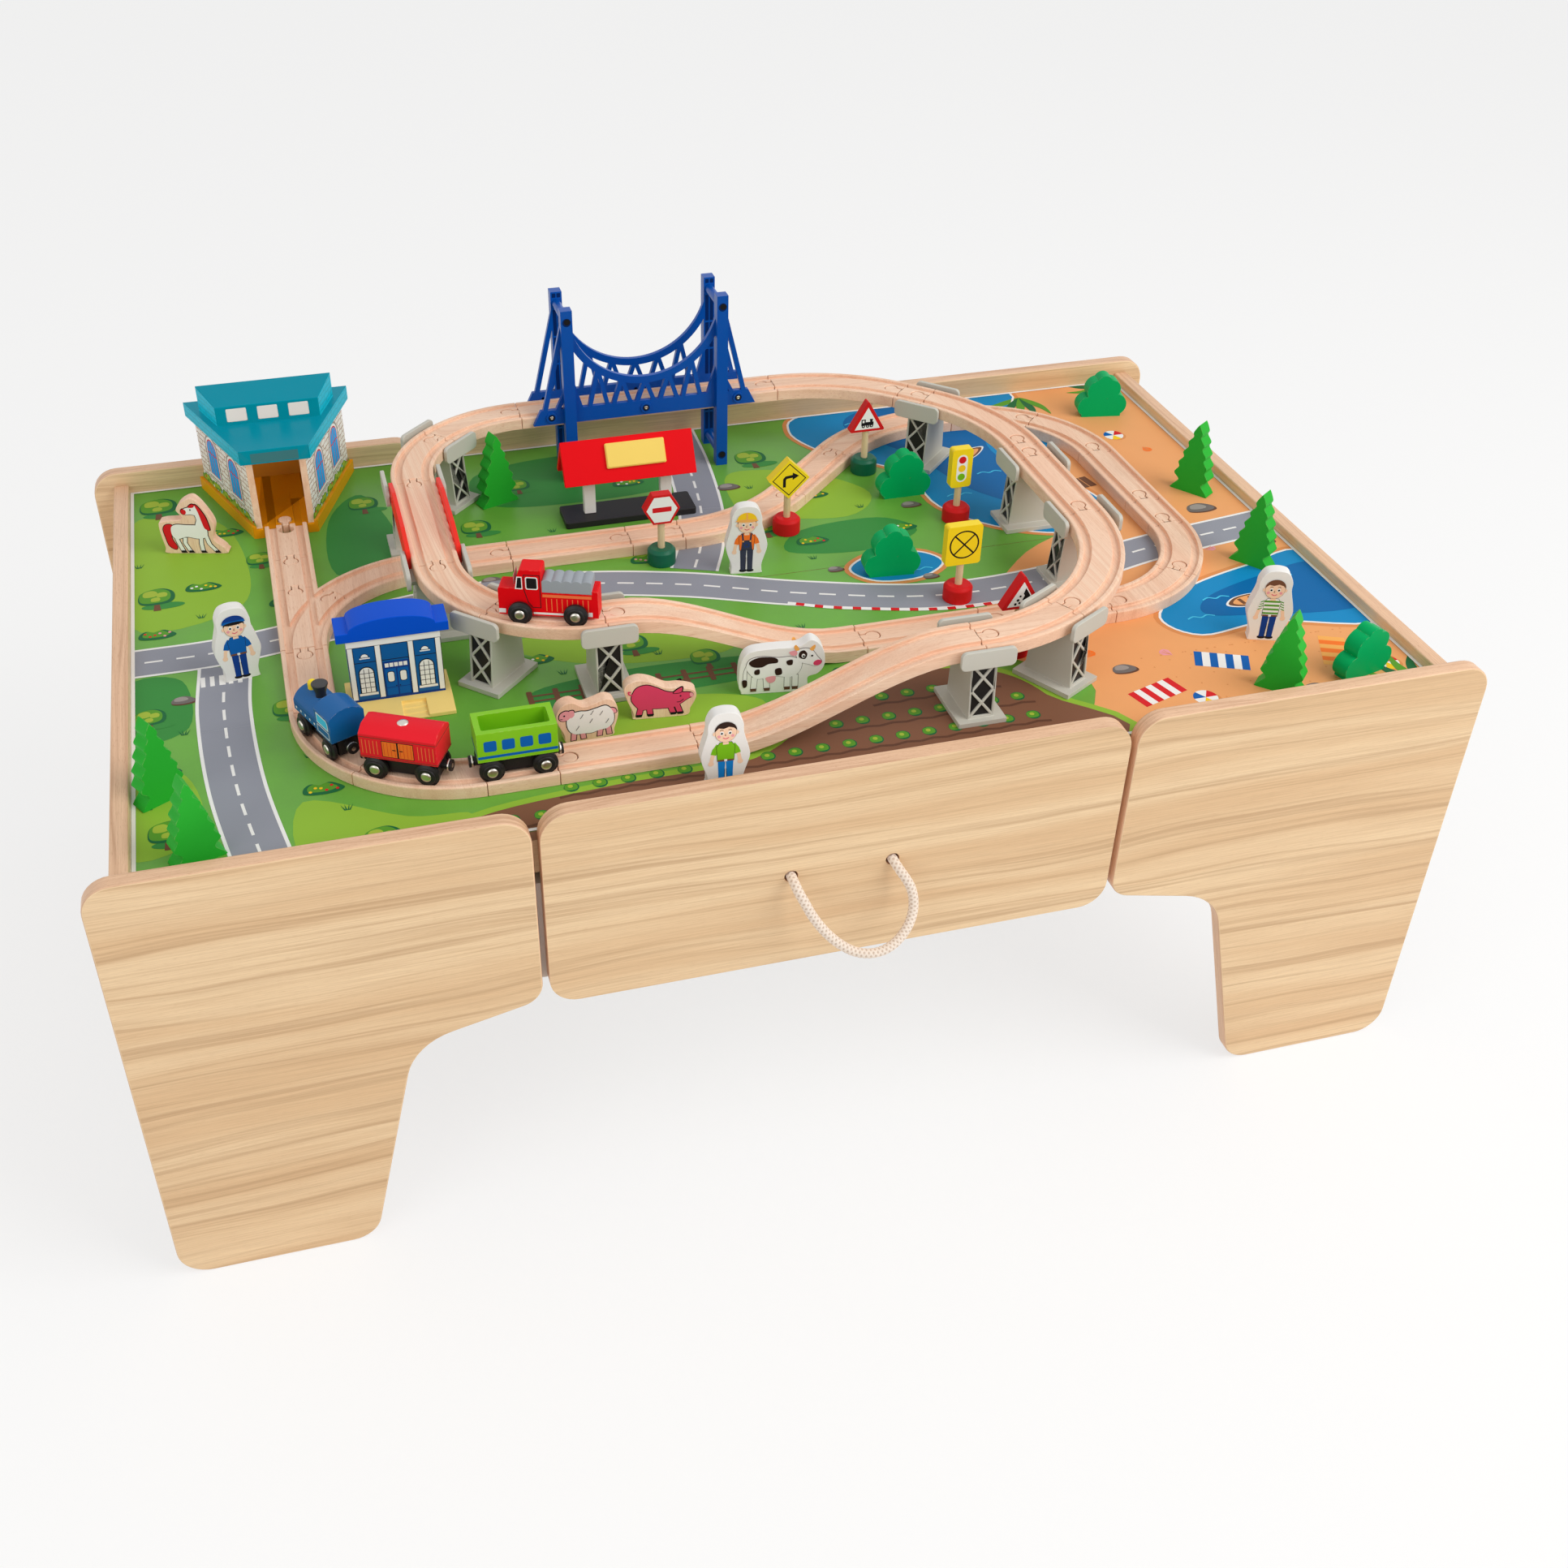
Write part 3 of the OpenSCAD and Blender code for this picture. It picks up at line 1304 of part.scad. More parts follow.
leg_panel_front_left();
leg_panel_front_right();
leg_panel_back_left();
leg_panel_back_right();
back_panel();
end_rails();
long_rails();
board_supports();
drawer_runners();
board_front();
board_back();
drawer_front();
drawer_walls();
drawer_floor();
rope_handle();
rope_knots();
on_board() track_straights();
on_board() track_curves();
on_board() track_switch();
on_board() track_ramps();
on_board() bridge_deck();
on_board() bridge_trusses();
on_board() bridge_crossbars();
on_board() pier_shells();
on_board() guard_rails();
on_board() shed_base();
on_board() shed_walls();
on_board() shed_roof();
on_board() station_platform();
on_board() station_posts();
on_board() station_roof();
on_board() building_base();
on_board() building_block();
on_board() building_roof();
on_board() red_sign_bases();
on_board() green_sign_bases();
on_board() sign_posts();
on_board() red_sign_heads();
on_board() yellow_sign_heads();
on_board() pine_trees();
on_board() bush_trees();
on_board() people_figures();
on_board() animal_figures();
on_board() loco_body();
on_board() loco_chassis();
on_board() loco_fittings();
on_board() red_wagon_body();
on_board() red_wagon_chassis();
on_board() green_wagon_body();
on_board() green_wagon_chassis();
on_board() lorry_body();
on_board() lorry_load();
on_board() loco_axle_front();
on_board() loco_axle_rear();
on_board() red_wagon_axle_front();
on_board() red_wagon_axle_rear();
on_board() green_wagon_axle_front();
on_board() green_wagon_axle_rear();
on_board() lorry_axle_front();
on_board() lorry_axle_rear();
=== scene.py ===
"""Finishes, printed layers and small fittings of a wooden train table.

The solids come packed from the construction and stay as they are. This file adds the rope handle, the
humped roof of the building, the painted prints, small fittings and every finish. Lengths are in
millimetres until a mesh is made.
"""

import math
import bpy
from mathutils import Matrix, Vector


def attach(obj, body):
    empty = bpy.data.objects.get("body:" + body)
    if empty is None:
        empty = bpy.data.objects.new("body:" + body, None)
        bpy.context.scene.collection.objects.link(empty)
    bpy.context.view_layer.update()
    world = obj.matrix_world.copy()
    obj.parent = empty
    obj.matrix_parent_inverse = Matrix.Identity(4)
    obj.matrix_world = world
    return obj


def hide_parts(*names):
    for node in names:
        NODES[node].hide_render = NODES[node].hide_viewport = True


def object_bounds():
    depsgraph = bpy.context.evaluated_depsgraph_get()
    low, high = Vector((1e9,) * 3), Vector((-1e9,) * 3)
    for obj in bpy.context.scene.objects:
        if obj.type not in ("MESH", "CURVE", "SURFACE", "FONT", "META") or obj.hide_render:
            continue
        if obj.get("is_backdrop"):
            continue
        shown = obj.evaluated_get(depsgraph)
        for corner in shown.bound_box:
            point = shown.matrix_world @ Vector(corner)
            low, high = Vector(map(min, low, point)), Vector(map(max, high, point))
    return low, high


bl_info = {
    "name": "Train table",
    "version": (1, 0, 0),
    "blender": (4, 5, 0),
    "location": "View3D > Sidebar > Train table",
    "description": "Finishes, prints and small fittings of a wooden train table",
    "category": "Object",
}

import bpy
from bpy.props import FloatProperty, FloatVectorProperty, PointerProperty
from mathutils import Matrix, Vector

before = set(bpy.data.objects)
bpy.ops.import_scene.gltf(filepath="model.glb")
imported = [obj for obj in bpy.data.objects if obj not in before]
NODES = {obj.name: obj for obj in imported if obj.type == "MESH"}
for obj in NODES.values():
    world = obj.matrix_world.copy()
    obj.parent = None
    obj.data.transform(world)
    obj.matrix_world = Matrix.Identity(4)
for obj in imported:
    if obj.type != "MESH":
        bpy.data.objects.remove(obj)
CAD_BOX = [list(corner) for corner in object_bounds()]

MM = 0.001
UP = Vector((0, 0, 1))
# Height of one painted layer over the one below it
LAYER = 0.05
# Shapes of one level lie this many small steps apart in turn, so that none share a plane
STAGGER = 24
BOARD_Z = 424.0


def srgb(red, green, blue):
    """Linear colour of three display values from 0 to 255."""
    return tuple(
        v / 3294.6 if v <= 10.31 else ((v / 255 + 0.055) / 1.055) ** 2.4 for v in (red, green, blue)
    )


def swatch(name, description, *values):
    """A colour that a user can change, from its display values."""
    return FloatVectorProperty(
        name=name, description=description, subtype="COLOR", size=3, min=0, max=1, default=srgb(*values)
    )


def length_setting(name, description, default, precision=4):
    return FloatProperty(
        name=name, description=description, default=default, unit="LENGTH", precision=precision
    )


def power_setting(name, description, default):
    return FloatProperty(name=name, description=description, default=default, unit="POWER")


class TrainTableWoods(bpy.types.PropertyGroup):
    """Colours of the bare and laminated woods."""

    oak_pale: swatch("Oak pale", "Light fields of the oak laminate", 240, 209, 167)
    oak_middle: swatch("Oak middle", "Main tone of the oak laminate", 226, 189, 145)
    oak_deep: swatch("Oak deep", "Dark streaks of the oak laminate", 184, 145, 104)
    edge_pale: swatch("Edge pale", "Light lines of the edge band", 238, 196, 160)
    edge_deep: swatch("Edge deep", "Dark lines of the edge band", 178, 124, 88)
    beech_pale: swatch("Beech pale", "Light fields of the track", 252, 218, 190)
    beech_middle: swatch("Beech middle", "Main tone of the track", 247, 204, 174)
    beech_deep: swatch("Beech deep", "Dark flecks of the track", 216, 163, 127)
    pine_pale: swatch("Pine pale", "Light fields of the hidden rails", 236, 212, 172)
    pine_middle: swatch("Pine middle", "Main tone of the hidden rails", 224, 194, 148)
    pine_deep: swatch("Pine deep", "Dark lines of the hidden rails", 196, 156, 106)


class TrainTableFinishes(bpy.types.PropertyGroup):
    """Colours of the plastics and paints."""

    melamine: swatch("Melamine", "Drawer box", 226, 222, 216)
    hardboard: swatch("Hardboard", "Underside of the board", 150, 112, 78)
    cotton: swatch("Cotton", "Rope handle", 240, 225, 210)
    # Painted shade for the furrows between the rope's plaits
    cotton_furrow_shade: swatch("Cotton furrows", "Furrows of the rope", 198, 172, 150)
    grey_plastic: swatch("Grey plastic", "Piers", 200, 197, 185)
    blue_plastic: swatch("Blue plastic", "Bridge", 0, 80, 172)
    red_plastic: swatch("Red plastic", "Guard rails", 244, 54, 42)
    amber_plastic: swatch("Amber plastic", "See-through base of the shed", 240, 150, 10)
    teal_plastic: swatch("Teal plastic", "See-through roof of the shed", 0, 146, 168)
    cream_plastic: swatch("Cream plastic", "Base of the building", 255, 222, 132)
    black_plastic: swatch("Black plastic", "Wheels and chassis", 34, 32, 32)
    steel: swatch("Steel", "Hub caps, magnets and screws", 208, 202, 192)
    red_paint: swatch("Red paint", "Station roof and lorry", 234, 8, 20)
    yellow_paint: swatch("Yellow paint", "Sign heads and dome", 250, 218, 30)
    bottle_paint: swatch("Bottle green paint", "Two sign bases", 14, 98, 70)
    pine_paint: swatch("Pine paint", "Pines", 44, 176, 52)
    bush_paint: swatch("Bush paint", "Bushes", 0, 172, 96)
    loco_paint: swatch("Engine paint", "Engine body", 10, 94, 158)
    wall_paint: swatch("Wall paint", "Building", 10, 92, 160)
    roof_paint: swatch("Roof paint", "Roof of the building", 6, 82, 208)
    lime_paint: swatch("Lime paint", "Open wagon", 132, 198, 28)
    plate_paint: swatch("Plate paint", "Plate on the station roof", 249, 214, 104)
    sign_paint: swatch("Sign paint", "Red signs and sign bases", 214, 32, 34)
    wagon_paint: swatch("Wagon paint", "Closed wagon", 236, 36, 48)
    white_paint: swatch("White paint", "Posts and cut-out figures", 240, 237, 232)
    black_paint: swatch("Black paint", "Platform", 38, 36, 37)
    load_paint: swatch("Load paint", "Load of the lorry", 158, 164, 170)
    floor: swatch("Floor", "Studio floor", 248, 247, 245)


class TrainTablePrints(bpy.types.PropertyGroup):
    """Colours of the printed layers."""

    white: swatch("White", "Lines, dashes and outlines", 244, 242, 238)
    black: swatch("Black", "Dark lines and fields", 30, 28, 30)
    red: swatch("Red", "Bright red fields", 218, 34, 40)
    orange: swatch("Orange", "Doors and shirts", 250, 122, 44)
    stripe: swatch("Stripe", "Thin stripes on red", 248, 122, 70)
    gold: swatch("Gold", "Thin stripes", 250, 178, 92)
    yellow: swatch("Yellow", "Lamps, hats and flowers", 252, 204, 40)
    sky: swatch("Sky", "Light blue panes", 76, 200, 236)
    blue: swatch("Blue", "Trousers and bands", 16, 96, 176)
    pane: swatch("Pane", "Shed windows", 30, 170, 244)
    navy: swatch("Navy", "Dark blue cloth and panes", 22, 62, 140)
    denim: swatch("Denim", "Dark trousers", 58, 62, 78)
    skin: swatch("Skin", "Faces and hands", 250, 210, 178)
    hair: swatch("Hair", "Hair", 52, 34, 28)
    rose: swatch("Rose", "Pig and cheeks", 226, 70, 108)
    pink: swatch("Pink", "Muzzles and ears", 240, 160, 168)
    lime: swatch("Lime", "Light green cloth", 122, 190, 30)
    sky_blue: swatch("Bright blue", "Trousers", 24, 128, 208)
    # Painted shade in the hollows and holes of the bridge
    bridge_painted_shade: swatch("Bridge shade", "Hollows of the bridge towers", 4, 40, 98)
    # Painted amber light on the inside of the shed walls
    shed_painted_amber_light: swatch("Shed inside", "Amber light on the walls", 226, 146, 44)
    brick: swatch("Brick", "Printed bricks", 242, 233, 226)
    brick_pale: swatch("Pale brick", "Lighter bricks and reveals", 248, 243, 239)
    mortar: swatch("Mortar", "Joints of the printed bricks", 170, 122, 94)
    plate: swatch("Plate", "Bare plate on the shed", 66, 124, 130)
    meadow: swatch("Meadow", "Grass", 106, 170, 60)
    meadow_light: swatch("Light meadow", "Light grass", 148, 190, 62)
    meadow_dark: swatch("Dark meadow", "Dark grass", 62, 142, 66)
    leaf: swatch("Leaf", "Printed crowns", 92, 156, 48)
    leaf_light: swatch("Light leaf", "Lit side of printed crowns", 168, 190, 66)
    leaf_dark: swatch("Dark leaf", "Shaded side of printed crowns", 34, 106, 62)
    bark: swatch("Bark", "Trunks and fences", 118, 78, 56)
    road: swatch("Road", "Roads", 150, 152, 162)
    water: swatch("Water", "Lake and river", 22, 138, 196)
    water_deep: swatch("Deep water", "Deep part of the lake", 12, 104, 168)
    sand: swatch("Sand", "Beach", 240, 168, 108)
    sand_dark: swatch("Dark sand", "Wet beach", 224, 146, 86)
    soil: swatch("Soil", "Ploughed field", 132, 90, 68)
    soil_dark: swatch("Dark soil", "Furrows", 102, 68, 52)
    stone: swatch("Stone", "Stones", 116, 108, 104)
    stone_light: swatch("Light stone", "Lit side of stones", 158, 150, 144)


class TrainTableSizes(bpy.types.PropertyGroup):
    """Sizes of the added pieces and levels of the light."""

    rope_diameter: length_setting("Rope", "Diameter of the rope", 0.009)
    strand_relief: length_setting("Strand relief", "Height of a strand", 0.0007, 5)
    panel_round: length_setting("Panel rounding", "Radius of panel edges", 0.0016)
    toy_round: length_setting("Toy rounding", "Radius of toy edges", 0.0007)
    key_power: power_setting("Key light", "Power of the large lamp", 66.0)
    fill_power: power_setting("Fill light", "Power of the small lamp", 14.0)
    sky_level: FloatProperty(
        name="Sky level", description="Strength of the even light", default=0.54, min=0, subtype="FACTOR"
    )


def woods():
    return bpy.context.scene.train_table_woods


def finishes():
    return bpy.context.scene.train_table_finishes


def prints():
    return bpy.context.scene.train_table_prints


def sizes():
    return bpy.context.scene.train_table_sizes


class Step:
    """One step of the dressing, which can be run by itself."""

    def execute(self, context):
        self.build()
        return {"FINISHED"}


# Shader building


def fill(tree, made, inputs):
    """A node with its inputs given, each a value or a socket to link."""
    for key, value in inputs.items():
        if isinstance(value, bpy.types.NodeSocket):
            tree.links.new(value, made.inputs[key])
        else:
            made.inputs[key].default_value = value
    return made


def put(tree, kind, inputs=None, **settings):
    """A new shader node with its settings and its inputs."""
    made = tree.nodes.new("ShaderNode" + kind)
    for key, value in settings.items():
        setattr(made, key, value)
    return fill(tree, made, inputs or {})


def math_of(tree, operation, *values, clamp=False):
    inputs = dict(enumerate(values))
    return put(tree, "Math", inputs, operation=operation, use_clamp=clamp).outputs[0]


def vector_of(tree, operation, *values):
    return put(tree, "VectorMath", dict(enumerate(values)), operation=operation).outputs[0]


def ramp_of(tree, value, low, high, to_low=0.0, to_high=1.0):
    """A smooth step of a value from low to high."""
    inputs = {"Value": value, 1: low, 2: high, 3: to_low, 4: to_high}
    return put(tree, "MapRange", inputs, interpolation_type="SMOOTHSTEP").outputs[0]


def blend_of(tree, share, first, second):
    """Two colours mixed by a share."""
    return put(tree, "Mix", {0: share, 6: first, 7: second}, data_type="RGBA").outputs[2]


def noise_of(tree, vector, scale, detail, rough=0.5):
    inputs = {"Vector": vector, "Scale": scale, "Detail": detail, "Roughness": rough}
    return put(tree, "TexNoise", inputs).outputs[0]


def full(colour):
    return (*colour, 1.0)


def object_place(tree):
    return put(tree, "TexCoord").outputs["Object"]


def face_normal(tree):
    return put(tree, "NewGeometry").outputs["Normal"]


def axes_of(tree, vector):
    """The three numbers of a vector."""
    return put(tree, "SeparateXYZ", {0: vector}).outputs


def vector_from(tree, *values):
    return put(tree, "CombineXYZ", dict(enumerate(values))).outputs[0]


SOCKETS = {"vector": "NodeSocketVector", "colour": "NodeSocketColor", "value": "NodeSocketFloat"}


def shader_group(name, inputs, outputs):
    """An empty shader group with named sockets: its tree, its inputs and its output node."""
    tree = bpy.data.node_groups.new(name, "ShaderNodeTree")
    for label, kind, default in inputs:
        socket = tree.interface.new_socket(label, in_out="INPUT", socket_type=SOCKETS[kind])
        if default is not None:
            socket.default_value = default
    for label, kind in outputs:
        tree.interface.new_socket(label, in_out="OUTPUT", socket_type=SOCKETS[kind])
    given = tree.nodes.new("NodeGroupInput").outputs
    return tree, given, tree.nodes.new("NodeGroupOutput").inputs


def wood_group():
    """Growth bands, fibres and short pores along the first axis of the coordinates."""
    tree, given, out = shader_group(
        "Wood grain",
        [
            ("Along", "vector", None),
            ("Pale", "colour", None),
            ("Middle", "colour", None),
            ("Deep", "colour", None),
            ("Figure", "value", 0.5),
            ("Pores", "value", 0.5),
            ("Roughness", "value", 0.5),
        ],
        [("Colour", "colour"), ("Roughness", "value"), ("Height", "value")],
    )
    along = given["Along"]
    place = axes_of(tree, along)
    drift = noise_of(tree, vector_of(tree, "MULTIPLY", along, (2.2, 9.0, 9.0)), 1.0, 2.0)
    drift = math_of(tree, "MULTIPLY", math_of(tree, "SUBTRACT", drift, 0.5), 0.045)
    across = math_of(tree, "ADD", place[1], drift)
    run = math_of(tree, "MULTIPLY", place[0], 1.1)
    depth = math_of(tree, "MULTIPLY", place[2], 60.0)
    thin, wide = (
        vector_from(tree, run, math_of(tree, "MULTIPLY", across, count), depth)
        for count in (130.0, 26.0)
    )
    lines = noise_of(tree, thin, 1.0, 4.0, 0.62)
    broad = noise_of(tree, wide, 1.0, 2.0)
    fibres = noise_of(tree, vector_of(tree, "MULTIPLY", along, (14.0, 900.0, 900.0)), 1.0, 2.0, 0.6)
    pores = noise_of(tree, vector_of(tree, "MULTIPLY", along, (110.0, 1900.0, 1900.0)), 1.0, 1.0)
    base = blend_of(tree, ramp_of(tree, broad, 0.34, 0.66), given["Middle"], given["Pale"])
    streak = math_of(tree, "MULTIPLY", ramp_of(tree, lines, 0.47, 0.7), given["Figure"])
    base = blend_of(tree, streak, base, given["Deep"])
    silk = math_of(tree, "MULTIPLY", ramp_of(tree, fibres, 0.62, 0.36), 0.22)
    base = blend_of(tree, silk, base, given["Deep"])
    fleck = math_of(tree, "MULTIPLY", ramp_of(tree, pores, 0.6, 0.72), given["Pores"])
    tree.links.new(blend_of(tree, fleck, base, given["Deep"]), out["Colour"])
    rough = math_of(tree, "ADD", given["Roughness"], math_of(tree, "MULTIPLY", fibres, 0.12))
    tree.links.new(rough, out["Roughness"])
    tree.links.new(math_of(tree, "SUBTRACT", fibres, fleck), out["Height"])
    return tree


def mottle_group():
    """Slow clouds and a fine grain that break up a plain colour."""
    tree, given, out = shader_group(
        "Mottle",
        [
            ("Colour", "colour", None),
            ("Amount", "value", 0.1),
            ("Roughness", "value", 0.4),
            ("Grain", "value", 900.0),
        ],
        [("Colour", "colour"), ("Roughness", "value"), ("Height", "value")],
    )
    place = object_place(tree)
    clouds = noise_of(tree, place, 26.0, 3.0)
    fine = noise_of(tree, place, given["Grain"], 2.0)
    both = math_of(tree, "ADD", math_of(tree, "MULTIPLY", clouds, 0.7), math_of(tree, "MULTIPLY", fine, 0.3))
    swing = math_of(tree, "MULTIPLY", math_of(tree, "SUBTRACT", both, 0.5), given["Amount"])
    value = math_of(tree, "ADD", 1.0, swing)
    hue = put(tree, "HueSaturation", {"Color": given["Colour"], "Value": value})
    tree.links.new(hue.outputs[0], out["Colour"])
    rough = math_of(tree, "ADD", given["Roughness"], math_of(tree, "MULTIPLY", swing, 0.8))
    tree.links.new(rough, out["Roughness"])
    tree.links.new(fine, out["Height"])
    return tree


def wear_group():
    """A broken mask along sharp edges, where paint has rubbed thin."""
    tree, given, out = shader_group("Edge wear", [("Radius", "value", 0.001)], [("Mask", "value")])
    soft = put(tree, "Bevel", {"Radius": given["Radius"]}, samples=4).outputs[0]
    flat = face_normal(tree)
    facing = put(tree, "VectorMath", {0: soft, 1: flat}, operation="DOT_PRODUCT").outputs["Value"]
    place = object_place(tree)
    broken = ramp_of(tree, noise_of(tree, place, 240.0, 3.0), 0.42, 0.62)
    edge = ramp_of(tree, facing, 0.995, 0.9)
    tree.links.new(math_of(tree, "MULTIPLY", edge, broken, clamp=True), out["Mask"])
    return tree


MADE_GROUPS = {}
GROUP_MAKERS = {"wood": wood_group, "mottle": mottle_group, "wear": wear_group}


def group_node(tree, name, inputs):
    """The outputs of a shared group, which is made when it is first asked for."""
    if name not in MADE_GROUPS:
        MADE_GROUPS[name] = GROUP_MAKERS[name]()
    return fill(tree, put(tree, "Group", node_tree=MADE_GROUPS[name]), inputs).outputs


def mottled(tree, colour, amount, rough, grain):
    inputs = {"Colour": colour, "Amount": amount, "Roughness": rough, "Grain": grain}
    return group_node(tree, "mottle", inputs)


def new_material(name, shader_values):
    """A material with its Principled shader's own values set."""
    material = bpy.data.materials.new(name)
    material.use_nodes = True
    shader = material.node_tree.nodes["Principled BSDF"]
    for key, value in shader_values.items():
        shader.inputs[key].default_value = value
    return material, material.node_tree, shader.inputs


BUMP_STRENGTH = 0.35


def bump(tree, shader, height, distance):
    made = put(tree, "Bump", {"Height": height, "Distance": distance, "Strength": BUMP_STRENGTH})
    tree.links.new(made.outputs[0], shader["Normal"])


def cover(tree, shader, look, colour=None, depth=None):
    """A look's roughness and relief on the shader, with its own colour or another."""
    tree.links.new(look["Colour"] if colour is None else colour, shader["Base Color"])
    tree.links.new(look["Roughness"], shader["Roughness"])
    if depth is not None:
        bump(tree, shader, look["Height"], depth)


# Radius of an edge that counts as worn, in metres
WORN_RADIUS = 0.0008


def coated(name, colour, rough, amount, wear=0.0, worn=None, grain=900.0, depth=0.00004, **values):
    """Paint or moulded plastic: mottled colour, fine grain, and worn edges where asked."""
    material, tree, shader = new_material(name, {"Specular IOR Level": 0.25, **values})
    coat = mottled(tree, full(colour), amount, rough, grain)
    shown = coat["Colour"]
    if wear:
        mask = group_node(tree, "wear", {"Radius": WORN_RADIUS})["Mask"]
        shown = blend_of(tree, math_of(tree, "MULTIPLY", mask, wear), shown, full(worn))
    cover(tree, shader, coat, shown, depth)
    return material


def axis_vector(tree, order):
    """Object coordinates with their axes put in another order, so that the grain runs along the first."""
    place = axes_of(tree, object_place(tree))
    return vector_from(tree, *(place["XYZ".index(a)] for a in order))


def timber(name, order, tones, figure=0.4, pores=0.4):
    """Plain timber with its grain along one axis."""
    material, tree, shader = new_material(name, {})
    look = wood_look(tree, axis_vector(tree, order), tones, figure, pores, 0.42)
    cover(tree, shader, look, depth=0.00006)
    return material


def wood_look(tree, along, tones, figure, pores, rough):
    pale, middle, deep = (full(tone) for tone in tones)
    inputs = {"Along": along, "Pale": pale, "Middle": middle, "Deep": deep}
    inputs.update({"Figure": figure, "Pores": pores, "Roughness": rough})
    return group_node(tree, "wood", inputs)


PAINTS = {}
# Matt lacquer and printing ink
MATT = {"Specular IOR Level": 0.08}


def paint(name):
    """The material of one printed colour, made when it is first asked for."""
    if name not in PAINTS:
        colour = getattr(prints(), name)
        PAINTS[name] = coated("print_" + name, colour, 0.46, 0.1, grain=1400.0, depth=0.00002, **MATT)
    return PAINTS[name]


def dress(names, material, rounding=0.0):
    """One material on CAD nodes, with their sharp edges rounded where a radius is given."""
    for name in names:
        node = NODES[name]
        node.data.materials.clear()
        node.data.materials.append(material)
        if rounding:
            soften(node, rounding)


# Points closer than this are one point, in metres
WELD_REACH = 0.00001
# Degrees between two faces: with less they are one face, with more their edge is rounded
FLAT_TURN = 0.5
SHARP_TURN = 38
ROUND_STEPS = 2


def soften(piece, radius):
    """Rounded edges: joined points, whole faces, a bevel and even shading."""
    weld = piece.modifiers.new("Join", "WELD")
    weld.merge_threshold = WELD_REACH
    whole = piece.modifiers.new("Whole faces", "DECIMATE")
    whole.decimate_type = "DISSOLVE"
    whole.angle_limit = math.radians(FLAT_TURN)
    rounded = piece.modifiers.new("Round edges", "BEVEL")
    rounded.width = radius
    rounded.segments = ROUND_STEPS
    rounded.limit_method = "ANGLE"
    rounded.angle_limit = math.radians(SHARP_TURN)
    rounded.harden_normals = False
    shade = piece.modifiers.new("Even shading", "WEIGHTED_NORMAL")
    shade.weight = 100
    shade.keep_sharp = False
    for face in piece.data.polygons:
        face.use_smooth = True


# Meshes


def make_piece(name, points, faces, materials, body, slot, picks=None, smooth=False):
    """A mesh piece from points in millimetres, riding on a body."""
    mesh = bpy.data.meshes.new(name)
    mesh.from_pydata([Vector(p) * MM for p in points], [], [list(f) for f in faces])
    for material in materials:
        mesh.materials.append(material)
    if picks:
        mesh.polygons.foreach_set("material_index", picks)
    if smooth:
        mesh.polygons.foreach_set("use_smooth", [True] * len(mesh.polygons))
    mesh.update()
    piece = bpy.data.objects.new(name, mesh)
    bpy.context.scene.collection.objects.link(piece)
    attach(piece, body)
    return piece


def frames_along(route, closed):
    """Points of a route with two normals each that turn as little as they can."""
    count = len(route)
    tangents = []
    for i in range(count):
        before = route[i - 1] if closed or i else route[0]
        after = route[(i + 1) % count] if closed or i < count - 1 else route[-1]
        tangents.append((after - before).normalized())
    side = tangents[0].orthogonal().normalized()
    rows = []
    for point, tangent in zip(route, tangents):
        side = (side - tangent * side.dot(tangent)).normalized()
        rows.append((point, side, tangent.cross(side)))
    return rows


def fine_route(points, step, closed=False):
    """A smooth route through points, cut into even steps."""
    dense = curve(points, 24, closed)
    if closed:
        dense.append(dense[0])
    lengths = [0.0]
    for a, b in zip(dense, dense[1:]):
        lengths.append(lengths[-1] + (b - a).length)
    count = max(2, round(lengths[-1] / step))
    route, k = [], 0
    for i in range(count if closed else count + 1):
        s = lengths[-1] * i / count
        while k < len(lengths) - 2 and lengths[k + 1] < s:
            k += 1
        share = (s - lengths[k]) / max(lengths[k + 1] - lengths[k], 1e-9)
        route.append(dense[k].lerp(dense[k + 1], share))
    return route


def band(ring, low, high):
    """Faces between two rings of points, given the number of each ring's first point."""
    return [(low + k, low + (k + 1) % ring, high + (k + 1) % ring, high + k) for k in range(ring)]


# How far a strand rises where it crosses over another, how wide it spreads, and how flat its back is
STRAND_OVER = 0.5
STRAND_SPREAD = 0.5
STRAND_BACK = 0.6


def braid(route, radius, relief, step, closed=False, sides=36, strands=8, lay=16.0):
    """Points, faces and furrows of a braided rope: strands cross over and under in two directions."""
    points, faces, furrows = [], [], []
    rows = frames_along(route, closed)
    turns = round(len(rows) * step / lay * strands) / strands if closed else len(rows) * step / lay
    for i, (middle, u, v) in enumerate(rows):
        shift = 2 * math.pi * turns * i / len(rows)
        for k in range(sides):
            a = 2 * math.pi * k / sides
            left = math.cos(strands / 2 * (a + shift))
            right = math.cos(strands / 2 * (a - shift))
            over = math.cos(strands / 2 * a) * STRAND_OVER
            height = max(left * (1 + over), right * (1 - over)) + STRAND_SPREAD
            furrows.append(1.0 - min(1.0, max(0.0, height) ** STRAND_BACK))
            r = radius - relief * furrows[-1]
            points.append(middle + (u * math.cos(a) + v * math.sin(a)) * r)
    count = len(rows)
    for i in range(count if closed else count - 1):
        faces += band(sides, i * sides, (i + 1) % count * sides)
    if not closed:
        faces.append(range(sides - 1, -1, -1))
        faces.append(range((count - 1) * sides, count * sides))
    return points, faces, furrows


def lathe(profile, place, segments):
    """Points and faces of a turned shape: a profile of radius and height round the place's third axis."""
    points, faces = [], []
    for r, h in profile:
        for k in range(segments):
            a = 2 * math.pi * k / segments
            points.append(place @ Vector((r * math.cos(a), r * math.sin(a), h)))
    for i in range(len(profile) - 1):
        faces += band(segments, i * segments, (i + 1) * segments)
    faces.append(range(segments - 1, -1, -1))
    faces.append(range((len(profile) - 1) * segments, len(profile) * segments))
    return points, faces


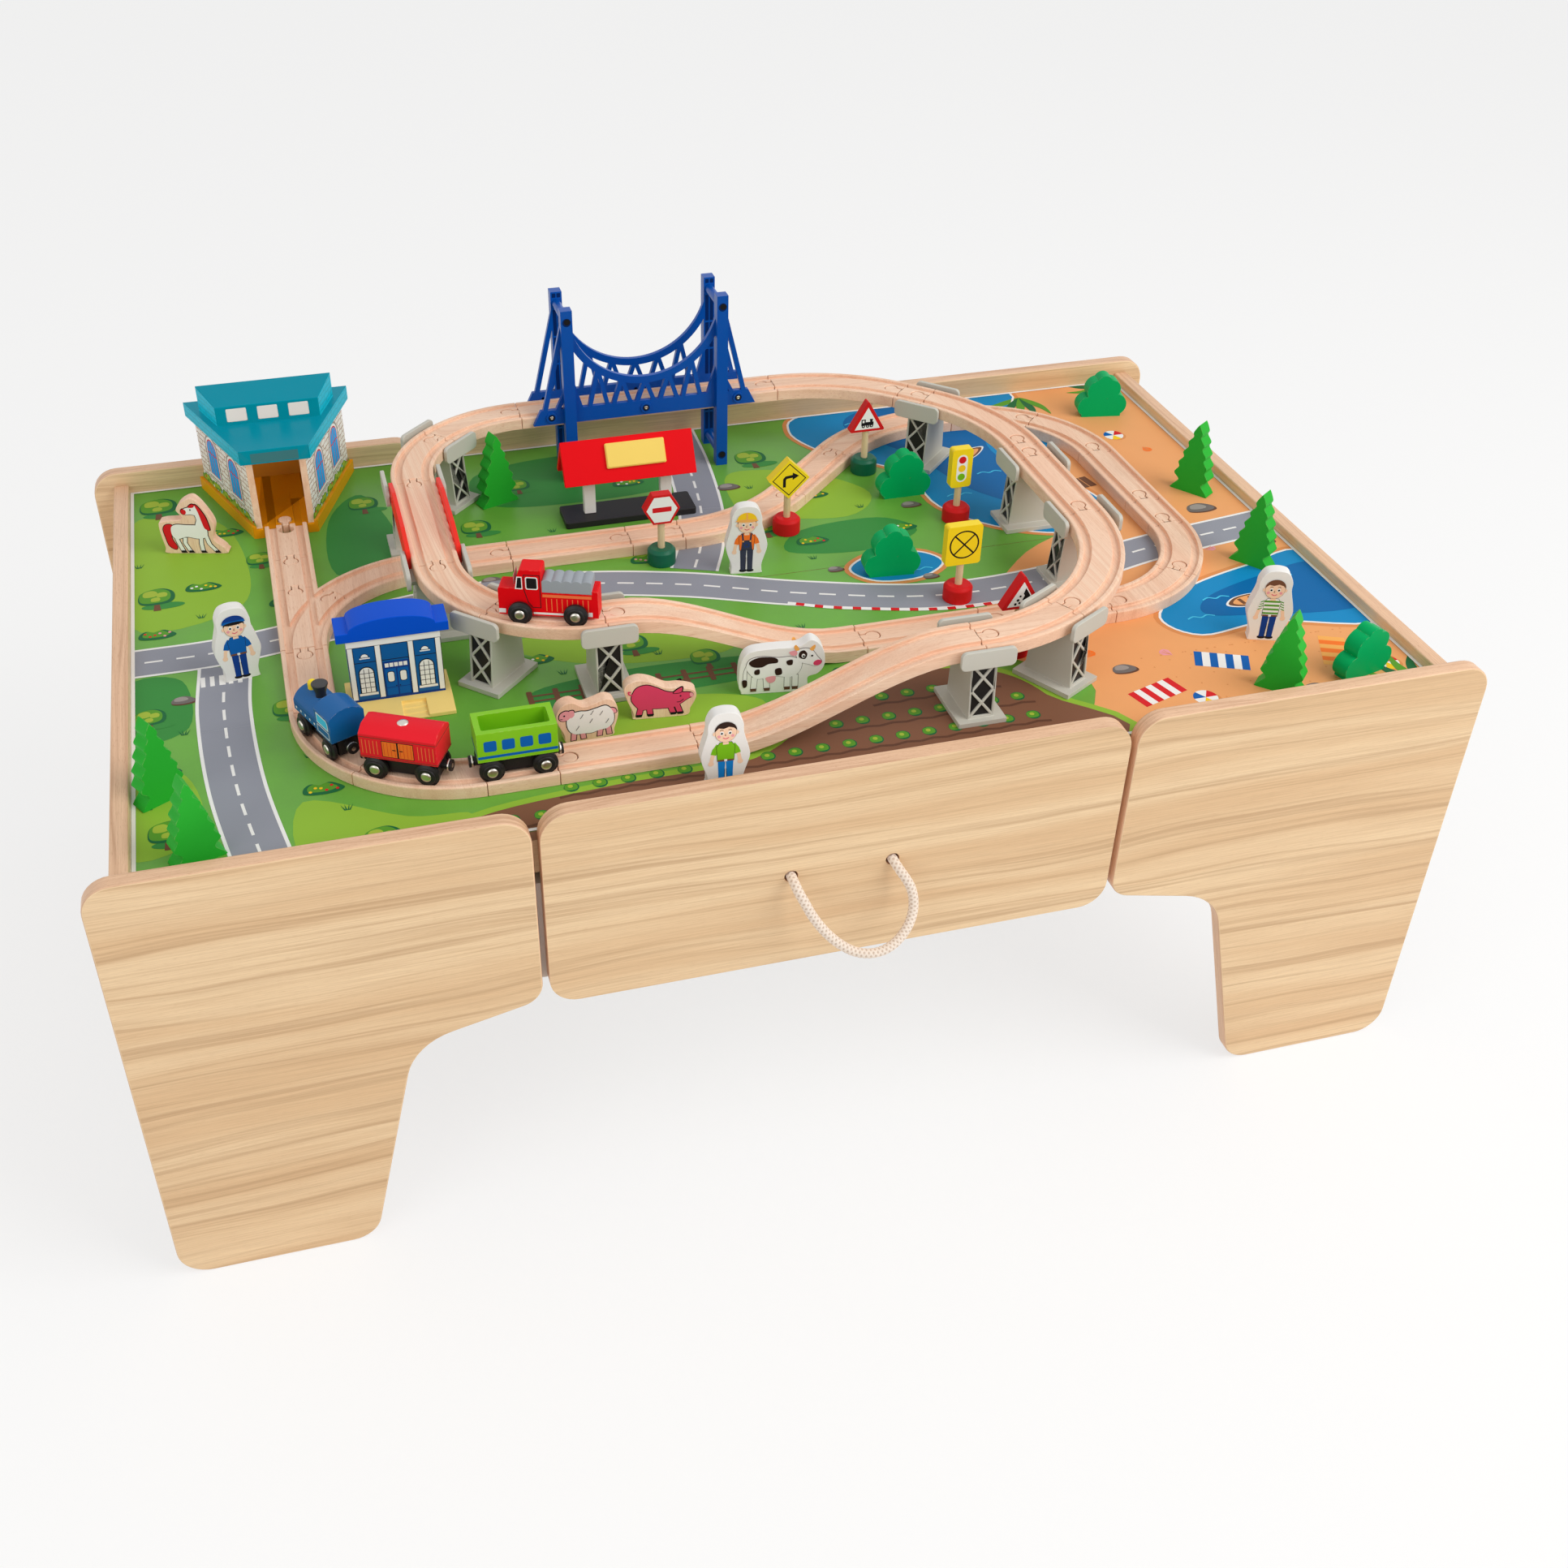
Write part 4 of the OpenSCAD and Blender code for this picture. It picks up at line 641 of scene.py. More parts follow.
def join(parts):
    """Several shapes' points and faces as one."""
    points, faces = [], []
    for some, more in parts:
        start = len(points)
        points += some
        faces += [[i + start for i in face] for face in more]
    return points, faces


def aim(origin, axis):
    """A place whose third axis points along the given one."""
    return Matrix.Translation(Vector(origin)) @ Vector(axis).to_track_quat("Z", "Y").to_matrix().to_4x4()


def stand(x, y, yaw, z=BOARD_Z):
    """A place on the board, turned about the upright."""
    return Matrix.Translation((x, y, z)) @ Matrix.Rotation(math.radians(yaw), 4, "Z")


# Outlines of the prints, as lists of two numbers

BLOB_STEPS = 6


def disc(x, y, r, count=26):
    return oval(x, y, r, r, count)


def oval(x, y, rx, ry, count=26, lean=0.0):
    c, s = math.cos(math.radians(lean)), math.sin(math.radians(lean))
    ring = [(rx * math.cos(a), ry * math.sin(a)) for a in (2 * math.pi * k / count for k in range(count))]
    return [(x + u * c - v * s, y + u * s + v * c) for u, v in ring]


def box(x0, y0, x1, y1, r=0.0):
    if not r:
        return [(x0, y0), (x1, y0), (x1, y1), (x0, y1)]
    corners = [(x1 - r, y0 + r, -90), (x1 - r, y1 - r, 0), (x0 + r, y1 - r, 90), (x0 + r, y0 + r, 180)]
    points = []
    for x, y, start in corners:
        for turn in range(0, 91, 18):
            a = math.radians(start + turn)
            points.append((x + r * math.cos(a), y + r * math.sin(a)))
    return points


def half_oval(x, y, rx, ry, count=14):
    turns = [math.pi * k / count for k in range(count + 1)]
    return [(x + rx * math.cos(a), y + ry * math.sin(a)) for a in turns]


def arch(x, y, w, h):
    """An arched opening that stands on a point."""
    r = w / 2
    return [(x - r, y), (x + r, y)] + half_oval(x, y + h - r, r, r)


def curve(points, steps, closed=False):
    """A smooth line through points, of two or three numbers each."""
    given = [Vector(p) for p in points]
    count = len(given)
    line = []
    for i in range(count if closed else count - 1):
        b, c = given[i], given[(i + 1) % count]
        a = given[i - 1] if closed or i else b * 2 - c
        d = given[(i + 2) % count] if closed or i + 2 < count else c * 2 - b
        for k in range(steps):
            t = k / steps
            bend, twist = a * 2 - b * 5 + c * 4 - d, b * 3 - a - c * 3 + d
            line.append((b * 2 + (c - a) * t + bend * t**2 + twist * t**3) / 2)
    if not closed:
        line.append(given[-1])
    return line


def blob(points):
    """A smooth closed outline through points."""
    return [tuple(p) for p in curve(points, BLOB_STEPS, True)]


def bow(points, steps):
    """A smooth open line through points."""
    return [tuple(p) for p in curve(points, steps)]


def moved(outline, x, y, scale=1.0, turn=0.0):
    c, s = math.cos(math.radians(turn)) * scale, math.sin(math.radians(turn)) * scale
    return [(x + u * c - v * s, y + u * s + v * c) for u, v in outline]


class Print:
    """Painted shapes on flat faces: gathered in millimetres, then laid as one thin mesh."""

    def __init__(self, place=None):
        self.place = place or Matrix.Identity(4)
        self.points, self.faces, self.picks, self.names = [], [], [], []
        self.face((0, 0, 0), (1, 0, 0), (0, 0, 1))

    def face(self, origin, right, up, flip=False, grow=1.0):
        """The face that the next shapes lie on, seen from outside; flip swaps left and right, grow scales."""
        self.origin = Vector(origin)
        self.right, self.up = Vector(right).normalized(), Vector(up).normalized()
        self.out = self.right.cross(self.up)
        self.flip, self.grow = flip, grow
        return self

    def shape(self, name, outline, level):
        start = len(self.points)
        side = -self.grow if self.flip else self.grow
        turn = sum(a[0] * b[1] - b[0] * a[1] for a, b in zip(outline, [*outline[1:], outline[0]]))
        height = level * LAYER + len(self.faces) % STAGGER * LAYER / STAGGER
        for u, v in outline if turn > 0 else reversed(outline):
            local = self.origin + self.right * u * side + self.up * v * self.grow + self.out * height
            self.points.append(self.place @ local)
        face = list(range(start, len(self.points)))
        self.faces.append(face[::-1] if self.flip else face)
        if name not in self.names:
            self.names.append(name)
        self.picks.append(self.names.index(name))

    def line(self, name, path, width, level, closed=False):
        """A band of even width along a path."""
        path = [Vector(p) for p in path]
        count = len(path)
        sides = []
        for i, point in enumerate(path):
            before = path[i - 1] if closed or i else None
            after = path[(i + 1) % count] if closed or i < count - 1 else None
            ends = [d.normalized() for d in (before and point - before, after and after - point) if d]
            along = sum(ends, Vector((0, 0))).normalized()
            normal = Vector((-along.y, along.x))
            spread = max(normal.dot(Vector((-ends[0].y, ends[0].x))), 0.4)
            sides.append((point + normal * width / 2 / spread, point - normal * width / 2 / spread))
        for i in range(count if closed else count - 1):
            (a, b), (c, d) = sides[i], sides[(i + 1) % count]
            self.shape(name, [tuple(b), tuple(d), tuple(c), tuple(a)], level)

    def dashes(self, name, path, width, dash, gap, level):
        """Short bands along a path."""
        route = fine_route([Vector((*p, 0)) for p in path], 2.0)
        period, length = round((dash + gap) / 2), round(dash / 2)
        for start in range(period // 2, len(route) - length, period):
            self.line(name, [p.xy for p in route[start : start + length + 1]], width, level)

    def build(self, name, body, slot):
        materials = [paint(n) for n in self.names]
        return make_piece(name, self.points, self.faces, materials, body, slot, self.picks)


# Stage

# Place of the camera in metres, then its turns in degrees
CAMERA_AT = Vector((-0.401981, -1.411117, 1.286884))
CAMERA_TURN = 15.308
CAMERA_DROP = 36.628
CAMERA_ROLL = 0.305
# Focal length, middle and width of the picture, in its own pixels
PICTURE_FOCUS = 2144.58
PICTURE_MIDDLE = (881.424, 947.388)
PICTURE_WIDTH = 1932
SENSOR = 36.0
# Share of pure white in the floor that the camera sees
FLOOR_WHITE = 0.7
# Half the floor's width and its drop below the feet, in metres
FLOOR_HALF = 9.0
FLOOR_DROP = 0.0003
# Place, aim and size of each lamp, in metres
KEY_LAMP = ((2.0, -1.6, 2.5), (0, 0, 0.4), 2.4)
FILL_LAMP = ((-2.2, -1.7, 1.5), (0, 0, 0.3), 1.8)


def make_camera():
    turn, drop, roll = (math.radians(a) for a in (CAMERA_TURN, CAMERA_DROP, CAMERA_ROLL))
    ahead = Vector((math.sin(turn) * math.cos(drop), math.cos(turn) * math.cos(drop), -math.sin(drop)))
    level = Vector((math.cos(turn), -math.sin(turn), 0))
    above = level.cross(ahead)
    right = level * math.cos(roll) + above * math.sin(roll)
    up = above * math.cos(roll) - level * math.sin(roll)
    lens = bpy.data.cameras.new("Camera")
    lens.sensor_width = SENSOR
    lens.lens = PICTURE_FOCUS * SENSOR / PICTURE_WIDTH
    lens.shift_x = 0.5 - PICTURE_MIDDLE[0] / PICTURE_WIDTH
    lens.shift_y = PICTURE_MIDDLE[1] / PICTURE_WIDTH - 0.5
    lens.clip_end = 100
    camera = bpy.data.objects.new("Camera", lens)
    bpy.context.scene.collection.objects.link(camera)
    camera.matrix_world = Matrix.Translation(CAMERA_AT) @ Matrix((right, up, -ahead)).transposed().to_4x4()
    bpy.context.scene.camera = camera


def plain_sight(tree):
    """A mask of the rays that look on: from the camera, a reflection or clear plastic."""
    path = put(tree, "LightPath").outputs
    seen = math_of(tree, "MAXIMUM", path["Is Camera Ray"], path["Is Glossy Ray"])
    return math_of(tree, "MAXIMUM", seen, path["Is Transmission Ray"])


def floor_material():
    """Pale floor that the camera sees nearly white, with the object's shadow on it."""
    material = coated("studio_floor", finishes().floor, 0.8, 0.02, grain=60.0, depth=0.0)
    tree = material.node_tree
    glow = put(tree, "Emission", {"Color": (1, 1, 1, 1), "Strength": 1.0})
    share = math_of(tree, "MULTIPLY", plain_sight(tree), FLOOR_WHITE)
    mix = put(tree, "MixShader", {0: share, 1: tree.nodes["Principled BSDF"].outputs[0], 2: glow.outputs[0]})
    tree.links.new(mix.outputs[0], tree.nodes["Material Output"].inputs["Surface"])
    return material


def make_floor():
    corners = [(x, y, 0) for x, y in box(-FLOOR_HALF, -FLOOR_HALF, FLOOR_HALF, FLOOR_HALF)]
    mesh = bpy.data.meshes.new("floor")
    mesh.from_pydata(corners, [], [(0, 1, 2, 3)])
    mesh.materials.append(floor_material())
    floor = bpy.data.objects.new("floor", mesh)
    floor.location.z = -FLOOR_DROP
    bpy.context.scene.collection.objects.link(floor)
    floor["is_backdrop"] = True


def make_world():
    """Even light, and plain white for what the camera, reflections and clear plastic see."""
    world = bpy.data.worlds.new("Studio")
    world.use_nodes = True
    tree = world.node_tree
    even = tree.nodes["Background"]
    even.inputs["Strength"].default_value = sizes().sky_level
    even.inputs["Color"].default_value = (1, 1, 1, 1)
    shown = put(tree, "Background", {"Color": (1, 1, 1, 1), "Strength": 1.0})
    mix = put(tree, "MixShader", {0: plain_sight(tree), 1: even.outputs[0], 2: shown.outputs[0]})
    tree.links.new(mix.outputs[0], tree.nodes["World Output"].inputs["Surface"])
    bpy.context.scene.world = world
    bpy.context.scene.view_settings.view_transform = "Standard"


def make_lamp(name, at, target, size, power):
    lamp = bpy.data.lights.new(name, "AREA")
    lamp.size = size
    lamp.energy = power
    holder = bpy.data.objects.new(name, lamp)
    holder.location = at
    holder.rotation_euler = (Vector(target) - Vector(at)).to_track_quat("-Z", "Y").to_euler()
    bpy.context.scene.collection.objects.link(holder)


class TRAINTABLE_OT_stage(Step, bpy.types.Operator):
    """Camera, floor, even light and lamps"""

    bl_idname = "train_table.stage"
    bl_label = "Stage"

    def build(self):
        make_camera()
        make_floor()
        make_world()
        make_lamp("key_lamp", *KEY_LAMP, sizes().key_power)
        make_lamp("fill_lamp", *FILL_LAMP, sizes().fill_power)


# Rope handle

# Middle line of the rope from knot to knot
ROPE_ROUTE = [
    (-45, -335, 344), (-45, -343, 344), (-45, -351, 344), (-44.5, -359, 342.5), (-42.5, -366, 337.5),
    (-39, -371.5, 330.5), (-35, -376, 322), (-29, -381, 312.5), (-22, -386, 304), (-13, -391, 296),
    (-2, -395.5, 289.5), (10, -398, 286.5), (22, -397.5, 286), (33, -394.5, 288), (43, -389.5, 292.5),
    (51, -383.5, 299), (56, -377.5, 307), (57.5, -372.5, 316), (56, -368.5, 325), (52.5, -364.5, 332.5),
    (48.5, -359, 338.5), (46, -353, 342.5), (45, -347, 344), (45, -341, 344), (45, -335, 344),
]  # fmt: skip
# Room left round the strands
ROPE_EASE = 0.22
ROPE_STEP = 0.6
KNOT_REACH = 2.0
KNOT_BEHIND = 6
KNOT_STRAND = 2.9
KNOT_STEPS = 60
# Sides, strands and lay of a knot's rope
KNOT_BRAID = (16, 6, 11.0)


def knot_route(x, y, z):
    """A trefoil lying against the back of the drawer front."""
    route = []
    for k in range(KNOT_STEPS):
        t = 2 * math.pi * k / KNOT_STEPS
        u = (math.sin(t) + 2 * math.sin(2 * t)) * KNOT_REACH
        v = (math.cos(t) - 2 * math.cos(2 * t)) * KNOT_REACH
        route.append(Vector((x + u, y + KNOT_BEHIND - 1.5 * KNOT_REACH * math.sin(3 * t), z + v)))
    return fine_route(route, ROPE_STEP, True)


def cotton_material():
    """Cotton, with painted shade that darkens it in the furrows between its plaits."""
    colours = finishes()
    look = {"Specular IOR Level": 0.1, "Sheen Weight": 0.2}
    material = coated("cotton_rope", colours.cotton, 0.88, 0.2, grain=2600.0, depth=0.0002, **look)
    tree = material.node_tree
    shader = tree.nodes["Principled BSDF"].inputs
    # Painted shade: the depth of each furrow darkens the cotton there
    furrow = put(tree, "Attribute", attribute_name="furrow").outputs["Fac"]
    plain = shader["Base Color"].links[0].from_socket
    tree.links.new(blend_of(tree, furrow, plain, full(colours.cotton_furrow_shade)), shader["Base Color"])
    return material


class TRAINTABLE_OT_rope(Step, bpy.types.Operator):
    """Braided rope handle with a knot behind each hole"""

    bl_idname = "train_table.rope"
    bl_label = "Rope handle"

    def build(self):
        size = sizes()
        relief = size.strand_relief / MM
        cotton = cotton_material()
        route = fine_route(ROPE_ROUTE, ROPE_STEP)
        *mesh, furrows = braid(route, size.rope_diameter / 2 / MM - ROPE_EASE, relief, ROPE_STEP)
        rope = make_piece("rope", *mesh, [cotton], "drawer", "cotton_rope", smooth=True)
        rope.data.attributes.new("furrow", "FLOAT", "POINT").data.foreach_set("value", furrows)
        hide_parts("rope_handle")
        ends = [ROPE_ROUTE[0], ROPE_ROUTE[-1]]
        loops = [braid(knot_route(*end), KNOT_STRAND, relief, ROPE_STEP, True, *KNOT_BRAID) for end in ends]
        tied = join(loop[:2] for loop in loops)
        knots = make_piece("knots", *tied, [cotton], "drawer", "cotton_rope", smooth=True)
        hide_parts("rope_knots")


# Table and drawer


def wood_tones(wood):
    """Pale, middle and deep colour of a wood."""
    return [getattr(woods(), f"{wood}_{tone}") for tone in ("pale", "middle", "deep")]


# Laminated panels: turn of the surface where the face ends, where the painted highlight on the rounded edge
# starts and where it is gone
FACE_END = (0.72, 0.8)
EDGE_HIGHLIGHT_START = (0.78, 0.86)
EDGE_HIGHLIGHT_END = (0.999, 0.97)
EDGE_HIGHLIGHT_SHARE = 0.7


def oak_laminate(name, order, axis):
    """Laminated panel: broad grain on its faces, a banded edge and a thin painted highlight between them,
    where the edge is rounded.
    """
    material, tree, shader = new_material(name, {"Specular IOR Level": 0.4})
    w = woods()
    face = wood_look(tree, axis_vector(tree, order), wood_tones("oak"), 0.62, 0.22, 0.36)
    place = axes_of(tree, object_place(tree))
    run = math_of(tree, "ADD", math_of(tree, "ADD", place[0], place[2]), place[1 if axis == 0 else 0])
    across = vector_from(tree, run, place[axis], place[axis])
    edge = wood_look(tree, across, (w.edge_pale, w.edge_pale, w.edge_deep), 0.5, 0.5, 0.42)
    normal = axes_of(tree, face_normal(tree))
    facing = math_of(tree, "ABSOLUTE", normal[axis])
    on_face = ramp_of(tree, facing, *FACE_END)
    shown = blend_of(tree, on_face, edge["Colour"], face["Colour"])
    # Painted highlight: a thin pale line where the panel's face turns into its rounded edge
    line = math_of(tree, "MULTIPLY", ramp_of(tree, facing, *EDGE_HIGHLIGHT_START), ramp_of(tree, facing, *EDGE_HIGHLIGHT_END))
    shown = blend_of(tree, math_of(tree, "MULTIPLY", line, EDGE_HIGHLIGHT_SHARE), shown, full(w.oak_pale))
    cover(tree, shader, face, shown, 0.00004)
    return material


class TRAINTABLE_OT_table(Step, bpy.types.Operator):
    """Oak panels, hidden rails and the drawer box"""

    bl_idname = "train_table.table"
    bl_label = "Table"

    def build(self):
        radius = sizes().panel_round
        legs = [f"leg_panel_{row}_{side}" for row in ("front", "back") for side in ("left", "right")]
        dress(legs + ["back_panel", "drawer_front"], oak_laminate("oak_panel", "XZY", 1), radius)
        dress(["end_rails"], oak_laminate("oak_rail", "YZX", 0), radius)
        dress(["long_rails"], timber("pine_rail", "XZY", wood_tones("pine")), radius / 2)
        batten = timber("pine_batten", "YZX", wood_tones("pine"))
        dress(["board_supports", "drawer_runners"], batten, radius / 2)
        white = coated("drawer_melamine", finishes().melamine, 0.45, 0.06, grain=500.0)
        dress(["drawer_walls", "drawer_floor"], white, radius / 3)


# Printed board

BOARD_HALF = (563.8, 334.8)
BORDER = box(-562, -333, 562, 333)
BORDER_W = 3.4
ROADS = [
    [(-566, -6), (-480, -4), (-380, 14), (-270, 34), (-160, 34), (-50, 6), (60, -40), (180, -76), (300, -74),
     (420, -44), (566, -22)],
    [(24, 337), (20, 250), (8, 150), (-10, 80), (-30, 30)],
    [(-482, -30), (-486, -110), (-480, -220), (-462, -337)],
]  # fmt: skip
ROAD_W = 42.0
KERB = [(40, -54), (90, -76), (180, -101), (260, -102), (320, -94)]
LAKE = [(196, 340), (150, 300), (176, 236), (240, 176), (250, 92), (300, 30), (372, 6), (420, 50), (404, 130),
        (424, 200), (402, 270), (420, 340)]  # fmt: skip
LAKE_DEEP = [(250, 332), (214, 290), (264, 210), (296, 120), (346, 70), (372, 110), (352, 200), (368, 270),
             (362, 332)]  # fmt: skip
BEACH = [(572, 344), (404, 344), (392, 270), (412, 200), (390, 120), (408, 40), (300, -20), (220, -110),
         (196, -180), (262, -250), (250, -344), (572, -344)]  # fmt: skip
BAY = [(572, -90), (500, -100), (420, -126), (372, -168), (396, -206), (470, -200), (572, -222)]
BAY_DEEP = [(572, -112), (500, -122), (436, -144), (416, -170), (450, -184), (572, -196)]
POND = [(118, -8), (150, 14), (196, 8), (212, -18), (180, -40), (136, -36)]
FIELD = [
    (-330, -344), (-296, -306), (-180, -292), (-60, -286), (10, -236), (60, -204), (130, -196), (186, -214),
    (216, -260), (228, -344),
]  # fmt: skip
LIGHT_MEADOWS = [
    [(-566, 60), (-470, 66), (-452, 140), (-480, 250), (-566, 260)],
    [(-210, 96), (-120, 110), (-30, 96), (-40, 60), (-120, 74), (-190, 70)],
    [(60, 120), (150, 96), (190, 140), (140, 200), (60, 220), (44, 160)],
    [(-230, -60), (-120, -40), (-20, -70), (-40, -120), (-160, -110)],
    [(-566, -180), (-520, -190), (-510, -270), (-566, -290)],
    [(-430, -250), (-350, -290), (-300, -300), (-340, -337), (-430, -337)],
    [(-240, -190), (-150, -176), (-60, -186), (-30, -214), (-120, -240), (-230, -236)],
]
DARK_MEADOWS = [
    [(-200, 210), (-90, 196), (0, 214), (-10, 290), (-120, 306), (-210, 280)],
    [(-220, -140), (-120, -126), (10, -136), (60, -160), (-60, -170), (-200, -172)],
    [(70, 40), (150, 24), (210, 50), (180, 86), (96, 80)],
    [(-370, 110), (-310, 100), (-304, 180), (-330, 270), (-368, 220)],
    [(-566, -40), (-520, -44), (-516, -120), (-566, -130)],
]
TREES = [
    (-540, 110, 1.0), (-536, 296, 1.1), (-440, 160, 0.8), (-224, 170, 0.9), (-168, 250, 0.8),
    (90, 250, 1.0), (150, 210, 0.8), (60, 96, 0.9), (-120, -84, 0.9), (-60, -124, 0.8), (-372, -312, 0.9),
    (-548, -96, 0.8), (-330, 250, 0.9), (-430, -110, 0.9), (-536, -262, 0.9),
]  # fmt: skip
BUSHES = [(-496, 118), (-470, 222), (-222, 112), (-20, 112), (130, 150), (100, 56), (-180, -20), (-70, 62),
          (-210, -90), (60, -180), (-420, -320), (-540, -180), (-52, 226), (-420, 70), (-540, 40), (-320, 84),
          (196, 60), (-412, -236)]  # fmt: skip
STONES = [
    (-516, 262, 1.0), (-226, 60, 0.8), (48, 190, 0.9), (222, 104, 0.8), (470, 130, 1.1), (512, 20, 1.2),
    (300, -240, 0.9), (452, -312, 1.0), (362, -312, 0.8), (540, -60, 0.9), (-520, -76, 0.8),
    (236, -150, 0.8), (448, 232, 0.8), (104, -4, 0.6), (190, -40, 0.6),
]  # fmt: skip
TUFTS = [
    (-556, 170), (-500, 60), (-448, 250), (-380, 60), (-300, 130), (-200, 20), (-150, 140), (-90, 90),
    (-40, 180), (70, 180), (100, 120), (170, 110), (90, 20), (40, -100), (-30, -60), (-100, -110),
    (-190, -120), (-230, -40), (-400, -60), (-420, -190), (-520, -130), (-550, -230), (-396, -270),
    (-200, -210), (-80, -226),
]  # fmt: skip
TOWELS = [
    (312, -282, 18, "red", "white"), (392, -250, -24, "blue", "white"), (500, -262, 66, "gold", "orange"),
]  # fmt: skip
FRONDS = [(548, -330, 100), (548, 320, 190), (436, 318, 250)]
SHELLS = [
    (430, -292), (350, -226), (470, -240), (530, -250), (470, 70), (520, 160), (452, 180), (480, -60),
    (280, -210),
]  # fmt: skip
BALLS = [(350, -300, 11), (536, -290, 12), (500, 200, 11)]
BOATS = [(322, 196, 30), (280, 280, -20), (470, -160, 10)]
RIPPLES = [(300, 250), (330, 150), (280, 110), (384, 230), (340, 60), (440, -150), (520, -128), (410, -178),
           (230, 300), (340, 300), (150, -14), (184, -26)]  # fmt: skip
CROWN = blob([(-17, -5), (-13, -13), (0, -15), (13, -12), (17, -3), (15, 8), (6, 15), (-6, 14), (-15, 8)])
STONE = blob([(-12, -4), (0, -7), (12, -4), (11, 3), (2, 8), (-9, 5)])
SHRUB = blob([(-16, -5), (-4, -8), (10, -7), (17, -2), (12, 4), (5, 8), (-3, 5), (-10, 8), (-16, 3)])
FROND = [(0, 0), (16, 5), (34, 4), (52, -6), (36, -4), (18, -4)]
HULL = [(-24, 0), (-12, 8), (8, 8), (26, 0), (8, -8), (-12, -8)]
SHELL = [(0, -5), (5, 1), (4, 5), (1.6, 6.4), (-1.6, 6.4), (-4, 5), (-5, 1)]


def print_roads(sheet):
    for path in ROADS:
        sheet.line("white", bow(path, 10), ROAD_W + 6, 5)
    for path in ROADS:
        sheet.line("road", bow(path, 10), ROAD_W, 6)
        sheet.dashes("white", path, 2.6, 15, 13, 7)
    # A striped crossing and a stop line where the side roads meet the main one
    for k in range(5):
        sheet.shape("white", box(-8 + 7.6 * k, 108, -4 + 7.6 * k, 124), 8)
        sheet.shape("white", box(-504 + 8 * k, -60, -500 + 8 * k, -44), 8)
    # Red and white kerb round the outer bend
    sheet.line("white", bow(KERB, 8), 5, 7)
    sheet.dashes("red", KERB, 5, 9, 9, 8)


def print_plants(sheet):
    for x, y, size in TREES:
        sheet.shape("meadow_dark", moved(oval(6, -18, 20, 6), x, y, size), 4)
        sheet.shape("bark", moved([(-3, -26), (4, -26), (2, -8), (-2, -8)], x, y, size), 5)
        sheet.shape("leaf_dark", moved(CROWN, x, y, size), 6)
        sheet.shape("leaf", moved(CROWN, x - 1.5 * size, y + 1.5 * size, size * 0.86), 7)
        for u, v, share in ((-6, 6, 0.4), (5, 3, 0.3), (-1, -5, 0.26)):
            sheet.shape("leaf_light", moved(CROWN, x + u * size, y + v * size, size * share), 8)
    for i, (x, y) in enumerate(BUSHES):
        sheet.shape("leaf_dark", moved(SHRUB, x, y), 5)
        sheet.shape("leaf", moved(SHRUB, x - 1, y + 1.5, 0.72), 6)
        for k in range(6):
            flower = ("white", "yellow", "red", "pink")[(i + k // 3) % 4]
            sheet.shape(flower, disc(x - 11 + 4.4 * k, y + 3.2 * math.sin(2.4 * k + i), 1.5, 8), 7)
    for x, y in TUFTS:
        for lean in (-3.4, -1.2, 1.4, 3.6):
            foot, tip = x + lean * 0.5, x + lean * 1.5
            sheet.shape("leaf_dark", [(foot - 0.7, y), (foot + 0.7, y), (tip, y + 8)], 5)
    for x, y, size in STONES:
        sheet.shape("soil_dark", moved(STONE, x + 1, y - 1.6, size * 1.06), 5)
        sheet.shape("stone", moved(STONE, x, y, size), 6)
        sheet.shape("stone_light", moved(STONE, x - 1.5, y + 2, size * 0.6), 7)


def print_water(sheet, outline, level):
    sheet.line("sand_dark", outline, 12, level, True)
    sheet.shape("water", outline, level + 1)
    sheet.line("white", outline, 2.4, level + 2, True)


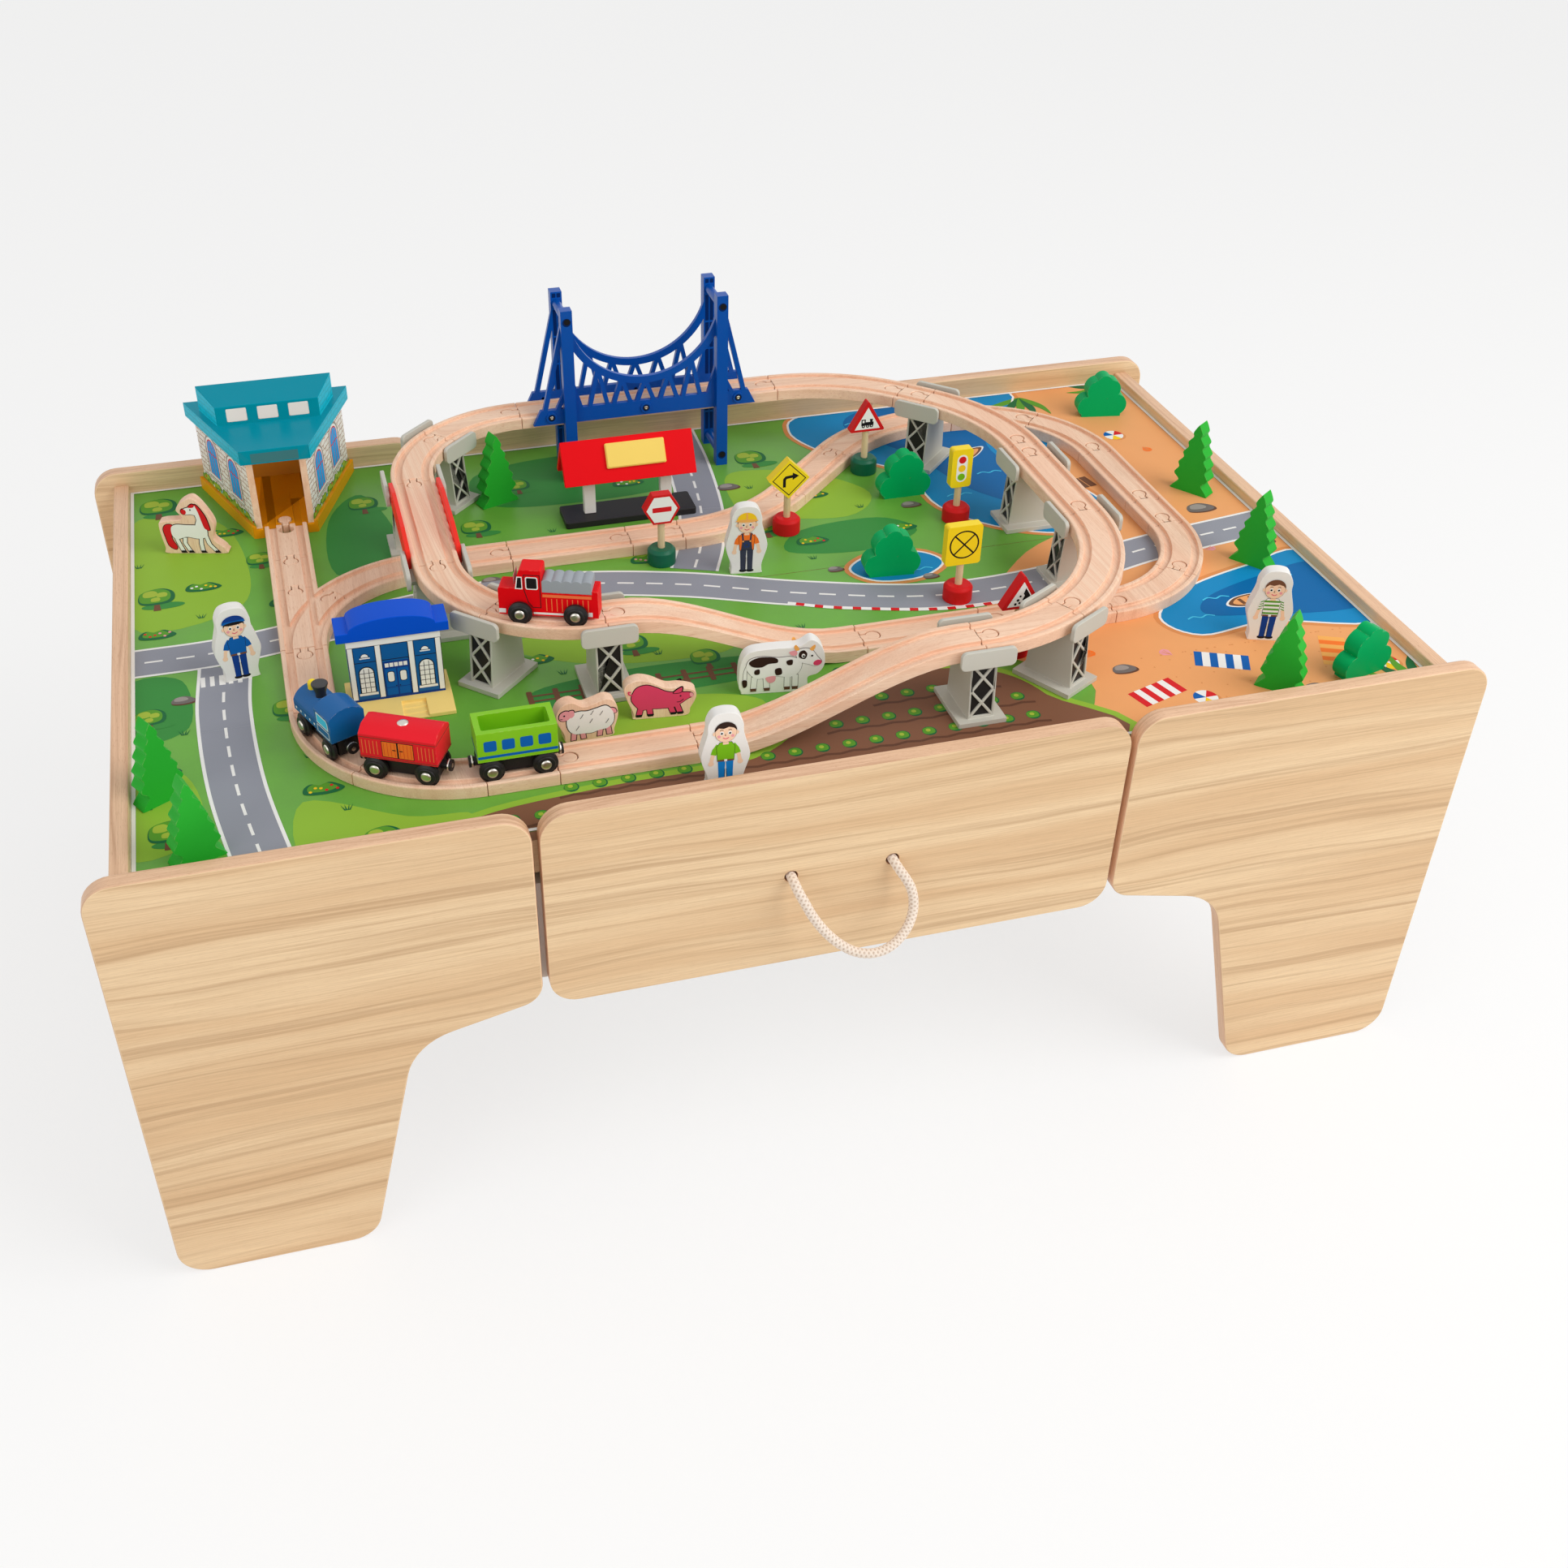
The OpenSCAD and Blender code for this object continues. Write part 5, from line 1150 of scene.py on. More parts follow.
def print_shore(sheet):
    sheet.shape("sand", blob(BEACH), 2)
    for outline in (LAKE, BAY, POND):
        print_water(sheet, blob(outline), 3)
    sheet.shape("water_deep", blob(LAKE_DEEP), 6)
    sheet.shape("water_deep", blob(BAY_DEEP), 6)
    for x, y in RIPPLES:
        ripple = [(x - 14, y), (x - 7, y + 3), (x, y), (x + 7, y + 3), (x + 14, y)]
        sheet.line("sky", bow(ripple, 4), 1.6, 7)
    for x, y, turn in BOATS:
        sheet.shape("white", moved(blob(HULL), x, y, 1.12, turn), 8)
        sheet.shape("bark", moved(blob(HULL), x, y, 1.0, turn), 9)
        sheet.shape("sand", moved(blob(HULL), x, y, 0.78, turn), 10)
        for u in (-9, 3):
            sheet.shape("bark", moved(box(u - 2, -5, u + 2, 5), x, y, 1.0, turn), 11)
    # A landing stage of planks
    for k in range(9):
        sheet.shape("bark", moved(box(-4, -11, 4, 11), 424 - 9.2 * k, 104 - 2 * k, 1.0, 12), 8)
    for x, y, turn, first, second in TOWELS:
        for k in range(7):
            stripe = box(-24 + 7 * k, -12, -17 + 7 * k, 12)
            sheet.shape((first, second)[k % 2], moved(stripe, x, y, 1.0, turn), 4)
    for x, y, r in BALLS:
        sheet.shape("sand_dark", oval(x + 2, y - 3, r, r * 0.9), 3)
        sheet.shape("white", disc(x, y, r), 4)
        for k, colour in enumerate(("red", "blue", "yellow")):
            a = [math.radians(120 * k + 10 * j) for j in range(7)]
            sheet.shape(colour, [(x, y)] + [(x + r * math.cos(t), y + r * math.sin(t)) for t in a], 5)
    for k, (x, y) in enumerate(SHELLS):
        sheet.shape(("white", "pink", "orange")[k % 3], moved(SHELL, x, y, 1.1, 40 * k), 4)
        for u in (-2.4, 0, 2.4):
            sheet.line("sand_dark", moved([(0, -4), (u, 4.6)], x, y, 1.1, 40 * k), 0.6, 5)
    for x, y, turn in FRONDS:
        for k in range(5):
            leaf = moved(blob(FROND), x, y, 1.0, turn - 48 + 24 * k)
            sheet.shape("leaf_dark" if k % 2 else "leaf", leaf, 4 + k)
    for k in range(90):
        a, r = k * 2.399, 12 * math.sqrt(k)
        x, y = 440 + r * math.cos(a) * 1.1, -250 + r * math.sin(a) * 0.9
        sheet.shape("sand_dark", disc(x, min(max(y, -328), -228), 0.9, 7), 3)


def print_field(sheet):
    sheet.line("meadow_light", blob(FIELD), 14, 3, True)
    sheet.shape("soil", blob(FIELD), 4)
    for row, (x0, x1) in enumerate([(-282, 214), (-228, 210), (10, 202), (62, 186)]):
        y = -318 + 30 * row
        for k in range(int((x1 - x0) / 24)):
            x = x0 + 24 * k
            sheet.line("soil_dark", [(x, y - 10), (x + 12, y - 8), (x + 24, y - 10)], 3.0, 5)
            sheet.shape("leaf_dark", disc(x + 12, y + 2, 6.4, 14), 5)
            sheet.shape("leaf", moved(CROWN, x + 11.6, y + 2.6, 0.32), 6)
            sheet.shape("leaf_light", disc(x + 11.2, y + 3.2, 2.2, 10), 7)
    # A paddock fence
    for rail in (-148, -156):
        sheet.line("bark", [(-226, rail), (-40, rail)], 2.4, 5)
    for k in range(9):
        sheet.shape("bark", box(-228 + 23.4 * k, -163, -223 + 23.4 * k, -140, 1.5), 6)


def trim(sheet, x, y):
    """Keeps the points of a print on the board."""
    for point in sheet.points:
        point.x = min(max(point.x, -x), x)
        point.y = min(max(point.y, -y), y)


class TRAINTABLE_OT_board(Step, bpy.types.Operator):
    """Board with its printed landscape"""

    bl_idname = "train_table.board"
    bl_label = "Board"

    def build(self):
        material, tree, shader = new_material("board_meadow", {"Specular IOR Level": 0.3})
        top = mottled(tree, full(prints().meadow), 0.4, 0.36, 700.0)
        under = mottled(tree, full(finishes().hardboard), 0.5, 0.8, 1100.0)
        normal = axes_of(tree, face_normal(tree))
        shown = blend_of(tree, ramp_of(tree, normal[2], 0.4, 0.6), under["Colour"], top["Colour"])
        cover(tree, shader, top, shown, 0.00002)
        dress(["board_front", "board_back"], material)
        sheet = Print().face((0, 0, BOARD_Z), (1, 0, 0), (0, 1, 0))
        for outline in LIGHT_MEADOWS:
            sheet.shape("meadow_light", blob(outline), 1)
        for outline in DARK_MEADOWS:
            sheet.shape("meadow_dark", blob(outline), 1)
        print_shore(sheet)
        print_field(sheet)
        print_roads(sheet)
        print_plants(sheet)
        trim(sheet, *BOARD_HALF)
        sheet.line("white", BORDER, BORDER_W, 12, True)
        sheet.build("board_print", "table", "board_print")


# Track, bridge, piers and guard rails

# Bridge: its middle, the bosses along it, and the faces and crossbars of its towers
BRIDGE_MIDDLE = (-25.92, 273.92)
BRIDGE_BOSSES = (-100.75, 0.0, 100.75)
BOSS_Z = 498.0
BOSS_OUT = 27.5
TOWER_X = 81.5
TOWER_IN = 21.0
TOWER_OUT = 33.0
CROSSBAR_Z = (436.0, 602.0)
# Low and high end of each moulded hollow on a tower's inner face, each painted with dark shade
TOWER_HOLLOWS = [(442, 462), (464, 484), (507, 535), (537, 565), (567, 595), (608, 612.4)]
# Place and heading of each pier
PIERS = [
    (143.0, -260.0, 0), (234.0, -235.6, 30), (325.0, -78.0, 90), (325.0, 40.0, 90), (271.7, 198.7, 135),
    (-246.7, 236.7, 225), (-283.9, 146.9, 270), (-283.9, -18.1, 270), (-246.7, -107.9, 315),
    (-156.9, -145.1, 0),
]  # fmt: skip
# A pier's window: half its width, then the height of its foot and head, and how far out the dark plate lies
# there, which stands as painted shade for the hollow inside
WINDOW_HALF = 9.9
WINDOW_FOOT = (431.2, 23.0)
WINDOW_HEAD = (479.8, 19.5)
PLATE_T = 0.8
SCREW = [(0.01, 0.2), (0.5, 0.2), (0.6, 0.5), (1.5, 0.5), (1.9, 0.3), (2.0, -0.6)]


class TRAINTABLE_OT_track(Step, bpy.types.Operator):
    """Beech track"""

    bl_idname = "train_table.track"
    bl_label = "Track"

    def build(self):
        material, tree, shader = new_material("track_beech", {"Specular IOR Level": 0.3})
        place = object_place(tree)
        apart = axes_of(tree, place)
        sideways = ramp_of(tree, math_of(tree, "ABSOLUTE", apart[0]), 0.24, 0.32)
        turned = vector_from(tree, apart[1], apart[0], apart[2])
        mix = put(tree, "Mix", {"Factor": sideways}, data_type="VECTOR")
        tree.links.new(place, mix.inputs[4])
        tree.links.new(turned, mix.inputs[5])
        look = wood_look(tree, mix.outputs[1], wood_tones("beech"), 0.35, 0.6, 0.46)
        cover(tree, shader, look, depth=0.00005)
        nodes = ["track_straights", "track_curves", "track_switch", "track_ramps", "bridge_deck"]
        dress(nodes, material, sizes().toy_round)


class TRAINTABLE_OT_bridge(Step, bpy.types.Operator):
    """Bridge, piers and guard rails with their small fittings"""

    bl_idname = "train_table.bridge"
    bl_label = "Bridge and piers"

    def build(self):
        colours, radius = finishes(), sizes().toy_round
        blue = coated("bridge_blue", colours.blue_plastic, 0.3, 0.05, grain=1500.0)
        dress(["bridge_trusses", "bridge_crossbars"], blue, radius)
        dress(["pier_shells"], coated("pier_grey", colours.grey_plastic, 0.42, 0.05, grain=1600.0), radius)
        red = coated("guard_red", colours.red_plastic, 0.4, 0.05, grain=1500.0, **MATT)
        dress(["guard_rails"], red, radius)
        x, y = BRIDGE_MIDDLE
        screws = [
            lathe(SCREW, aim((x + along, y + side * BOSS_OUT, BOSS_Z), (0, side, 0)), 20)
            for along in BRIDGE_BOSSES
            for side in (-1, 1)
        ]
        make_piece("bridge_screws", *join(screws), [steel()], "table", "bridge_blue", smooth=True)
        # Painted shade: dark rings and black holes round the boss screws, dark crossbar holes with the black
        # offset to leave a thicker rim below, and dark patches in the tower hollows
        sheet = Print()
        for side in (-1, 1):
            sheet.face((x, y + side * BOSS_OUT, BOSS_Z), (-side, 0, 0), UP)
            for along in BRIDGE_BOSSES:
                sheet.shape("bridge_painted_shade", disc(along, 0, 3.9), 1)
                sheet.shape("black", disc(along, 0, 2.9), 2)
            for end in (-1, 1):
                sheet.face((x + end * TOWER_X, y + side * TOWER_OUT, 0), (-side, 0, 0), UP)
                for z in CROSSBAR_Z:
                    sheet.shape("bridge_painted_shade", disc(0, z, 4.4), 1)
                    sheet.shape("black", disc(-0.4 * side, z + 0.5, 3.3), 2)
                sheet.face((x + end * TOWER_X, y + side * TOWER_IN, 0), (side, 0, 0), UP)
                for low, high in TOWER_HOLLOWS:
                    for u in (-2.5, 2.5):
                        sheet.shape("bridge_painted_shade", box(u - 1.9, low, u + 1.9, high, 0.5), 1)
        sheet.build("bridge_hollow_shade", "table", "bridge_blue")
        # Dark plates across the pier windows: painted shade for the hollow inside each pier
        black = coated("pier_painted_shade_black", colours.black_plastic, 0.4, 0.08)
        plates = [pier_shade_plate(stand(px, py, turn, 0), side) for px, py, turn in PIERS for side in (-1, 1)]
        make_piece("pier_painted_shade_plates", *join(plates), [black], "table", "pier_grey")


def steel():
    found = bpy.data.materials.get("bright_steel")
    return found or coated("bright_steel", finishes().steel, 0.3, 0.06, grain=1800.0, Metallic=1.0)


def pier_shade_plate(place, side):
    """A thin slanted dark plate across one window of a pier: painted shade for the hollow inside."""
    points = []
    for depth in (0.0, PLATE_T):
        for u, (z, out) in ((-1, WINDOW_FOOT), (1, WINDOW_FOOT), (1, WINDOW_HEAD), (-1, WINDOW_HEAD)):
            points.append(place @ Vector((u * WINDOW_HALF, side * (out - depth), z)))
    faces = [(0, 1, 2, 3), (7, 6, 5, 4)] + band(4, 4, 0)
    return points, [face if side < 0 else face[::-1] for face in faces]


# Shed, station and building

SHED_AT = Vector((-411, 201, 0))
SHED_RIGHT = ((29.13, 3.0, 434.0), (0.3536, 0.9354, 0))
SHED_LEFT = ((-74.49, 123.0, 434.0), (0.3536, -0.9354, 0))
SHED_WINDOWS = (37.0, 91.0)
SHED_FRONT = (0, -3.0, 507.0)
# Width, height, thickness and chamfer of a plate
LANTERN_LIGHT_PLATE = (19.8, 13.8, 1.0, 0.3)
STATION_PLATE = (61, 25, 4, 1.2)
# Lantern: middles of its white plates, which are painted light for the bright background seen through its
# openings, height of their foot, and how deep its front and rear lie
LANTERN_LIGHT_PLATES = (-30.5, 0.0, 30.5)
LANTERN_FOOT = 525.1
LANTERN_FACES = {-1: 61.6, 1: 102.4}
# Share of the light that one skin of the see-through plastic stops
LIGHT_STOPPED = 0.08
# Painted glow: how much brighter that plastic is painted on its sides
SIDE_GLOW = 2.1
# Middle of the shed and a depth between its mouth and its rear wall, in metres, which bound the painted amber
# light inside
SHED_MIDDLE = (-0.411, 0.3)
# Width, height and joint of a brick, in metres
MOULDED_BRICK = (0.013, 0.005, 0.0005)
PRINTED_BRICK = (0.012, 0.0054, 0.00042)
STATION_AT = (-67.13, 160.2)
STATION_EAVE = (23.0, 473.0)
STATION_RIDGE = 512.0
# How far the plate sits to the right of the station's middle and up the slope
PLATE_ASIDE = 7
PLATE_UP = 14
BUILDING_AT = (-336.3, -126.5)
BUILDING_FRONT = -3.5
BUILDING_FOOT = 432.0
# Roof of the building: its foot, half its width, its front and rear, then its shoulders and the hump on them
ROOF_FOOT = 494.0
ROOF_HALF = 47.9
ROOF_ENDS = (-5.45, 24.45)
SHOULDER = 9.0
HUMP_HALF = 37.0
HUMP_RISE = 10.95
HUMP_FULL = 0.9
HUMP_STEPS = 40


def brick_lines(tree, size, first, second, joint):
    """Bricks laid along the shed's depth and up its height."""
    width, row, mortar = size
    place = axes_of(tree, object_place(tree))
    spot = vector_from(tree, place[1], place[2], 0.0)
    rough = noise_of(tree, vector_of(tree, "MULTIPLY", spot, (160.0, 160.0, 0.0)), 1.0, 2.0)
    shift = math_of(tree, "MULTIPLY", math_of(tree, "SUBTRACT", rough, 0.5), 0.003)
    spot = vector_of(tree, "ADD", spot, vector_from(tree, shift, shift, 0.0))
    inputs = {"Vector": spot, "Color1": first, "Color2": second, "Mortar": joint, "Scale": 1.0}
    inputs.update({"Mortar Size": mortar, "Brick Width": width, "Row Height": row})
    return put(tree, "TexBrick", inputs).outputs


def side_faces(tree):
    """A mask of the faces that look sideways."""
    normal = axes_of(tree, face_normal(tree))
    return ramp_of(tree, math_of(tree, "ABSOLUTE", normal[0]), 0.8, 0.9)


def clear_plastic(name, colour, rough, dense, relief):
    """Coloured see-through plastic that lets most light in, with faint moulded bricks and a painted glow on
    its sides.
    """
    material, tree, shader = new_material(name, {"Specular IOR Level": 0.05})
    light = put(tree, "LightPath").outputs
    passing = math_of(tree, "MAXIMUM", light["Is Shadow Ray"], light["Is Diffuse Ray"])
    let_in = math_of(tree, "MULTIPLY", passing, dense - LIGHT_STOPPED)
    tree.links.new(math_of(tree, "SUBTRACT", dense, let_in), shader["Alpha"])
    look = mottled(tree, full(colour), 0.05, rough, 1500.0)
    bricks = brick_lines(tree, MOULDED_BRICK, (0, 0, 0, 1), (0.1, 0.1, 0.1, 1), (1, 1, 1, 1))
    share = math_of(tree, "MULTIPLY", side_faces(tree), relief)
    lines = math_of(tree, "MULTIPLY", put(tree, "RGBToBW", {0: bricks["Color"]}).outputs[0], share)
    # Painted glow: the sides are blended towards a brighter copy of the colour
    bright = [min(1.0, c * SIDE_GLOW) for c in colour]
    shown = blend_of(tree, math_of(tree, "MULTIPLY", share, 0.8), look["Colour"], full(bright))
    shown = blend_of(tree, math_of(tree, "MULTIPLY", lines, 0.6), shown, full(colour))
    cover(tree, shader, look, shown)
    bump(tree, shader, lines, 0.0003)
    return material


def brick_material():
    """Printed brick on the side walls; their ends and tops are bare wood, and painted amber light lies on the
    inside.
    """
    material, tree, shader = new_material("shed_brick", {"Specular IOR Level": 0.3})
    pen = prints()
    wall = brick_lines(tree, PRINTED_BRICK, full(pen.brick), full(pen.brick_pale), full(pen.mortar))
    wood = wood_look(tree, axis_vector(tree, "YXZ"), wood_tones("beech"), 0.4, 0.4, 0.5)
    shown = blend_of(tree, side_faces(tree), wood["Colour"], wall["Color"])
    # Painted amber light: faces that look into the shed, and the front of the rear wall, take the amber
    # colour
    place = axes_of(tree, object_place(tree))
    normal = axes_of(tree, face_normal(tree))
    inward = math_of(tree, "MULTIPLY", normal[0], math_of(tree, "SUBTRACT", SHED_MIDDLE[0], place[0]))
    facing = ramp_of(tree, math_of(tree, "MULTIPLY", normal[1], -1.0), 0.8, 0.9)
    behind = math_of(tree, "MULTIPLY", facing, math_of(tree, "SUBTRACT", place[1], SHED_MIDDLE[1]))
    inside = ramp_of(tree, math_of(tree, "MAXIMUM", inward, behind), 0.002, 0.006)
    cover(tree, shader, wood, blend_of(tree, inside, shown, full(pen.shed_painted_amber_light)))
    return material


def print_shed_wall(sheet):
    for u in SHED_WINDOWS:
        sheet.shape("stone_light", arch(u, 20, 33, 46), 1)
        sheet.shape("brick_pale", arch(u, 20, 28.6, 44), 2)
        for side in (-1, 1):
            for k in range(7):
                edge = u + side * 15.2
                sheet.shape("stone", box(edge - 0.6, 22 + 3.8 * k, edge + 0.6, 24.4 + 3.8 * k), 2)
        sheet.shape("red", arch(u, 20, 24.4, 41.4), 3)
        sheet.shape("pane", arch(u, 21, 21.8, 39), 4)
        for across in (-3.7, 3.7):
            sheet.line("red", [(u + across, 21), (u + across, 59)], 0.9, 5)
        sheet.line("red", [(u - 10.9, 45), (u + 10.9, 45)], 1.2, 6)
        sheet.shape("white", box(u - 16.6, 17.2, u + 16.6, 20.4), 6)
        sheet.line("stone", [(u - 16.6, 16.8), (u + 16.6, 16.8)], 0.9, 6)
    for k in range(19):
        u, v = 5 + 6.6 * k, 6.5 + 3 * math.sin(1.7 * k)
        sheet.shape("leaf", moved(SHRUB, u, v, 0.46), 7)
        sheet.shape("leaf_light", moved(SHRUB, u + 0.6, v + 0.6, 0.3), 8)
        if k % 3 == 0:
            sheet.shape(("red", "white", "sky")[k // 3 % 3], disc(u + 1.5, v + 2, 1.5, 10), 9)


class TRAINTABLE_OT_shed(Step, bpy.types.Operator):
    """Engine shed: clear coloured base and roof, printed brick walls"""

    bl_idname = "train_table.shed"
    bl_label = "Engine shed"

    def build(self):
        colours, radius = finishes(), sizes().toy_round
        dress(["shed_base"], clear_plastic("shed_amber", colours.amber_plastic, 0.3, 0.86, 0.5), radius)
        dress(["shed_roof"], clear_plastic("shed_teal", colours.teal_plastic, 0.3, 0.96, 1.0), radius)
        dress(["shed_walls"], brick_material())
        sheet = Print()
        for corner, right in (SHED_RIGHT, SHED_LEFT):
            sheet.face(SHED_AT + Vector(corner), right, UP)
            print_shed_wall(sheet)
        # A bare plate over the mouth
        sheet.face(SHED_AT + Vector(SHED_FRONT), (1, 0, 0), UP)
        sheet.shape("plate", box(-23, 1.6, 23, 11.6, 0.8), 1)
        sheet.build("shed_print", "table", "shed_print")
        # White plates in the lantern's openings: painted light for the bright background seen through them
        panes = []
        for side, y in LANTERN_FACES.items():
            for x in LANTERN_LIGHT_PLATES:
                spot = SHED_AT + Vector((x, y, LANTERN_FOOT))
                panes.append(chamfered(upright(spot, side), *LANTERN_LIGHT_PLATE))
        white = coated("lantern_painted_light", colours.white_paint, 0.3, 0.04)
        make_piece("lantern_panes", *join(panes), [white], "table", "shed_teal")


def upright(spot, side):
    """A place on an upright face: to the right, up and outwards."""
    right = Vector((-side, 0, 0))
    return Matrix.Translation(spot) @ Matrix((right, UP, right.cross(UP))).transposed().to_4x4()


def chamfered(place, w, h, t, edge):
    """A flat plate with a chamfer round its front."""
    points = []
    for inset, out in ((0.0, 0.0), (0.0, t - edge), (edge, t)):
        for u, v in box(-w / 2 + inset, inset, w / 2 - inset, h - inset, 1.6):
            points.append(place @ Vector((u, v, out)))
    ring = len(points) // 3
    faces = [range(ring - 1, -1, -1), range(2 * ring, 3 * ring)]
    for row in (0, ring):
        faces += band(ring, row, row + ring)
    return points, faces


class TRAINTABLE_OT_station(Step, bpy.types.Operator):
    """Station shelter with a bare plate on its front slope"""

    bl_idname = "train_table.station"
    bl_label = "Station"

    def build(self):
        colours, radius = finishes(), sizes().toy_round
        dress(["station_platform"], coated("platform_black", colours.black_paint, 0.45, 0.08), radius)
        dress(["station_posts"], coated("post_white", colours.white_paint, 0.4, 0.06), radius)
        red = coated("station_red", colours.red_paint, 0.4, 0.06, **MATT)
        dress(["station_roof"], red, radius)
        out, low = STATION_EAVE
        slope = Vector((0, out, STATION_RIDGE - low)).normalized()
        right = Vector((1, 0, 0))
        turn = Matrix((right, slope, right.cross(slope))).transposed().to_4x4()
        foot = Vector((STATION_AT[0] + PLATE_ASIDE, STATION_AT[1] - out, low)) + slope * PLATE_UP
        yellow = coated("station_plate", colours.plate_paint, 0.36, 0.05)
        plate = chamfered(Matrix.Translation(foot) @ turn, *STATION_PLATE)
        make_piece("station_plate", *plate, [yellow], "table", "yellow_paint")


def print_facade(sheet):
    sheet.shape("navy", box(-40, 0, 40, 2.4), 1)
    sheet.shape("white", box(-40, 55, 40, 61.6), 1)
    sheet.line("black", [(-40, 55), (40, 55)], 0.7, 2)
    sheet.line("black", [(-36, 39.5), (36, 39.5)], 0.7, 1)
    for u in (-37.4, -14, 14, 37.4):
        sheet.shape("white", box(u - 2.4, 2.4, u + 2.4, 55), 3)
        for edge in (-2.4, 2.4):
            sheet.line("black", [(u + edge, 2.4), (u + edge, 55)], 0.5, 5)
    for u in (-25.7, 25.7):
        sheet.shape("black", arch(u, 8, 13.6, 27.4), 2)
        sheet.shape("white", arch(u, 9, 11.8, 25.4), 3)
        for across in (-2.1, 2.1):
            sheet.line("black", [(u + across, 9), (u + across, 33)], 0.5, 4)
        for v in (14, 19, 24, 28.6):
            sheet.line("black", [(u - 5.9, v), (u + 5.9, v)], 0.5, 5)
        sheet.shape("white", box(u - 8, 6, u + 8, 8.4), 4)
        sheet.shape("black", half_oval(u, 44.4, 3.9, 3.9, 12), 2)
        sheet.shape("white", half_oval(u, 44.8, 3.1, 3.1, 12), 3)
        sheet.line("white", [(u - 4.4, 43.6), (u + 4.4, 43.6)], 1.1, 3)
    sheet.shape("navy", box(-11, 2.4, 11, 37.5), 2)
    for side in (-1, 1):
        sheet.shape("blue", box(side * 5.3 - 4.7, 3.2, side * 5.3 + 4.7, 30), 3)
        sheet.line("navy", [(side * 5.3 - 4.7, 11), (side * 5.3 + 4.7, 11)], 0.6, 4)
        sheet.shape("black", box(side * 5.3 - 3.2, 16.4, side * 5.3 + 3.2, 27.4, 2.2), 4)
        sheet.shape("white", box(side * 5.3 - 2.6, 17, side * 5.3 + 2.6, 26.8, 1.8), 5)
        sheet.shape("black", disc(side * 1.6, 12.2, 0.6, 10), 5)
    for k in range(5):
        sheet.shape("white", box(-9.6 + 4 * k, 31.8, -6.4 + 4 * k, 35.8), 3)


def humped_roof(place):
    """A slab with level shoulders and a steep-sided hump between them."""
    angles = [math.pi * k / HUMP_STEPS for k in range(HUMP_STEPS + 1)]
    hump = [(HUMP_HALF * math.cos(a), SHOULDER + HUMP_RISE * math.sin(a) ** HUMP_FULL) for a in angles]
    outline = [(-ROOF_HALF, 0), (ROOF_HALF, 0), (ROOF_HALF, SHOULDER), *hump, (-ROOF_HALF, SHOULDER)]
    points = [place @ Vector((u, y, ROOF_FOOT + v)) for y in ROOF_ENDS for u, v in outline]
    ring = len(outline)
    faces = [range(ring), range(2 * ring - 1, ring - 1, -1)]
    faces += band(ring, ring, 0)
    return points, faces


class TRAINTABLE_OT_building(Step, bpy.types.Operator):
    """Small building with a printed front"""

    bl_idname = "train_table.building"
    bl_label = "Building"

    def build(self):
        colours, radius = finishes(), sizes().toy_round
        dress(["building_base"], coated("base_cream", colours.cream_plastic, 0.5, 0.08), radius)
        dress(["building_block"], coated("wall_blue", colours.wall_paint, 0.4, 0.08), radius)
        blue = coated("roof_blue", colours.roof_paint, 0.4, 0.08, **MATT)
        place = stand(*BUILDING_AT, 0, 0)
        roof = make_piece("humped_roof", *humped_roof(place), [blue], "table", "roof_blue")
        soften(roof, radius)
        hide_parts("building_roof")
        sheet = Print(place)
        sheet.face((0, BUILDING_FRONT, BUILDING_FOOT), (1, 0, 0), UP)
        print_facade(sheet)
        sheet.build("building_print", "table", "blue_paint")


# Signs, trees and figures

SIGN_MIDDLE = 484.0
SIGN_HALF = 5.0
HEXAGON = [(math.cos(math.radians(60 * k)), math.sin(math.radians(60 * k))) for k in range(6)]
TRIANGLE = [(math.cos(math.radians(90 + 120 * k)), math.sin(math.radians(90 + 120 * k))) for k in range(3)]


def sign_stop(sheet):
    sheet.shape("white", moved(HEXAGON, 0, 0, 15.4), 1)
    sheet.shape("red", box(-9.5, -2.6, 9.5, 2.6, 0.8), 2)


def sign_bend(sheet):
    sheet.line("black", [(0, -17), (17, 0), (0, 17), (-17, 0)], 0.9, 1, True)
    sheet.line("black", [(-5, -8), (-5, 0.6), (-3.4, 2.6), (4, 3.4)], 3.0, 1)
    sheet.shape("black", [(3.4, -0.6), (10, 3.4), (3.4, 7.4)], 2)


def sign_train(sheet):
    sheet.shape("white", moved(TRIANGLE, 0, -0.6, 16.4), 1)
    sheet.shape("black", box(-7, -4.4, -2.2, 2.6), 2)
    sheet.shape("white", box(-5.8, -1.2, -3.6, 1.4), 3)
    sheet.shape("black", box(-2.4, -4.4, 6.6, -0.6), 2)
    sheet.shape("black", [(2.8, -1), (5.2, -1), (5.8, 2.6), (2.2, 2.6)], 2)
    for u in (-4.6, 0.2, 4.4):
        sheet.shape("black", disc(u, -5.2, 1.9, 16), 3)
        sheet.shape("white", disc(u, -5.2, 0.7, 12), 4)


def sign_lamp(sheet):
    sheet.shape("white", box(-5.6, -15, 5.6, 15, 5.5), 1)
    for v, colour in ((9.4, "red"), (0, "yellow"), (-9.4, "lime")):
        sheet.shape(colour, disc(0, v, 3.9), 2)


def sign_crossing(sheet):
    sheet.line("black", disc(0, 1, 14, 40), 1.5, 1, True)
    for side in (-1, 1):
        sheet.line("black", [(-9.6 * side, -8.6), (9.6 * side, 10.6)], 1.5, 2 + side)


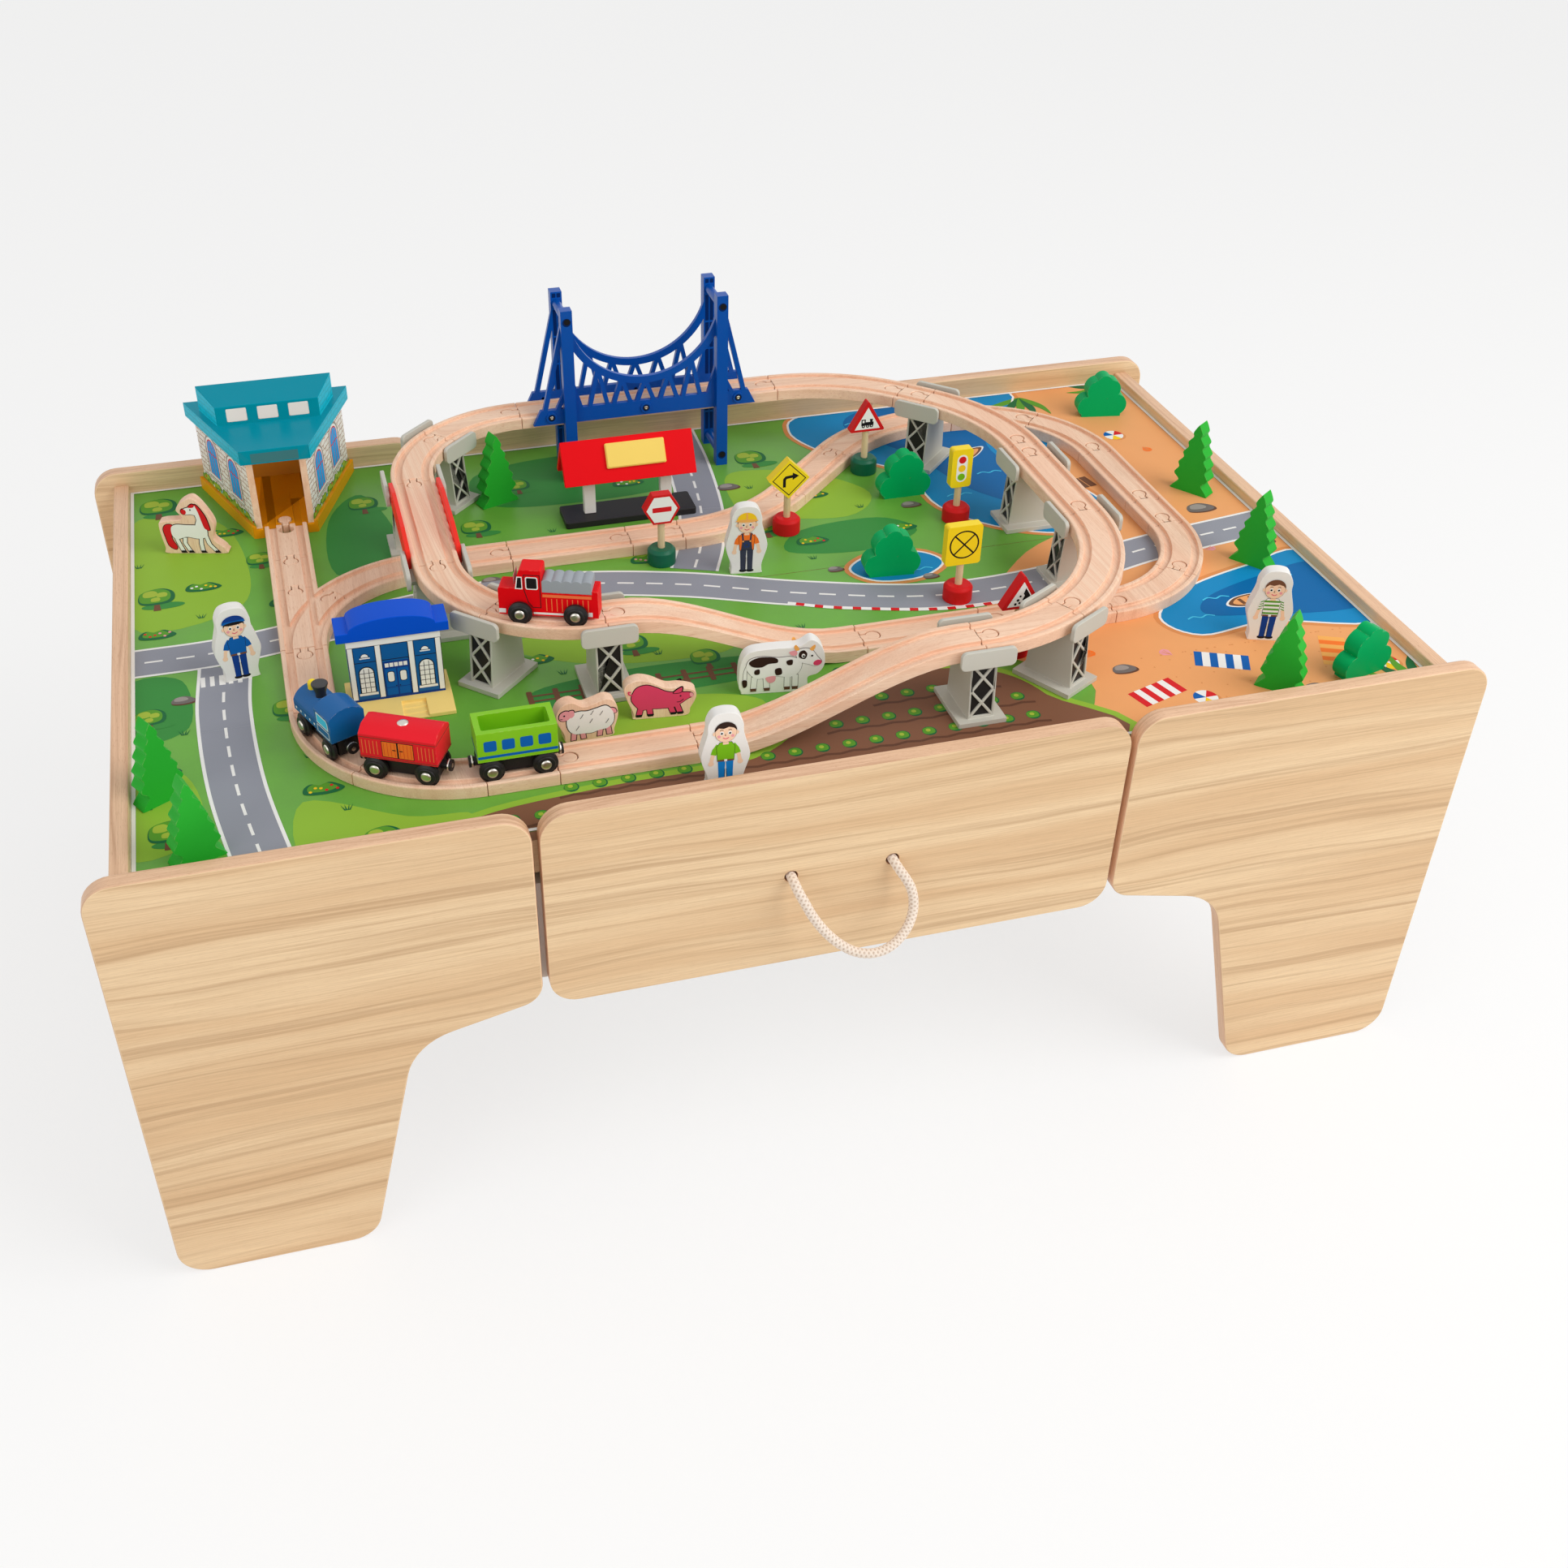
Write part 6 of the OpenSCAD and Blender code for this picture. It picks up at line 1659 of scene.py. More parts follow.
def sign_rocks(sheet):
    sheet.shape("white", moved(TRIANGLE, 0, -0.6, 16.4), 1)
    sheet.shape("black", [(12.6, -8.2), (2.4, 9.4), (0.6, 4), (1.8, 1.6), (0, -2), (1.4, -5), (-1, -8.2)], 2)
    for u, v, r in ((-2.2, 1.4, 1.1), (-4.2, -2.4, 1.4), (-2.6, -5.4, 1.1), (-6.4, -6.2, 1.3)):
        sheet.shape("black", disc(u, v, r, 10), 2)


# Place of each sign, and what its faces show
SIGNS = [
    (-57.2, 53.9, sign_stop), (80.4, 82.8, sign_bend), (199.7, 189.0, sign_train), (256.0, 62.0, sign_lamp),
    (199.7, -85.9, sign_crossing), (215.3, -186.9, sign_rocks),
]  # fmt: skip


class TRAINTABLE_OT_signs(Step, bpy.types.Operator):
    """Road and railway signs"""

    bl_idname = "train_table.signs"
    bl_label = "Signs"

    def build(self):
        colours, radius = finishes(), sizes().toy_round
        red = coated("sign_red", colours.sign_paint, 0.4, 0.08, **MATT)
        dress(["red_sign_bases", "red_sign_heads"], red, radius)
        dress(["green_sign_bases"], coated("sign_green", colours.bottle_paint, 0.36, 0.08), radius)
        dress(["yellow_sign_heads"], coated("sign_yellow", colours.yellow_paint, 0.36, 0.06), radius)
        dress(["sign_posts"], timber("post_wood", "ZXY", wood_tones("pine"), 0.3, 0.4), radius)
        sheet = Print()
        for x, y, draw in SIGNS:
            for side in (-1, 1):
                sheet.face((x, y + side * SIGN_HALF, SIGN_MIDDLE), (-side, 0, 0), UP)
                draw(sheet)
        sheet.build("sign_prints", "table", "yellow_paint")


class TRAINTABLE_OT_trees(Step, bpy.types.Operator):
    """Painted wooden trees"""

    bl_idname = "train_table.trees"
    bl_label = "Trees"

    def build(self):
        colours, radius = finishes(), sizes().toy_round
        pine = coated("pine_green", colours.pine_paint, 0.42, 0.12, 0.2, woods().beech_pale, **MATT)
        bush = coated("bush_green", colours.bush_paint, 0.42, 0.12, 0.2, woods().beech_pale, **MATT)
        dress(["pine_trees"], pine, radius)
        dress(["bush_trees"], bush, radius)


# Place, turn and clothes of each person
PEOPLE = [
    (18.1, 16.0, -8, {"hair": "bark", "shirt": "orange", "legs": "denim", "bib": True, "hat": "helmet"}),
    (-93.5, -311.0, -4, {"hair": "hair", "shirt": "lime", "legs": "sky_blue"}),
    (448.9, -223.2, -20, {"hair": "bark", "shirt": "white", "legs": "navy", "stripes": "leaf"}),
    (-468.1, -49.1, 10, {"hair": "hair", "shirt": "blue", "legs": "navy", "hat": "cap"}),
]  # fmt: skip
PERSON_HALF = 6.0
PERSON_GROW = 1.08
ANIMAL_HALF = 6.0


def print_person(sheet, look):
    for side in (-1, 1):
        sheet.shape("black", oval(side * 3.2, 3.4, 3.5, 1.6), 1)
        sheet.line("skin", [(side * 8.2, 34), (side * 10.2, 28.5), (side * 11, 24)], 2.9, 1)
        sheet.shape("skin", disc(side * 11.2, 22.6, 2.2, 14), 2)
        sheet.line(look["shirt"], [(side * 5.2, 39), (side * 8.2, 34.6), (side * 9.4, 30.6)], 4.4, 3)
        leg = [(0.1, 26), (6, 26), (5.6, 14), (5.4, 4), (1, 4), (0.6, 17)]
        sheet.shape(look["legs"], [(side * u, v) for u, v in leg], 2)
        sheet.line("black", [(side * 0.6, 17), (side * 1, 4)], 0.4, 3)
    shirt = [(-6.2, 24.6), (6.2, 24.6), (7, 37.6), (4.4, 41.4), (-4.4, 41.4), (-7, 37.6)]
    sheet.line("black", shirt, 0.6, 4, True)
    sheet.shape(look["shirt"], shirt, 5)
    if "stripes" in look:
        for k in range(4):
            sheet.shape(look["stripes"], box(-6.4, 26.4 + 3.8 * k, 6.4, 28.2 + 3.8 * k), 6)
            for side in (-1, 1):
                u, v = 7.6 - 0.5 * k, 32 + 2.4 * k
                sheet.line(look["stripes"], [(side * u, v), (side * (u + 3.4), v - 1.4)], 0.9, 4)
    if look.get("bib"):
        sheet.shape(look["legs"], [(-5.2, 24.6), (5.2, 24.6), (4, 34.4), (-4, 34.4)], 6)
        for side in (-1, 1):
            sheet.line(look["legs"], [(side * 3.3, 34), (side * 4, 41.2)], 1.6, 6)
            sheet.shape("gold", disc(side * 3.2, 33.4, 0.8, 10), 7)
        sheet.line("navy", box(-2, 27.6, 2, 31.6, 0.8), 0.5, 7, True)
    else:
        sheet.shape("bark", box(-6.1, 24.2, 6.1, 25.8), 7)
        sheet.shape("white", box(-1.1, 24, 1.1, 26), 8)
    sheet.shape("skin", box(-2.2, 39.6, 2.2, 43.6), 6)
    print_head(sheet, look)


def print_head(sheet, look):
    for side in (-1, 1):
        sheet.shape("skin", disc(side * 8.2, 49.8, 1.8, 14), 6)
    sheet.line("bark", oval(0, 50.4, 8.1, 8.6, 36), 0.4, 7, True)
    sheet.shape("skin", oval(0, 50.4, 8.1, 8.6, 36), 8)
    fringe = [(-8.2, 52), (-5.4, 54.8), (-1.6, 54), (2.4, 55.4), (6.2, 54.2), (8.2, 52)]
    sheet.shape(look["hair"], half_oval(0, 52, 8.5, 8) + fringe, 9)
    for side in (-1, 1):
        sheet.shape("white", oval(side * 3.1, 50, 1.5, 1.7, 14), 9)
        sheet.shape("black", disc(side * 3.1, 49.8, 0.9, 12), 10)
        sheet.line("bark", [(side * 1.9, 52.6), (side * 3.3, 53.1), (side * 4.5, 52.5)], 0.5, 10)
        sheet.shape("pink", disc(side * 5.2, 47.2, 1.3, 12), 9)
    sheet.line("bark", [(0, 49.4), (-0.7, 47.8), (0.3, 47.7)], 0.45, 9)
    sheet.line("rose", bow([(-2.3, 45.8), (0, 44.8), (2.3, 45.8)], 5), 0.7, 9)
    if look.get("hat") == "helmet":
        sheet.shape("yellow", half_oval(0, 54, 9, 8.2), 11)
        sheet.line("gold", [(0, 54), (0, 62.2)], 1.6, 12)
        sheet.shape("gold", oval(0, 54, 10.2, 1.5), 12)
    elif look.get("hat") == "cap":
        sheet.shape("navy", half_oval(0, 54.4, 9.4, 7), 11)
        sheet.shape("blue", box(-9.2, 54.2, 9.2, 56.4), 12)
        sheet.shape("black", oval(0, 54, 7.8, 1.4), 13)


def sketch(sheet, parts, outline="black", width=1.5):
    """Filled outlines with one dark line round them all."""
    for _, path in parts:
        sheet.line(outline, path, width, 1, True)
    for k, (name, path) in enumerate(parts):
        sheet.shape(name, path, 2 + k)


def limb(*points, width):
    """The outline of a leg: a band along points."""
    path = [Vector(p) for p in points]
    return [(p.x - width / 2, p.y) for p in path] + [(p.x + width / 2, p.y) for p in reversed(path)]


def four_legs(colour, top, foot, width, stances):
    """Legs of one colour from top to foot, each with its place and lean."""
    return [(colour, limb((u, top), (u + lean, foot), width=width)) for u, lean in stances]


def print_horse(sheet):
    sketch(sheet, [
        ("red", blob([(-18, 32), (-24, 32), (-27, 27), (-26, 18), (-24, 9), (-18.5, 5), (-16.5, 8), (-20, 17),
                      (-19, 25)])),
        ("white", limb((-7, 18), (-8, 12), (-4, 3), width=3.6)),
        ("white", limb((9, 20), (8, 11), (8.6, 3), width=3.6)),
        ("white", limb((-16, 20), (-14, 12), (-11, 3), width=3.8)),
        ("white", limb((13, 24), (16, 11), (22, 3), width=3.8)),
        ("white", blob([(-19, 29), (-14, 32.6), (-4, 32.2), (6, 32), (12, 32), (16, 25), (14, 19), (6, 17),
                        (-5, 19), (-14, 16.6), (-19, 20)])),
        ("white", blob([(5.6, 31), (7.4, 38), (6.4, 45), (9, 51), (12.6, 44), (14.4, 34), (16, 24),
                        (10, 22)])),
        ("white", blob([(10, 51), (6.6, 54), (1.6, 51.6), (-3, 50), (-4.6, 46.4), (-2, 43.8), (3, 44),
                        (7.6, 43), (10.4, 46)])),
        ("red", blob([(8.2, 54.4), (11.6, 51.6), (16.4, 42), (18.4, 33), (18.8, 26.6), (14.2, 28.4),
                      (12.2, 36), (10.6, 45)])),
        ("red", oval(-3.8, 46.8, 2.5, 2.9, 20, 15)),
        ("red", blob([(1.4, 51.6), (5, 55), (8, 54), (6, 51.4)])),
    ])  # fmt: skip
    sheet.shape("black", oval(3.2, 49, 0.7, 0.9, 12), 14)
    for u in (-10.4, -3, 9.4, 23):
        sheet.shape("black", [(u - 2.6, 1.4), (u + 3.4, 1.4), (u + 1.8, 4), (u - 2.2, 4)], 14)


def print_sheep(sheet):
    fleece = [(-14, 30), (-18, 24), (-17, 15), (-12, 9.4), (-4, 8.4), (3, 7.6), (10, 9), (17, 9.6), (22, 14),
              (23.2, 21), (21, 28), (16, 32.6), (8, 31.6), (0, 30.4), (-7, 31.4)]  # fmt: skip
    legs = four_legs("pink", 11, 3, 4.2, ((-12, -1), (-5, 1), (11, -1), (17.6, 1)))
    face = blob([(-14.6, 32), (-19, 34.2), (-23.4, 32), (-24.4, 27.4), (-21, 24.6), (-15.6, 26)])
    ear = blob([(-16.4, 32.8), (-12, 33.4), (-11.4, 28.6), (-14.6, 26.6)])
    tail = blob([(20, 29), (24, 28), (25.4, 24), (22, 24)])
    sketch(sheet, legs + [("pink", tail), ("white", blob(fleece)), ("pink", face), ("pink", ear)])
    sheet.shape("black", disc(-20, 29.8, 0.8, 12), 12)
    sheet.line("black", [(-23.6, 27.4), (-21.6, 26.6)], 0.5, 12)
    for u, v in ((-5, 26), (3, 20), (12, 26), (17, 17), (-9, 15), (4, 28)):
        sheet.line("stone", bow([(u - 1.4, v - 2), (u + 0.2, v), (u + 1.4, v + 2)], 4), 0.6, 12)


def print_pig(sheet):
    legs = four_legs("rose", 13, 4, 4.6, ((-17, -2), (-10, 1), (8, 3), (14, 3)))
    body = [(-24, 27), (-20, 33), (-12, 35), (-4, 32), (5, 27), (12, 25.6), (19, 25), (26, 24), (28, 20.6),
            (23, 17.6), (18, 14), (12, 10.6), (2, 10), (-8, 10.4), (-17, 10), (-22, 15),
            (-25, 21)]  # fmt: skip
    ear = blob([(11, 24.6), (14, 28), (19, 30.4), (18, 25)])
    sketch(sheet, legs + [("rose", blob(body)), ("rose", ear)])
    sheet.line("black", ear, 0.6, 9, True)
    sheet.shape("pink", oval(27, 21.6, 1.6, 2.4, 18, 20), 9)
    sheet.shape("black", disc(17.4, 21.4, 0.8, 12), 9)
    sheet.line("black", bow([(14, 15.4), (17, 15.6), (20, 18)], 4), 0.6, 9)
    sheet.line("rose", bow([(-24, 26), (-27, 27), (-27.4, 29.4), (-25.4, 29)], 4), 1.3, 9)
    for u in (-19, -9, 11, 17):
        sheet.shape("black", box(u - 2.4, 2.6, u + 2.4, 5.2), 9)


def print_cow(sheet):
    legs = four_legs("white", 18, 5, 5, ((-24, -1), (-14, 1), (5, 0), (12, 0)))
    body = [(-31, 26), (-29, 36), (-18, 39), (-4, 37), (8, 37), (17, 32), (16, 22), (8, 16), (-8, 18),
            (-22, 16)]  # fmt: skip
    head = [(12, 42), (19, 45), (26, 43), (31, 36), (35, 30), (31, 26), (24, 28), (15, 32)]
    tail = [(-30, 33), (-33.5, 24), (-34, 14), (-31.4, 13), (-31, 24)]
    parts = [("white", blob(tail)), *legs, ("white", blob(body)), ("white", blob(head))]
    sketch(sheet, parts, "stone", 0.9)
    sheet.shape("pink", blob([(-14, 17), (-6, 18), (-6, 13), (-10, 11), (-13, 13)]), 10)
    sheet.shape("rose", oval(31.4, 29.4, 3.8, 2.8, 20, 20), 10)
    for u in (18.6, 26):
        sheet.shape("white", oval(u, 37.4, 1.6, 2.1, 14), 12)
        sheet.shape("black", disc(u + 0.3, 37, 1.0, 12), 13)
    sheet.shape("gold", blob([(12, 43), (10, 47), (12, 49), (15, 44)]), 10)
    sheet.shape("gold", blob([(24, 44), (28, 48), (29, 46), (27, 42)]), 10)
    sheet.shape("pink", blob([(6, 42), (12, 43), (13, 39), (9, 38)]), 10)
    for spot in (
        [(-29, 34), (-20, 38.4), (-6, 37), (-4, 32), (-12, 31), (-18, 28), (-26, 29)],
        [(-24, 25), (-20, 26), (-20, 21), (-24, 21)],
        [(-6, 25), (-1, 26), (0, 20), (-5, 19)],
        [(4, 33), (9, 34), (9, 29), (5, 29)],
        [(15, 41), (19, 43), (22, 39), (20, 34), (15, 36)],
        [(-35, 15), (-31, 15), (-31, 9), (-34, 8)],
    ):
        sheet.shape("hair", blob(spot), 11)
    for u in (-25, -13, 5, 12):
        sheet.shape("soil_dark", box(u - 2.6, 3, u + 2.6, 6.2), 11)


# Place, turn and print of each animal
ANIMALS = [
    (-500.13, 192.54, -15, print_horse), (-189.5, -218.9, 4, print_sheep), (-121.2, -202.0, -6, print_pig),
    (-9.0, -191.1, -8, print_cow),
]  # fmt: skip
# Across this the animals change from bare wood to paint, in metres
PAINTED_FROM = (-0.07, -0.065)


def figure_material():
    """Bare wood for the animals on the left, white paint for the one on the right."""
    material, tree, shader = new_material("figure_wood", {"Specular IOR Level": 0.3})
    wood = wood_look(tree, axis_vector(tree, "ZXY"), wood_tones("beech"), 0.3, 0.4, 0.46)
    place = axes_of(tree, object_place(tree))
    painted = ramp_of(tree, place[0], *PAINTED_FROM)
    shown = blend_of(tree, painted, wood["Colour"], full(finishes().white_paint))
    cover(tree, shader, wood, shown, 0.00003)
    return material


class TRAINTABLE_OT_figures(Step, bpy.types.Operator):
    """People and animals, printed on both faces"""

    bl_idname = "train_table.figures"
    bl_label = "Figures"

    def build(self):
        colours, radius = finishes(), sizes().toy_round
        dress(["people_figures"], coated("figure_white", colours.white_paint, 0.4, 0.05), radius)
        dress(["animal_figures"], figure_material(), radius)
        sheet = Print()
        for x, y, yaw, look in PEOPLE:
            sheet.place = stand(x, y, yaw)
            for side in (-1, 1):
                sheet.face((0, side * PERSON_HALF, 0), (-side, 0, 0), UP, False, PERSON_GROW)
                print_person(sheet, look)
        sheet.build("people_prints", "table", "figure_print")
        sheet = Print()
        for x, y, yaw, draw in ANIMALS:
            sheet.place = stand(x, y, yaw)
            for side in (-1, 1):
                sheet.face((0, side * ANIMAL_HALF, 0), (-side, 0, 0), UP, side > 0)
                draw(sheet)
        sheet.build("animal_prints", "table", "figure_print")


# Train and lorry

# Place, height of the running face and heading of each vehicle, then the sizes on its own axes
VEHICLES = {
    "loco": (-398.585, -182.586, 432.5, 113.4),
    "red_wagon": (-342.615, -243.239, 432.5, 152.0),
    "green_wagon": (-256.0, -260.0, 432.5, 180.0),
    "lorry": (-200.314, -134.764, 494.5, 159.6),
}
AXLE_Z = 10.8
AXLE_X = {"loco": 22.0, "red_wagon": 22.0, "green_wagon": 22.0, "lorry": 24.0}
WHEEL_OUT = 16.0
HUB = [(0.01, 1.9), (2.6, 1.86), (3.6, 1.66), (4.3, 1.1), (4.6, 0.5), (4.7, -0.3)]
RING = [(4.2, 0.5), (4.9, 0.8), (6.6, 0.9), (7.6, 0.6), (7.9, 0.0), (7.9, -0.3)]
RIVET = [(0.01, 1.8), (1.6, 1.7), (3.2, 1.2), (4.4, 0.4), (4.8, 0.0), (4.8, -0.3)]
MAGNET = [(0.01, 0.1), (1.6, 0.08), (3.2, -0.3), (4.5, -1.1), (5.2, -2.3), (5.2, -3.6), (4.8, -3.9)]
MAGNET_X = 39.0
MAGNET_Z = 13.9
RIVET_Z = 50
WHEEL_SIDES = 24
CHIMNEY_END = 17.0
# Flat faces that the prints lie on: half width, height of the foot and ends
BODY_HALF = 16.0
BODY_FOOT = 22.0
BODY_END = 33.0
BOILER_HALF = 15.0
LORRY_HALF = 9.5
LORRY_FOOT = 6.8
LORRY_NOSE = 43.0
LORRY_SCREEN = 29.0
LORRY_TAIL = -38.0


def place_of(name):
    x, y, z, heading = VEHICLES[name]
    return stand(x, y, heading, z)


def each_side(sheet, half, z):
    """The two long sides in turn, measured forwards from the middle."""
    for side in (-1, 1):
        yield sheet.face((0, side * half, z), (-side, 0, 0), UP, side > 0)


def print_loco(sheet):
    for face in each_side(sheet, BODY_HALF, BODY_FOOT):
        face.shape("white", [(-30, 10.6), (-10.4, 10.6), (-10.4, 20.4), (-28, 20.4), (-30, 17)], 1)
        face.shape("sky", [(-29, 11.6), (-11.4, 11.6), (-11.4, 19.4), (-27.4, 19.4), (-29, 16.6)], 2)
        face.line("white", box(-30, 2, -10.4, 8.8, 0.6), 0.8, 1, True)
    for face in each_side(sheet, BOILER_HALF, BODY_FOOT):
        for k in range(5):
            face.shape("white", disc(-2.4 + 7.8 * k, 3.4, 1.2, 16), 1)
        face.line("navy", [(-6.6, 6.2), (32.6, 6.2)], 0.6, 1)


def print_red_wagon(sheet):
    for face in each_side(sheet, BODY_HALF, BODY_FOOT):
        face.line("soil_dark", [(-33, 1.6), (33, 1.6)], 0.6, 1)
        face.line("soil_dark", [(-33, 20.4), (33, 20.4)], 0.6, 1)
        face.shape("black", box(-13.6, 3.2, 13.6, 19), 1)
        for side in (-1, 1):
            face.shape("orange", box(side * 6.9 - 6.2, 3.8, side * 6.9 + 6.2, 18.4), 2)
            for k in range(4):
                u = side * 6.9 - 4.6 + 3.1 * k
                face.line("red", [(u, 4.4), (u, 17.8)], 0.3, 3)
            face.shape("black", box(side * 3 - 1.4, 10.6, side * 3 + 1.4, 11.5), 4)
        for side in (-1, 1):
            for k in range(5):
                u = side * (17.4 + 3.2 * k)
                face.line("stripe", [(u, 4.6), (u, 17.8)], 0.7, 1)
    for end in (-1, 1):
        sheet.face((end * BODY_END, 0, BODY_FOOT), (0, end, 0), UP)
        sheet.line("soil_dark", [(-15.6, 1.6), (15.6, 1.6)], 0.6, 1)
        sheet.line("soil_dark", [(-15.6, 20.4), (15.6, 20.4)], 0.6, 1)


def print_green_wagon(sheet):
    for face in each_side(sheet, BODY_HALF, BODY_FOOT):
        for k in range(4):
            u = -22.2 + 14.8 * k
            face.shape("blue", box(u - 5.2, 10, u + 5.2, 20.2, 1.8), 1)
        face.shape("blue", box(-32.6, 3.4, 32.6, 6.0), 1)
    for end in (-1, 1):
        sheet.face((end * BODY_END, 0, BODY_FOOT), (0, end, 0), UP)
        sheet.shape("blue", box(-15.6, 3.4, 15.6, 6.0), 1)


def print_lorry(sheet):
    for face in each_side(sheet, LORRY_HALF, LORRY_FOOT):
        door = [(6.4, 39.4), (20, 39.4), (20, 24), (17, 13), (13.4, 8), (6.4, 8)]
        face.line("black", door, 0.7, 1, True)
        face.shape("white", box(8, 25.4, 18.8, 37.6, 1.8), 1)
        face.shape("black", box(9, 26.4, 17.8, 36.6, 1.2), 2)
        face.shape("white", [(21.4, 25.4), (28, 25.4), (26, 37.6), (21.4, 37.6)], 1)
        face.shape("black", [(22.2, 26.4), (26.8, 26.4), (25.2, 36.6), (22.2, 36.6)], 2)
        face.shape("stripe", box(-37.6, 18.6, 4.6, 21.4), 1)
        for k in range(9):
            u = -34.6 + 4.5 * k
            face.line("stripe", [(u, 5), (u, 17.4)], 0.8, 1)
        face.shape("white", box(-13, 1.4, 13, 3.4), 2)
        face.shape("white", box(37, 1.4, 43, 5.6), 1)
        face.shape("white", box(-38, 1.4, -34.4, 5.6), 2)
    sheet.face((LORRY_NOSE, 0, LORRY_FOOT), (0, 1, 0), UP)
    sheet.shape("white", box(-9.5, 1.4, 9.5, 5.6), 1)
    for v in (10, 12.6, 15.2):
        sheet.line("black", [(-4.4, v), (4.4, v)], 1.0, 1)
    for u in (-7, 7):
        sheet.shape("yellow", disc(u, 15, 1.7, 16), 1)
    sheet.face((LORRY_SCREEN, 0, LORRY_FOOT), (0, 1, 0), UP)
    sheet.shape("white", box(-8.4, 28, 8.4, 38.6, 1.6), 1)
    sheet.shape("black", box(-7.4, 29, 7.4, 37.6, 1.2), 2)
    sheet.face((LORRY_TAIL, 0, LORRY_FOOT), (0, -1, 0), UP)
    sheet.shape("white", box(-9.5, 1.4, 9.5, 5.6), 1)
    for u in (-7, 7):
        sheet.shape("gold", disc(u, 10, 1.6, 16), 1)


VEHICLE_PRINTS = {
    "loco": (print_loco, "blue_paint"),
    "red_wagon": (print_red_wagon, "red_paint"),
    "green_wagon": (print_green_wagon, "lime_paint"),
    "lorry": (print_lorry, "red_paint"),
}


def loco_trim():
    """Black chimney and yellow dome, told apart by how far forward they stand."""
    material, tree, shader = new_material("loco_trim", {"Specular IOR Level": 0.4})
    place = place_of("loco")
    ahead = place.to_3x3() @ Vector((1, 0, 0))
    spot = object_place(tree)
    run = put(tree, "VectorMath", {0: spot, 1: tuple(ahead)}, operation="DOT_PRODUCT").outputs["Value"]
    split = (ahead.dot(place.translation) + CHIMNEY_END) * MM
    on_dome = ramp_of(tree, run, split - MM / 2, split + MM / 2)
    shown = blend_of(tree, on_dome, full(finishes().black_paint), full(finishes().yellow_paint))
    look = mottled(tree, shown, 0.08, 0.34, 1500.0)
    cover(tree, shader, look)
    return material


def make_wheel_faces(name, end, x, black):
    """Raised ring and bright hub on both wheels of one axle."""
    place = place_of(name)
    parts, picks = [], []
    for side in (-1, 1):
        for pick, profile in enumerate((RING, HUB)):
            spot = aim((x, side * WHEEL_OUT, AXLE_Z), (0, side, 0))
            parts.append(lathe(profile, place @ spot, WHEEL_SIDES))
            picks += [pick] * len(parts[-1][1])
    hub = f"{name}_hubs_{end}"
    body = f"{name}_axle_{end}_set"
    make_piece(hub, *join(parts), [black, steel()], body, "wheel_black", picks, True)


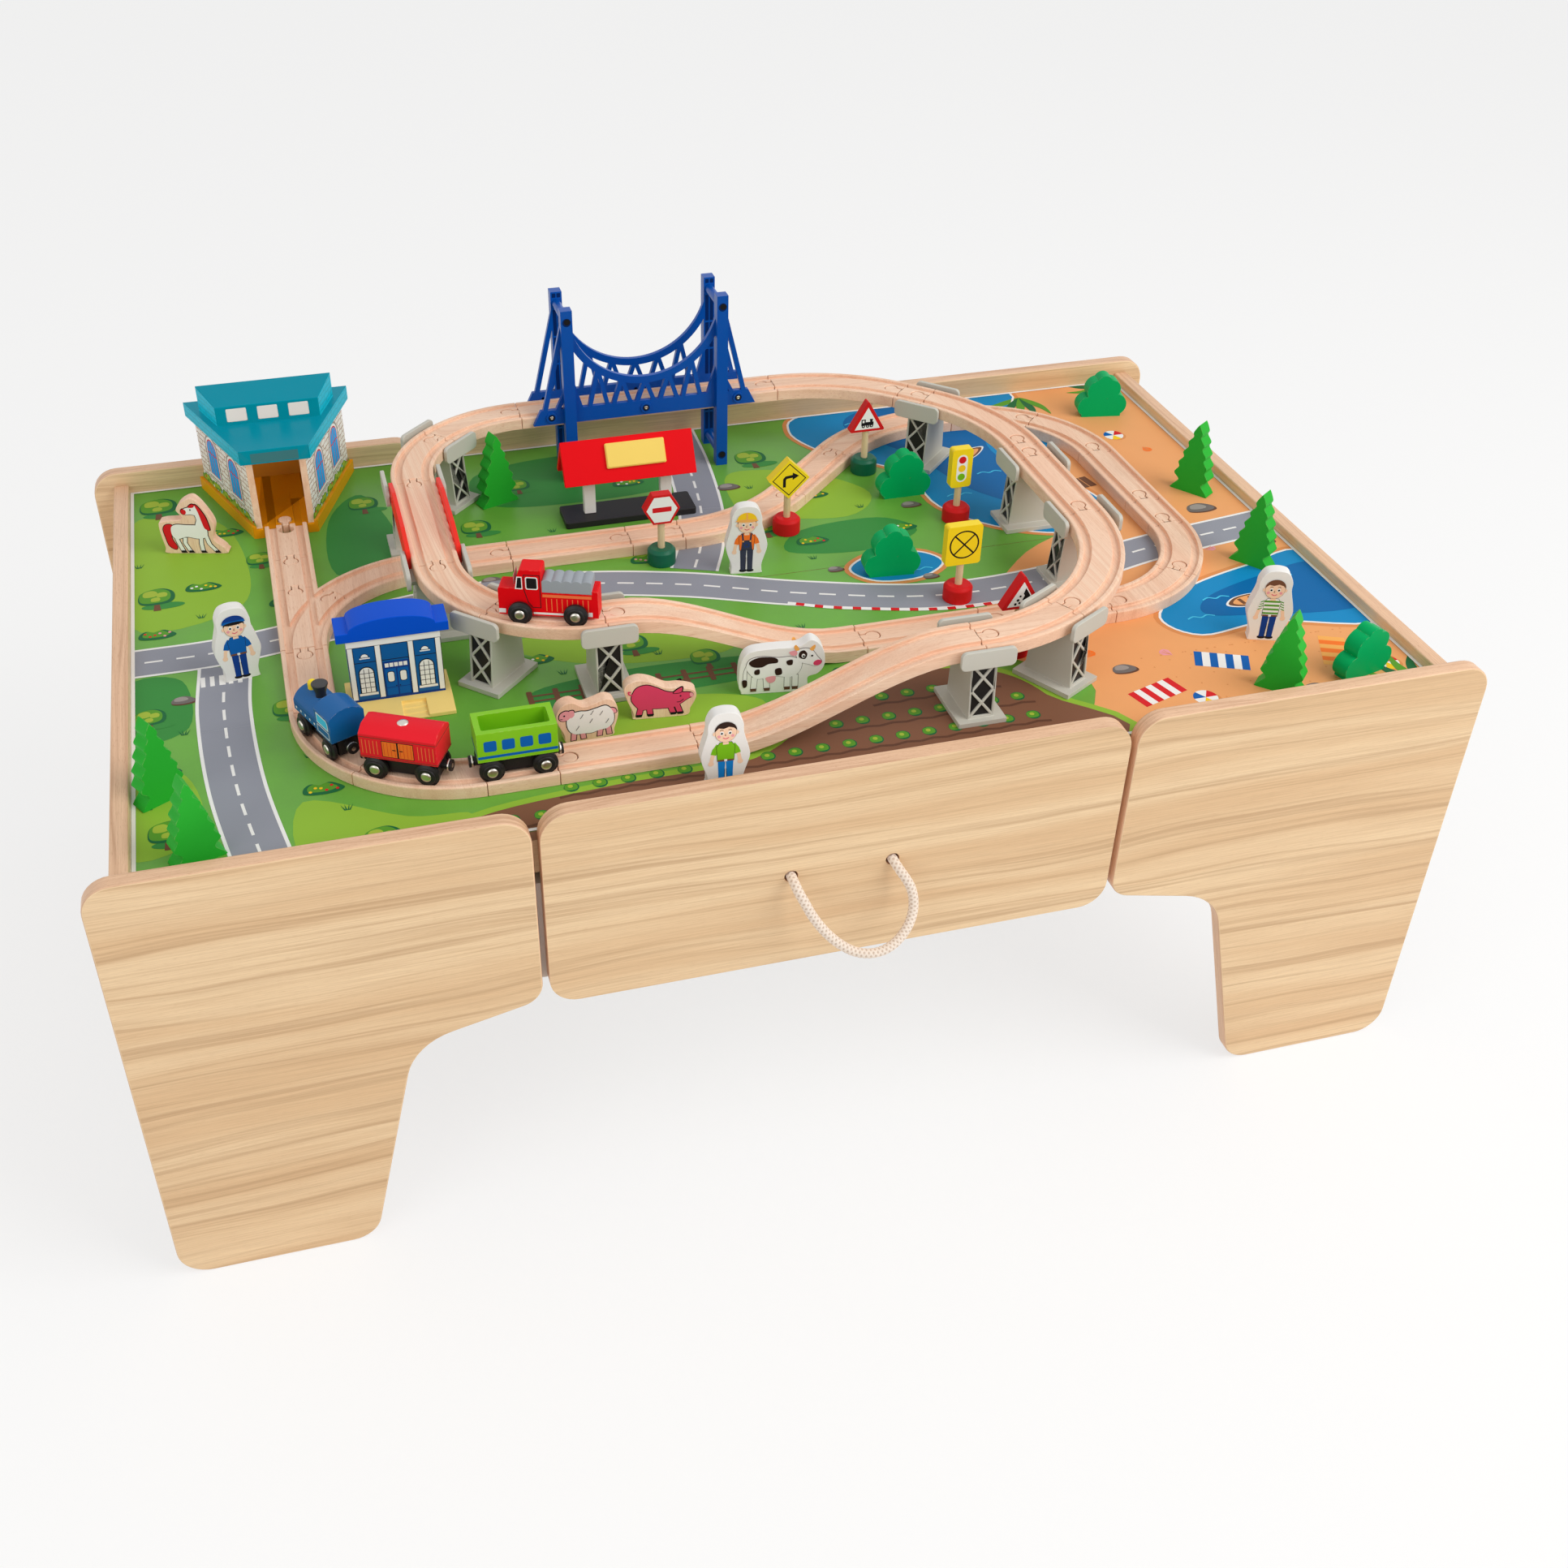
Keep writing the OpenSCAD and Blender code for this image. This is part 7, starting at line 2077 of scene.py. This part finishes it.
class TRAINTABLE_OT_vehicles(Step, bpy.types.Operator):
    """Train and lorry: paint, prints, wheel faces, rivet and magnets"""

    bl_idname = "train_table.vehicles"
    bl_label = "Train and lorry"

    def build(self):
        colours, radius = finishes(), sizes().toy_round
        bare = woods().beech_pale
        black = coated("chassis_black", colours.black_plastic, 0.42, 0.06, grain=1600.0)
        dress([f"{name}_chassis" for name in VEHICLES if name != "lorry"], black, radius)
        wheel = coated("wheel_black", colours.black_plastic, 0.36, 0.06, grain=1600.0)
        dress([f"{name}_axle_{end}" for name in VEHICLES for end in ("front", "rear")], wheel)
        dress(["loco_body"], coated("loco_blue", colours.loco_paint, 0.34, 0.1, 0.25, bare), radius)
        dress(["loco_fittings"], loco_trim(), radius)
        red = coated("wagon_red", colours.wagon_paint, 0.4, 0.1, 0.3, bare, **MATT)
        dress(["red_wagon_body"], red, radius)
        dress(["lorry_body"], coated("lorry_red", colours.red_paint, 0.4, 0.1, 0.2, bare, **MATT), radius)
        dress(["green_wagon_body"], coated("wagon_lime", colours.lime_paint, 0.34, 0.1, 0.3, bare), radius)
        dress(["lorry_load"], coated("lorry_load", colours.load_paint, 0.5, 0.1), radius)
        for name, (draw, slot) in VEHICLE_PRINTS.items():
            place = place_of(name)
            sheet = Print(place)
            draw(sheet)
            sheet.build(f"{name}_print", name, slot)
            make_wheel_faces(name, "front", AXLE_X[name], wheel)
            make_wheel_faces(name, "rear", -AXLE_X[name], wheel)
            if name == "lorry":
                continue
            ends = [place @ aim((side * MAGNET_X, 0, MAGNET_Z), (side, 0, 0)) for side in (-1, 1)]
            cups = [lathe(MAGNET, end, WHEEL_SIDES) for end in ends]
            make_piece(f"{name}_magnets", *join(cups), [steel()], name, "black_plastic", smooth=True)
        rivet = lathe(RIVET, place_of("red_wagon") @ aim((0, 0, RIVET_Z), UP), WHEEL_SIDES)
        make_piece("red_wagon_rivet", *rivet, [steel()], "red_wagon", "red_paint", smooth=True)


# Panel and running order

OPERATORS = [
    TRAINTABLE_OT_stage, TRAINTABLE_OT_rope, TRAINTABLE_OT_table, TRAINTABLE_OT_board, TRAINTABLE_OT_track,
    TRAINTABLE_OT_bridge, TRAINTABLE_OT_shed, TRAINTABLE_OT_station, TRAINTABLE_OT_building,
    TRAINTABLE_OT_signs, TRAINTABLE_OT_trees, TRAINTABLE_OT_figures, TRAINTABLE_OT_vehicles,
]  # fmt: skip


class TRAINTABLE_PT_panel(bpy.types.Panel):
    """The steps that dress the train table, in their order"""

    bl_label = "Train table"
    bl_idname = "TRAINTABLE_PT_panel"
    bl_space_type = "VIEW_3D"
    bl_region_type = "UI"
    bl_category = "Train table"

    def draw(self, context):
        for step in OPERATORS:
            self.layout.operator(step.bl_idname)


SETTINGS = {
    "train_table_woods": TrainTableWoods,
    "train_table_finishes": TrainTableFinishes,
    "train_table_prints": TrainTablePrints,
    "train_table_sizes": TrainTableSizes,
}
CLASSES = [*SETTINGS.values(), *OPERATORS, TRAINTABLE_PT_panel]


def register():
    for item in CLASSES:
        bpy.utils.register_class(item)
    for name, group in SETTINGS.items():
        setattr(bpy.types.Scene, name, PointerProperty(type=group))


def unregister():
    for name in SETTINGS:
        delattr(bpy.types.Scene, name)
    for item in reversed(CLASSES):
        bpy.utils.unregister_class(item)


def main():
    register()
    for step in OPERATORS:
        getattr(bpy.ops.train_table, step.bl_idname.partition(".")[2])()
    boxes = {"cad": plain(CAD_BOX), "scene": plain(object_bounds())}


def plain(bounds):
    return [list(corner) for corner in bounds]


if __name__ == "__main__":
    main()
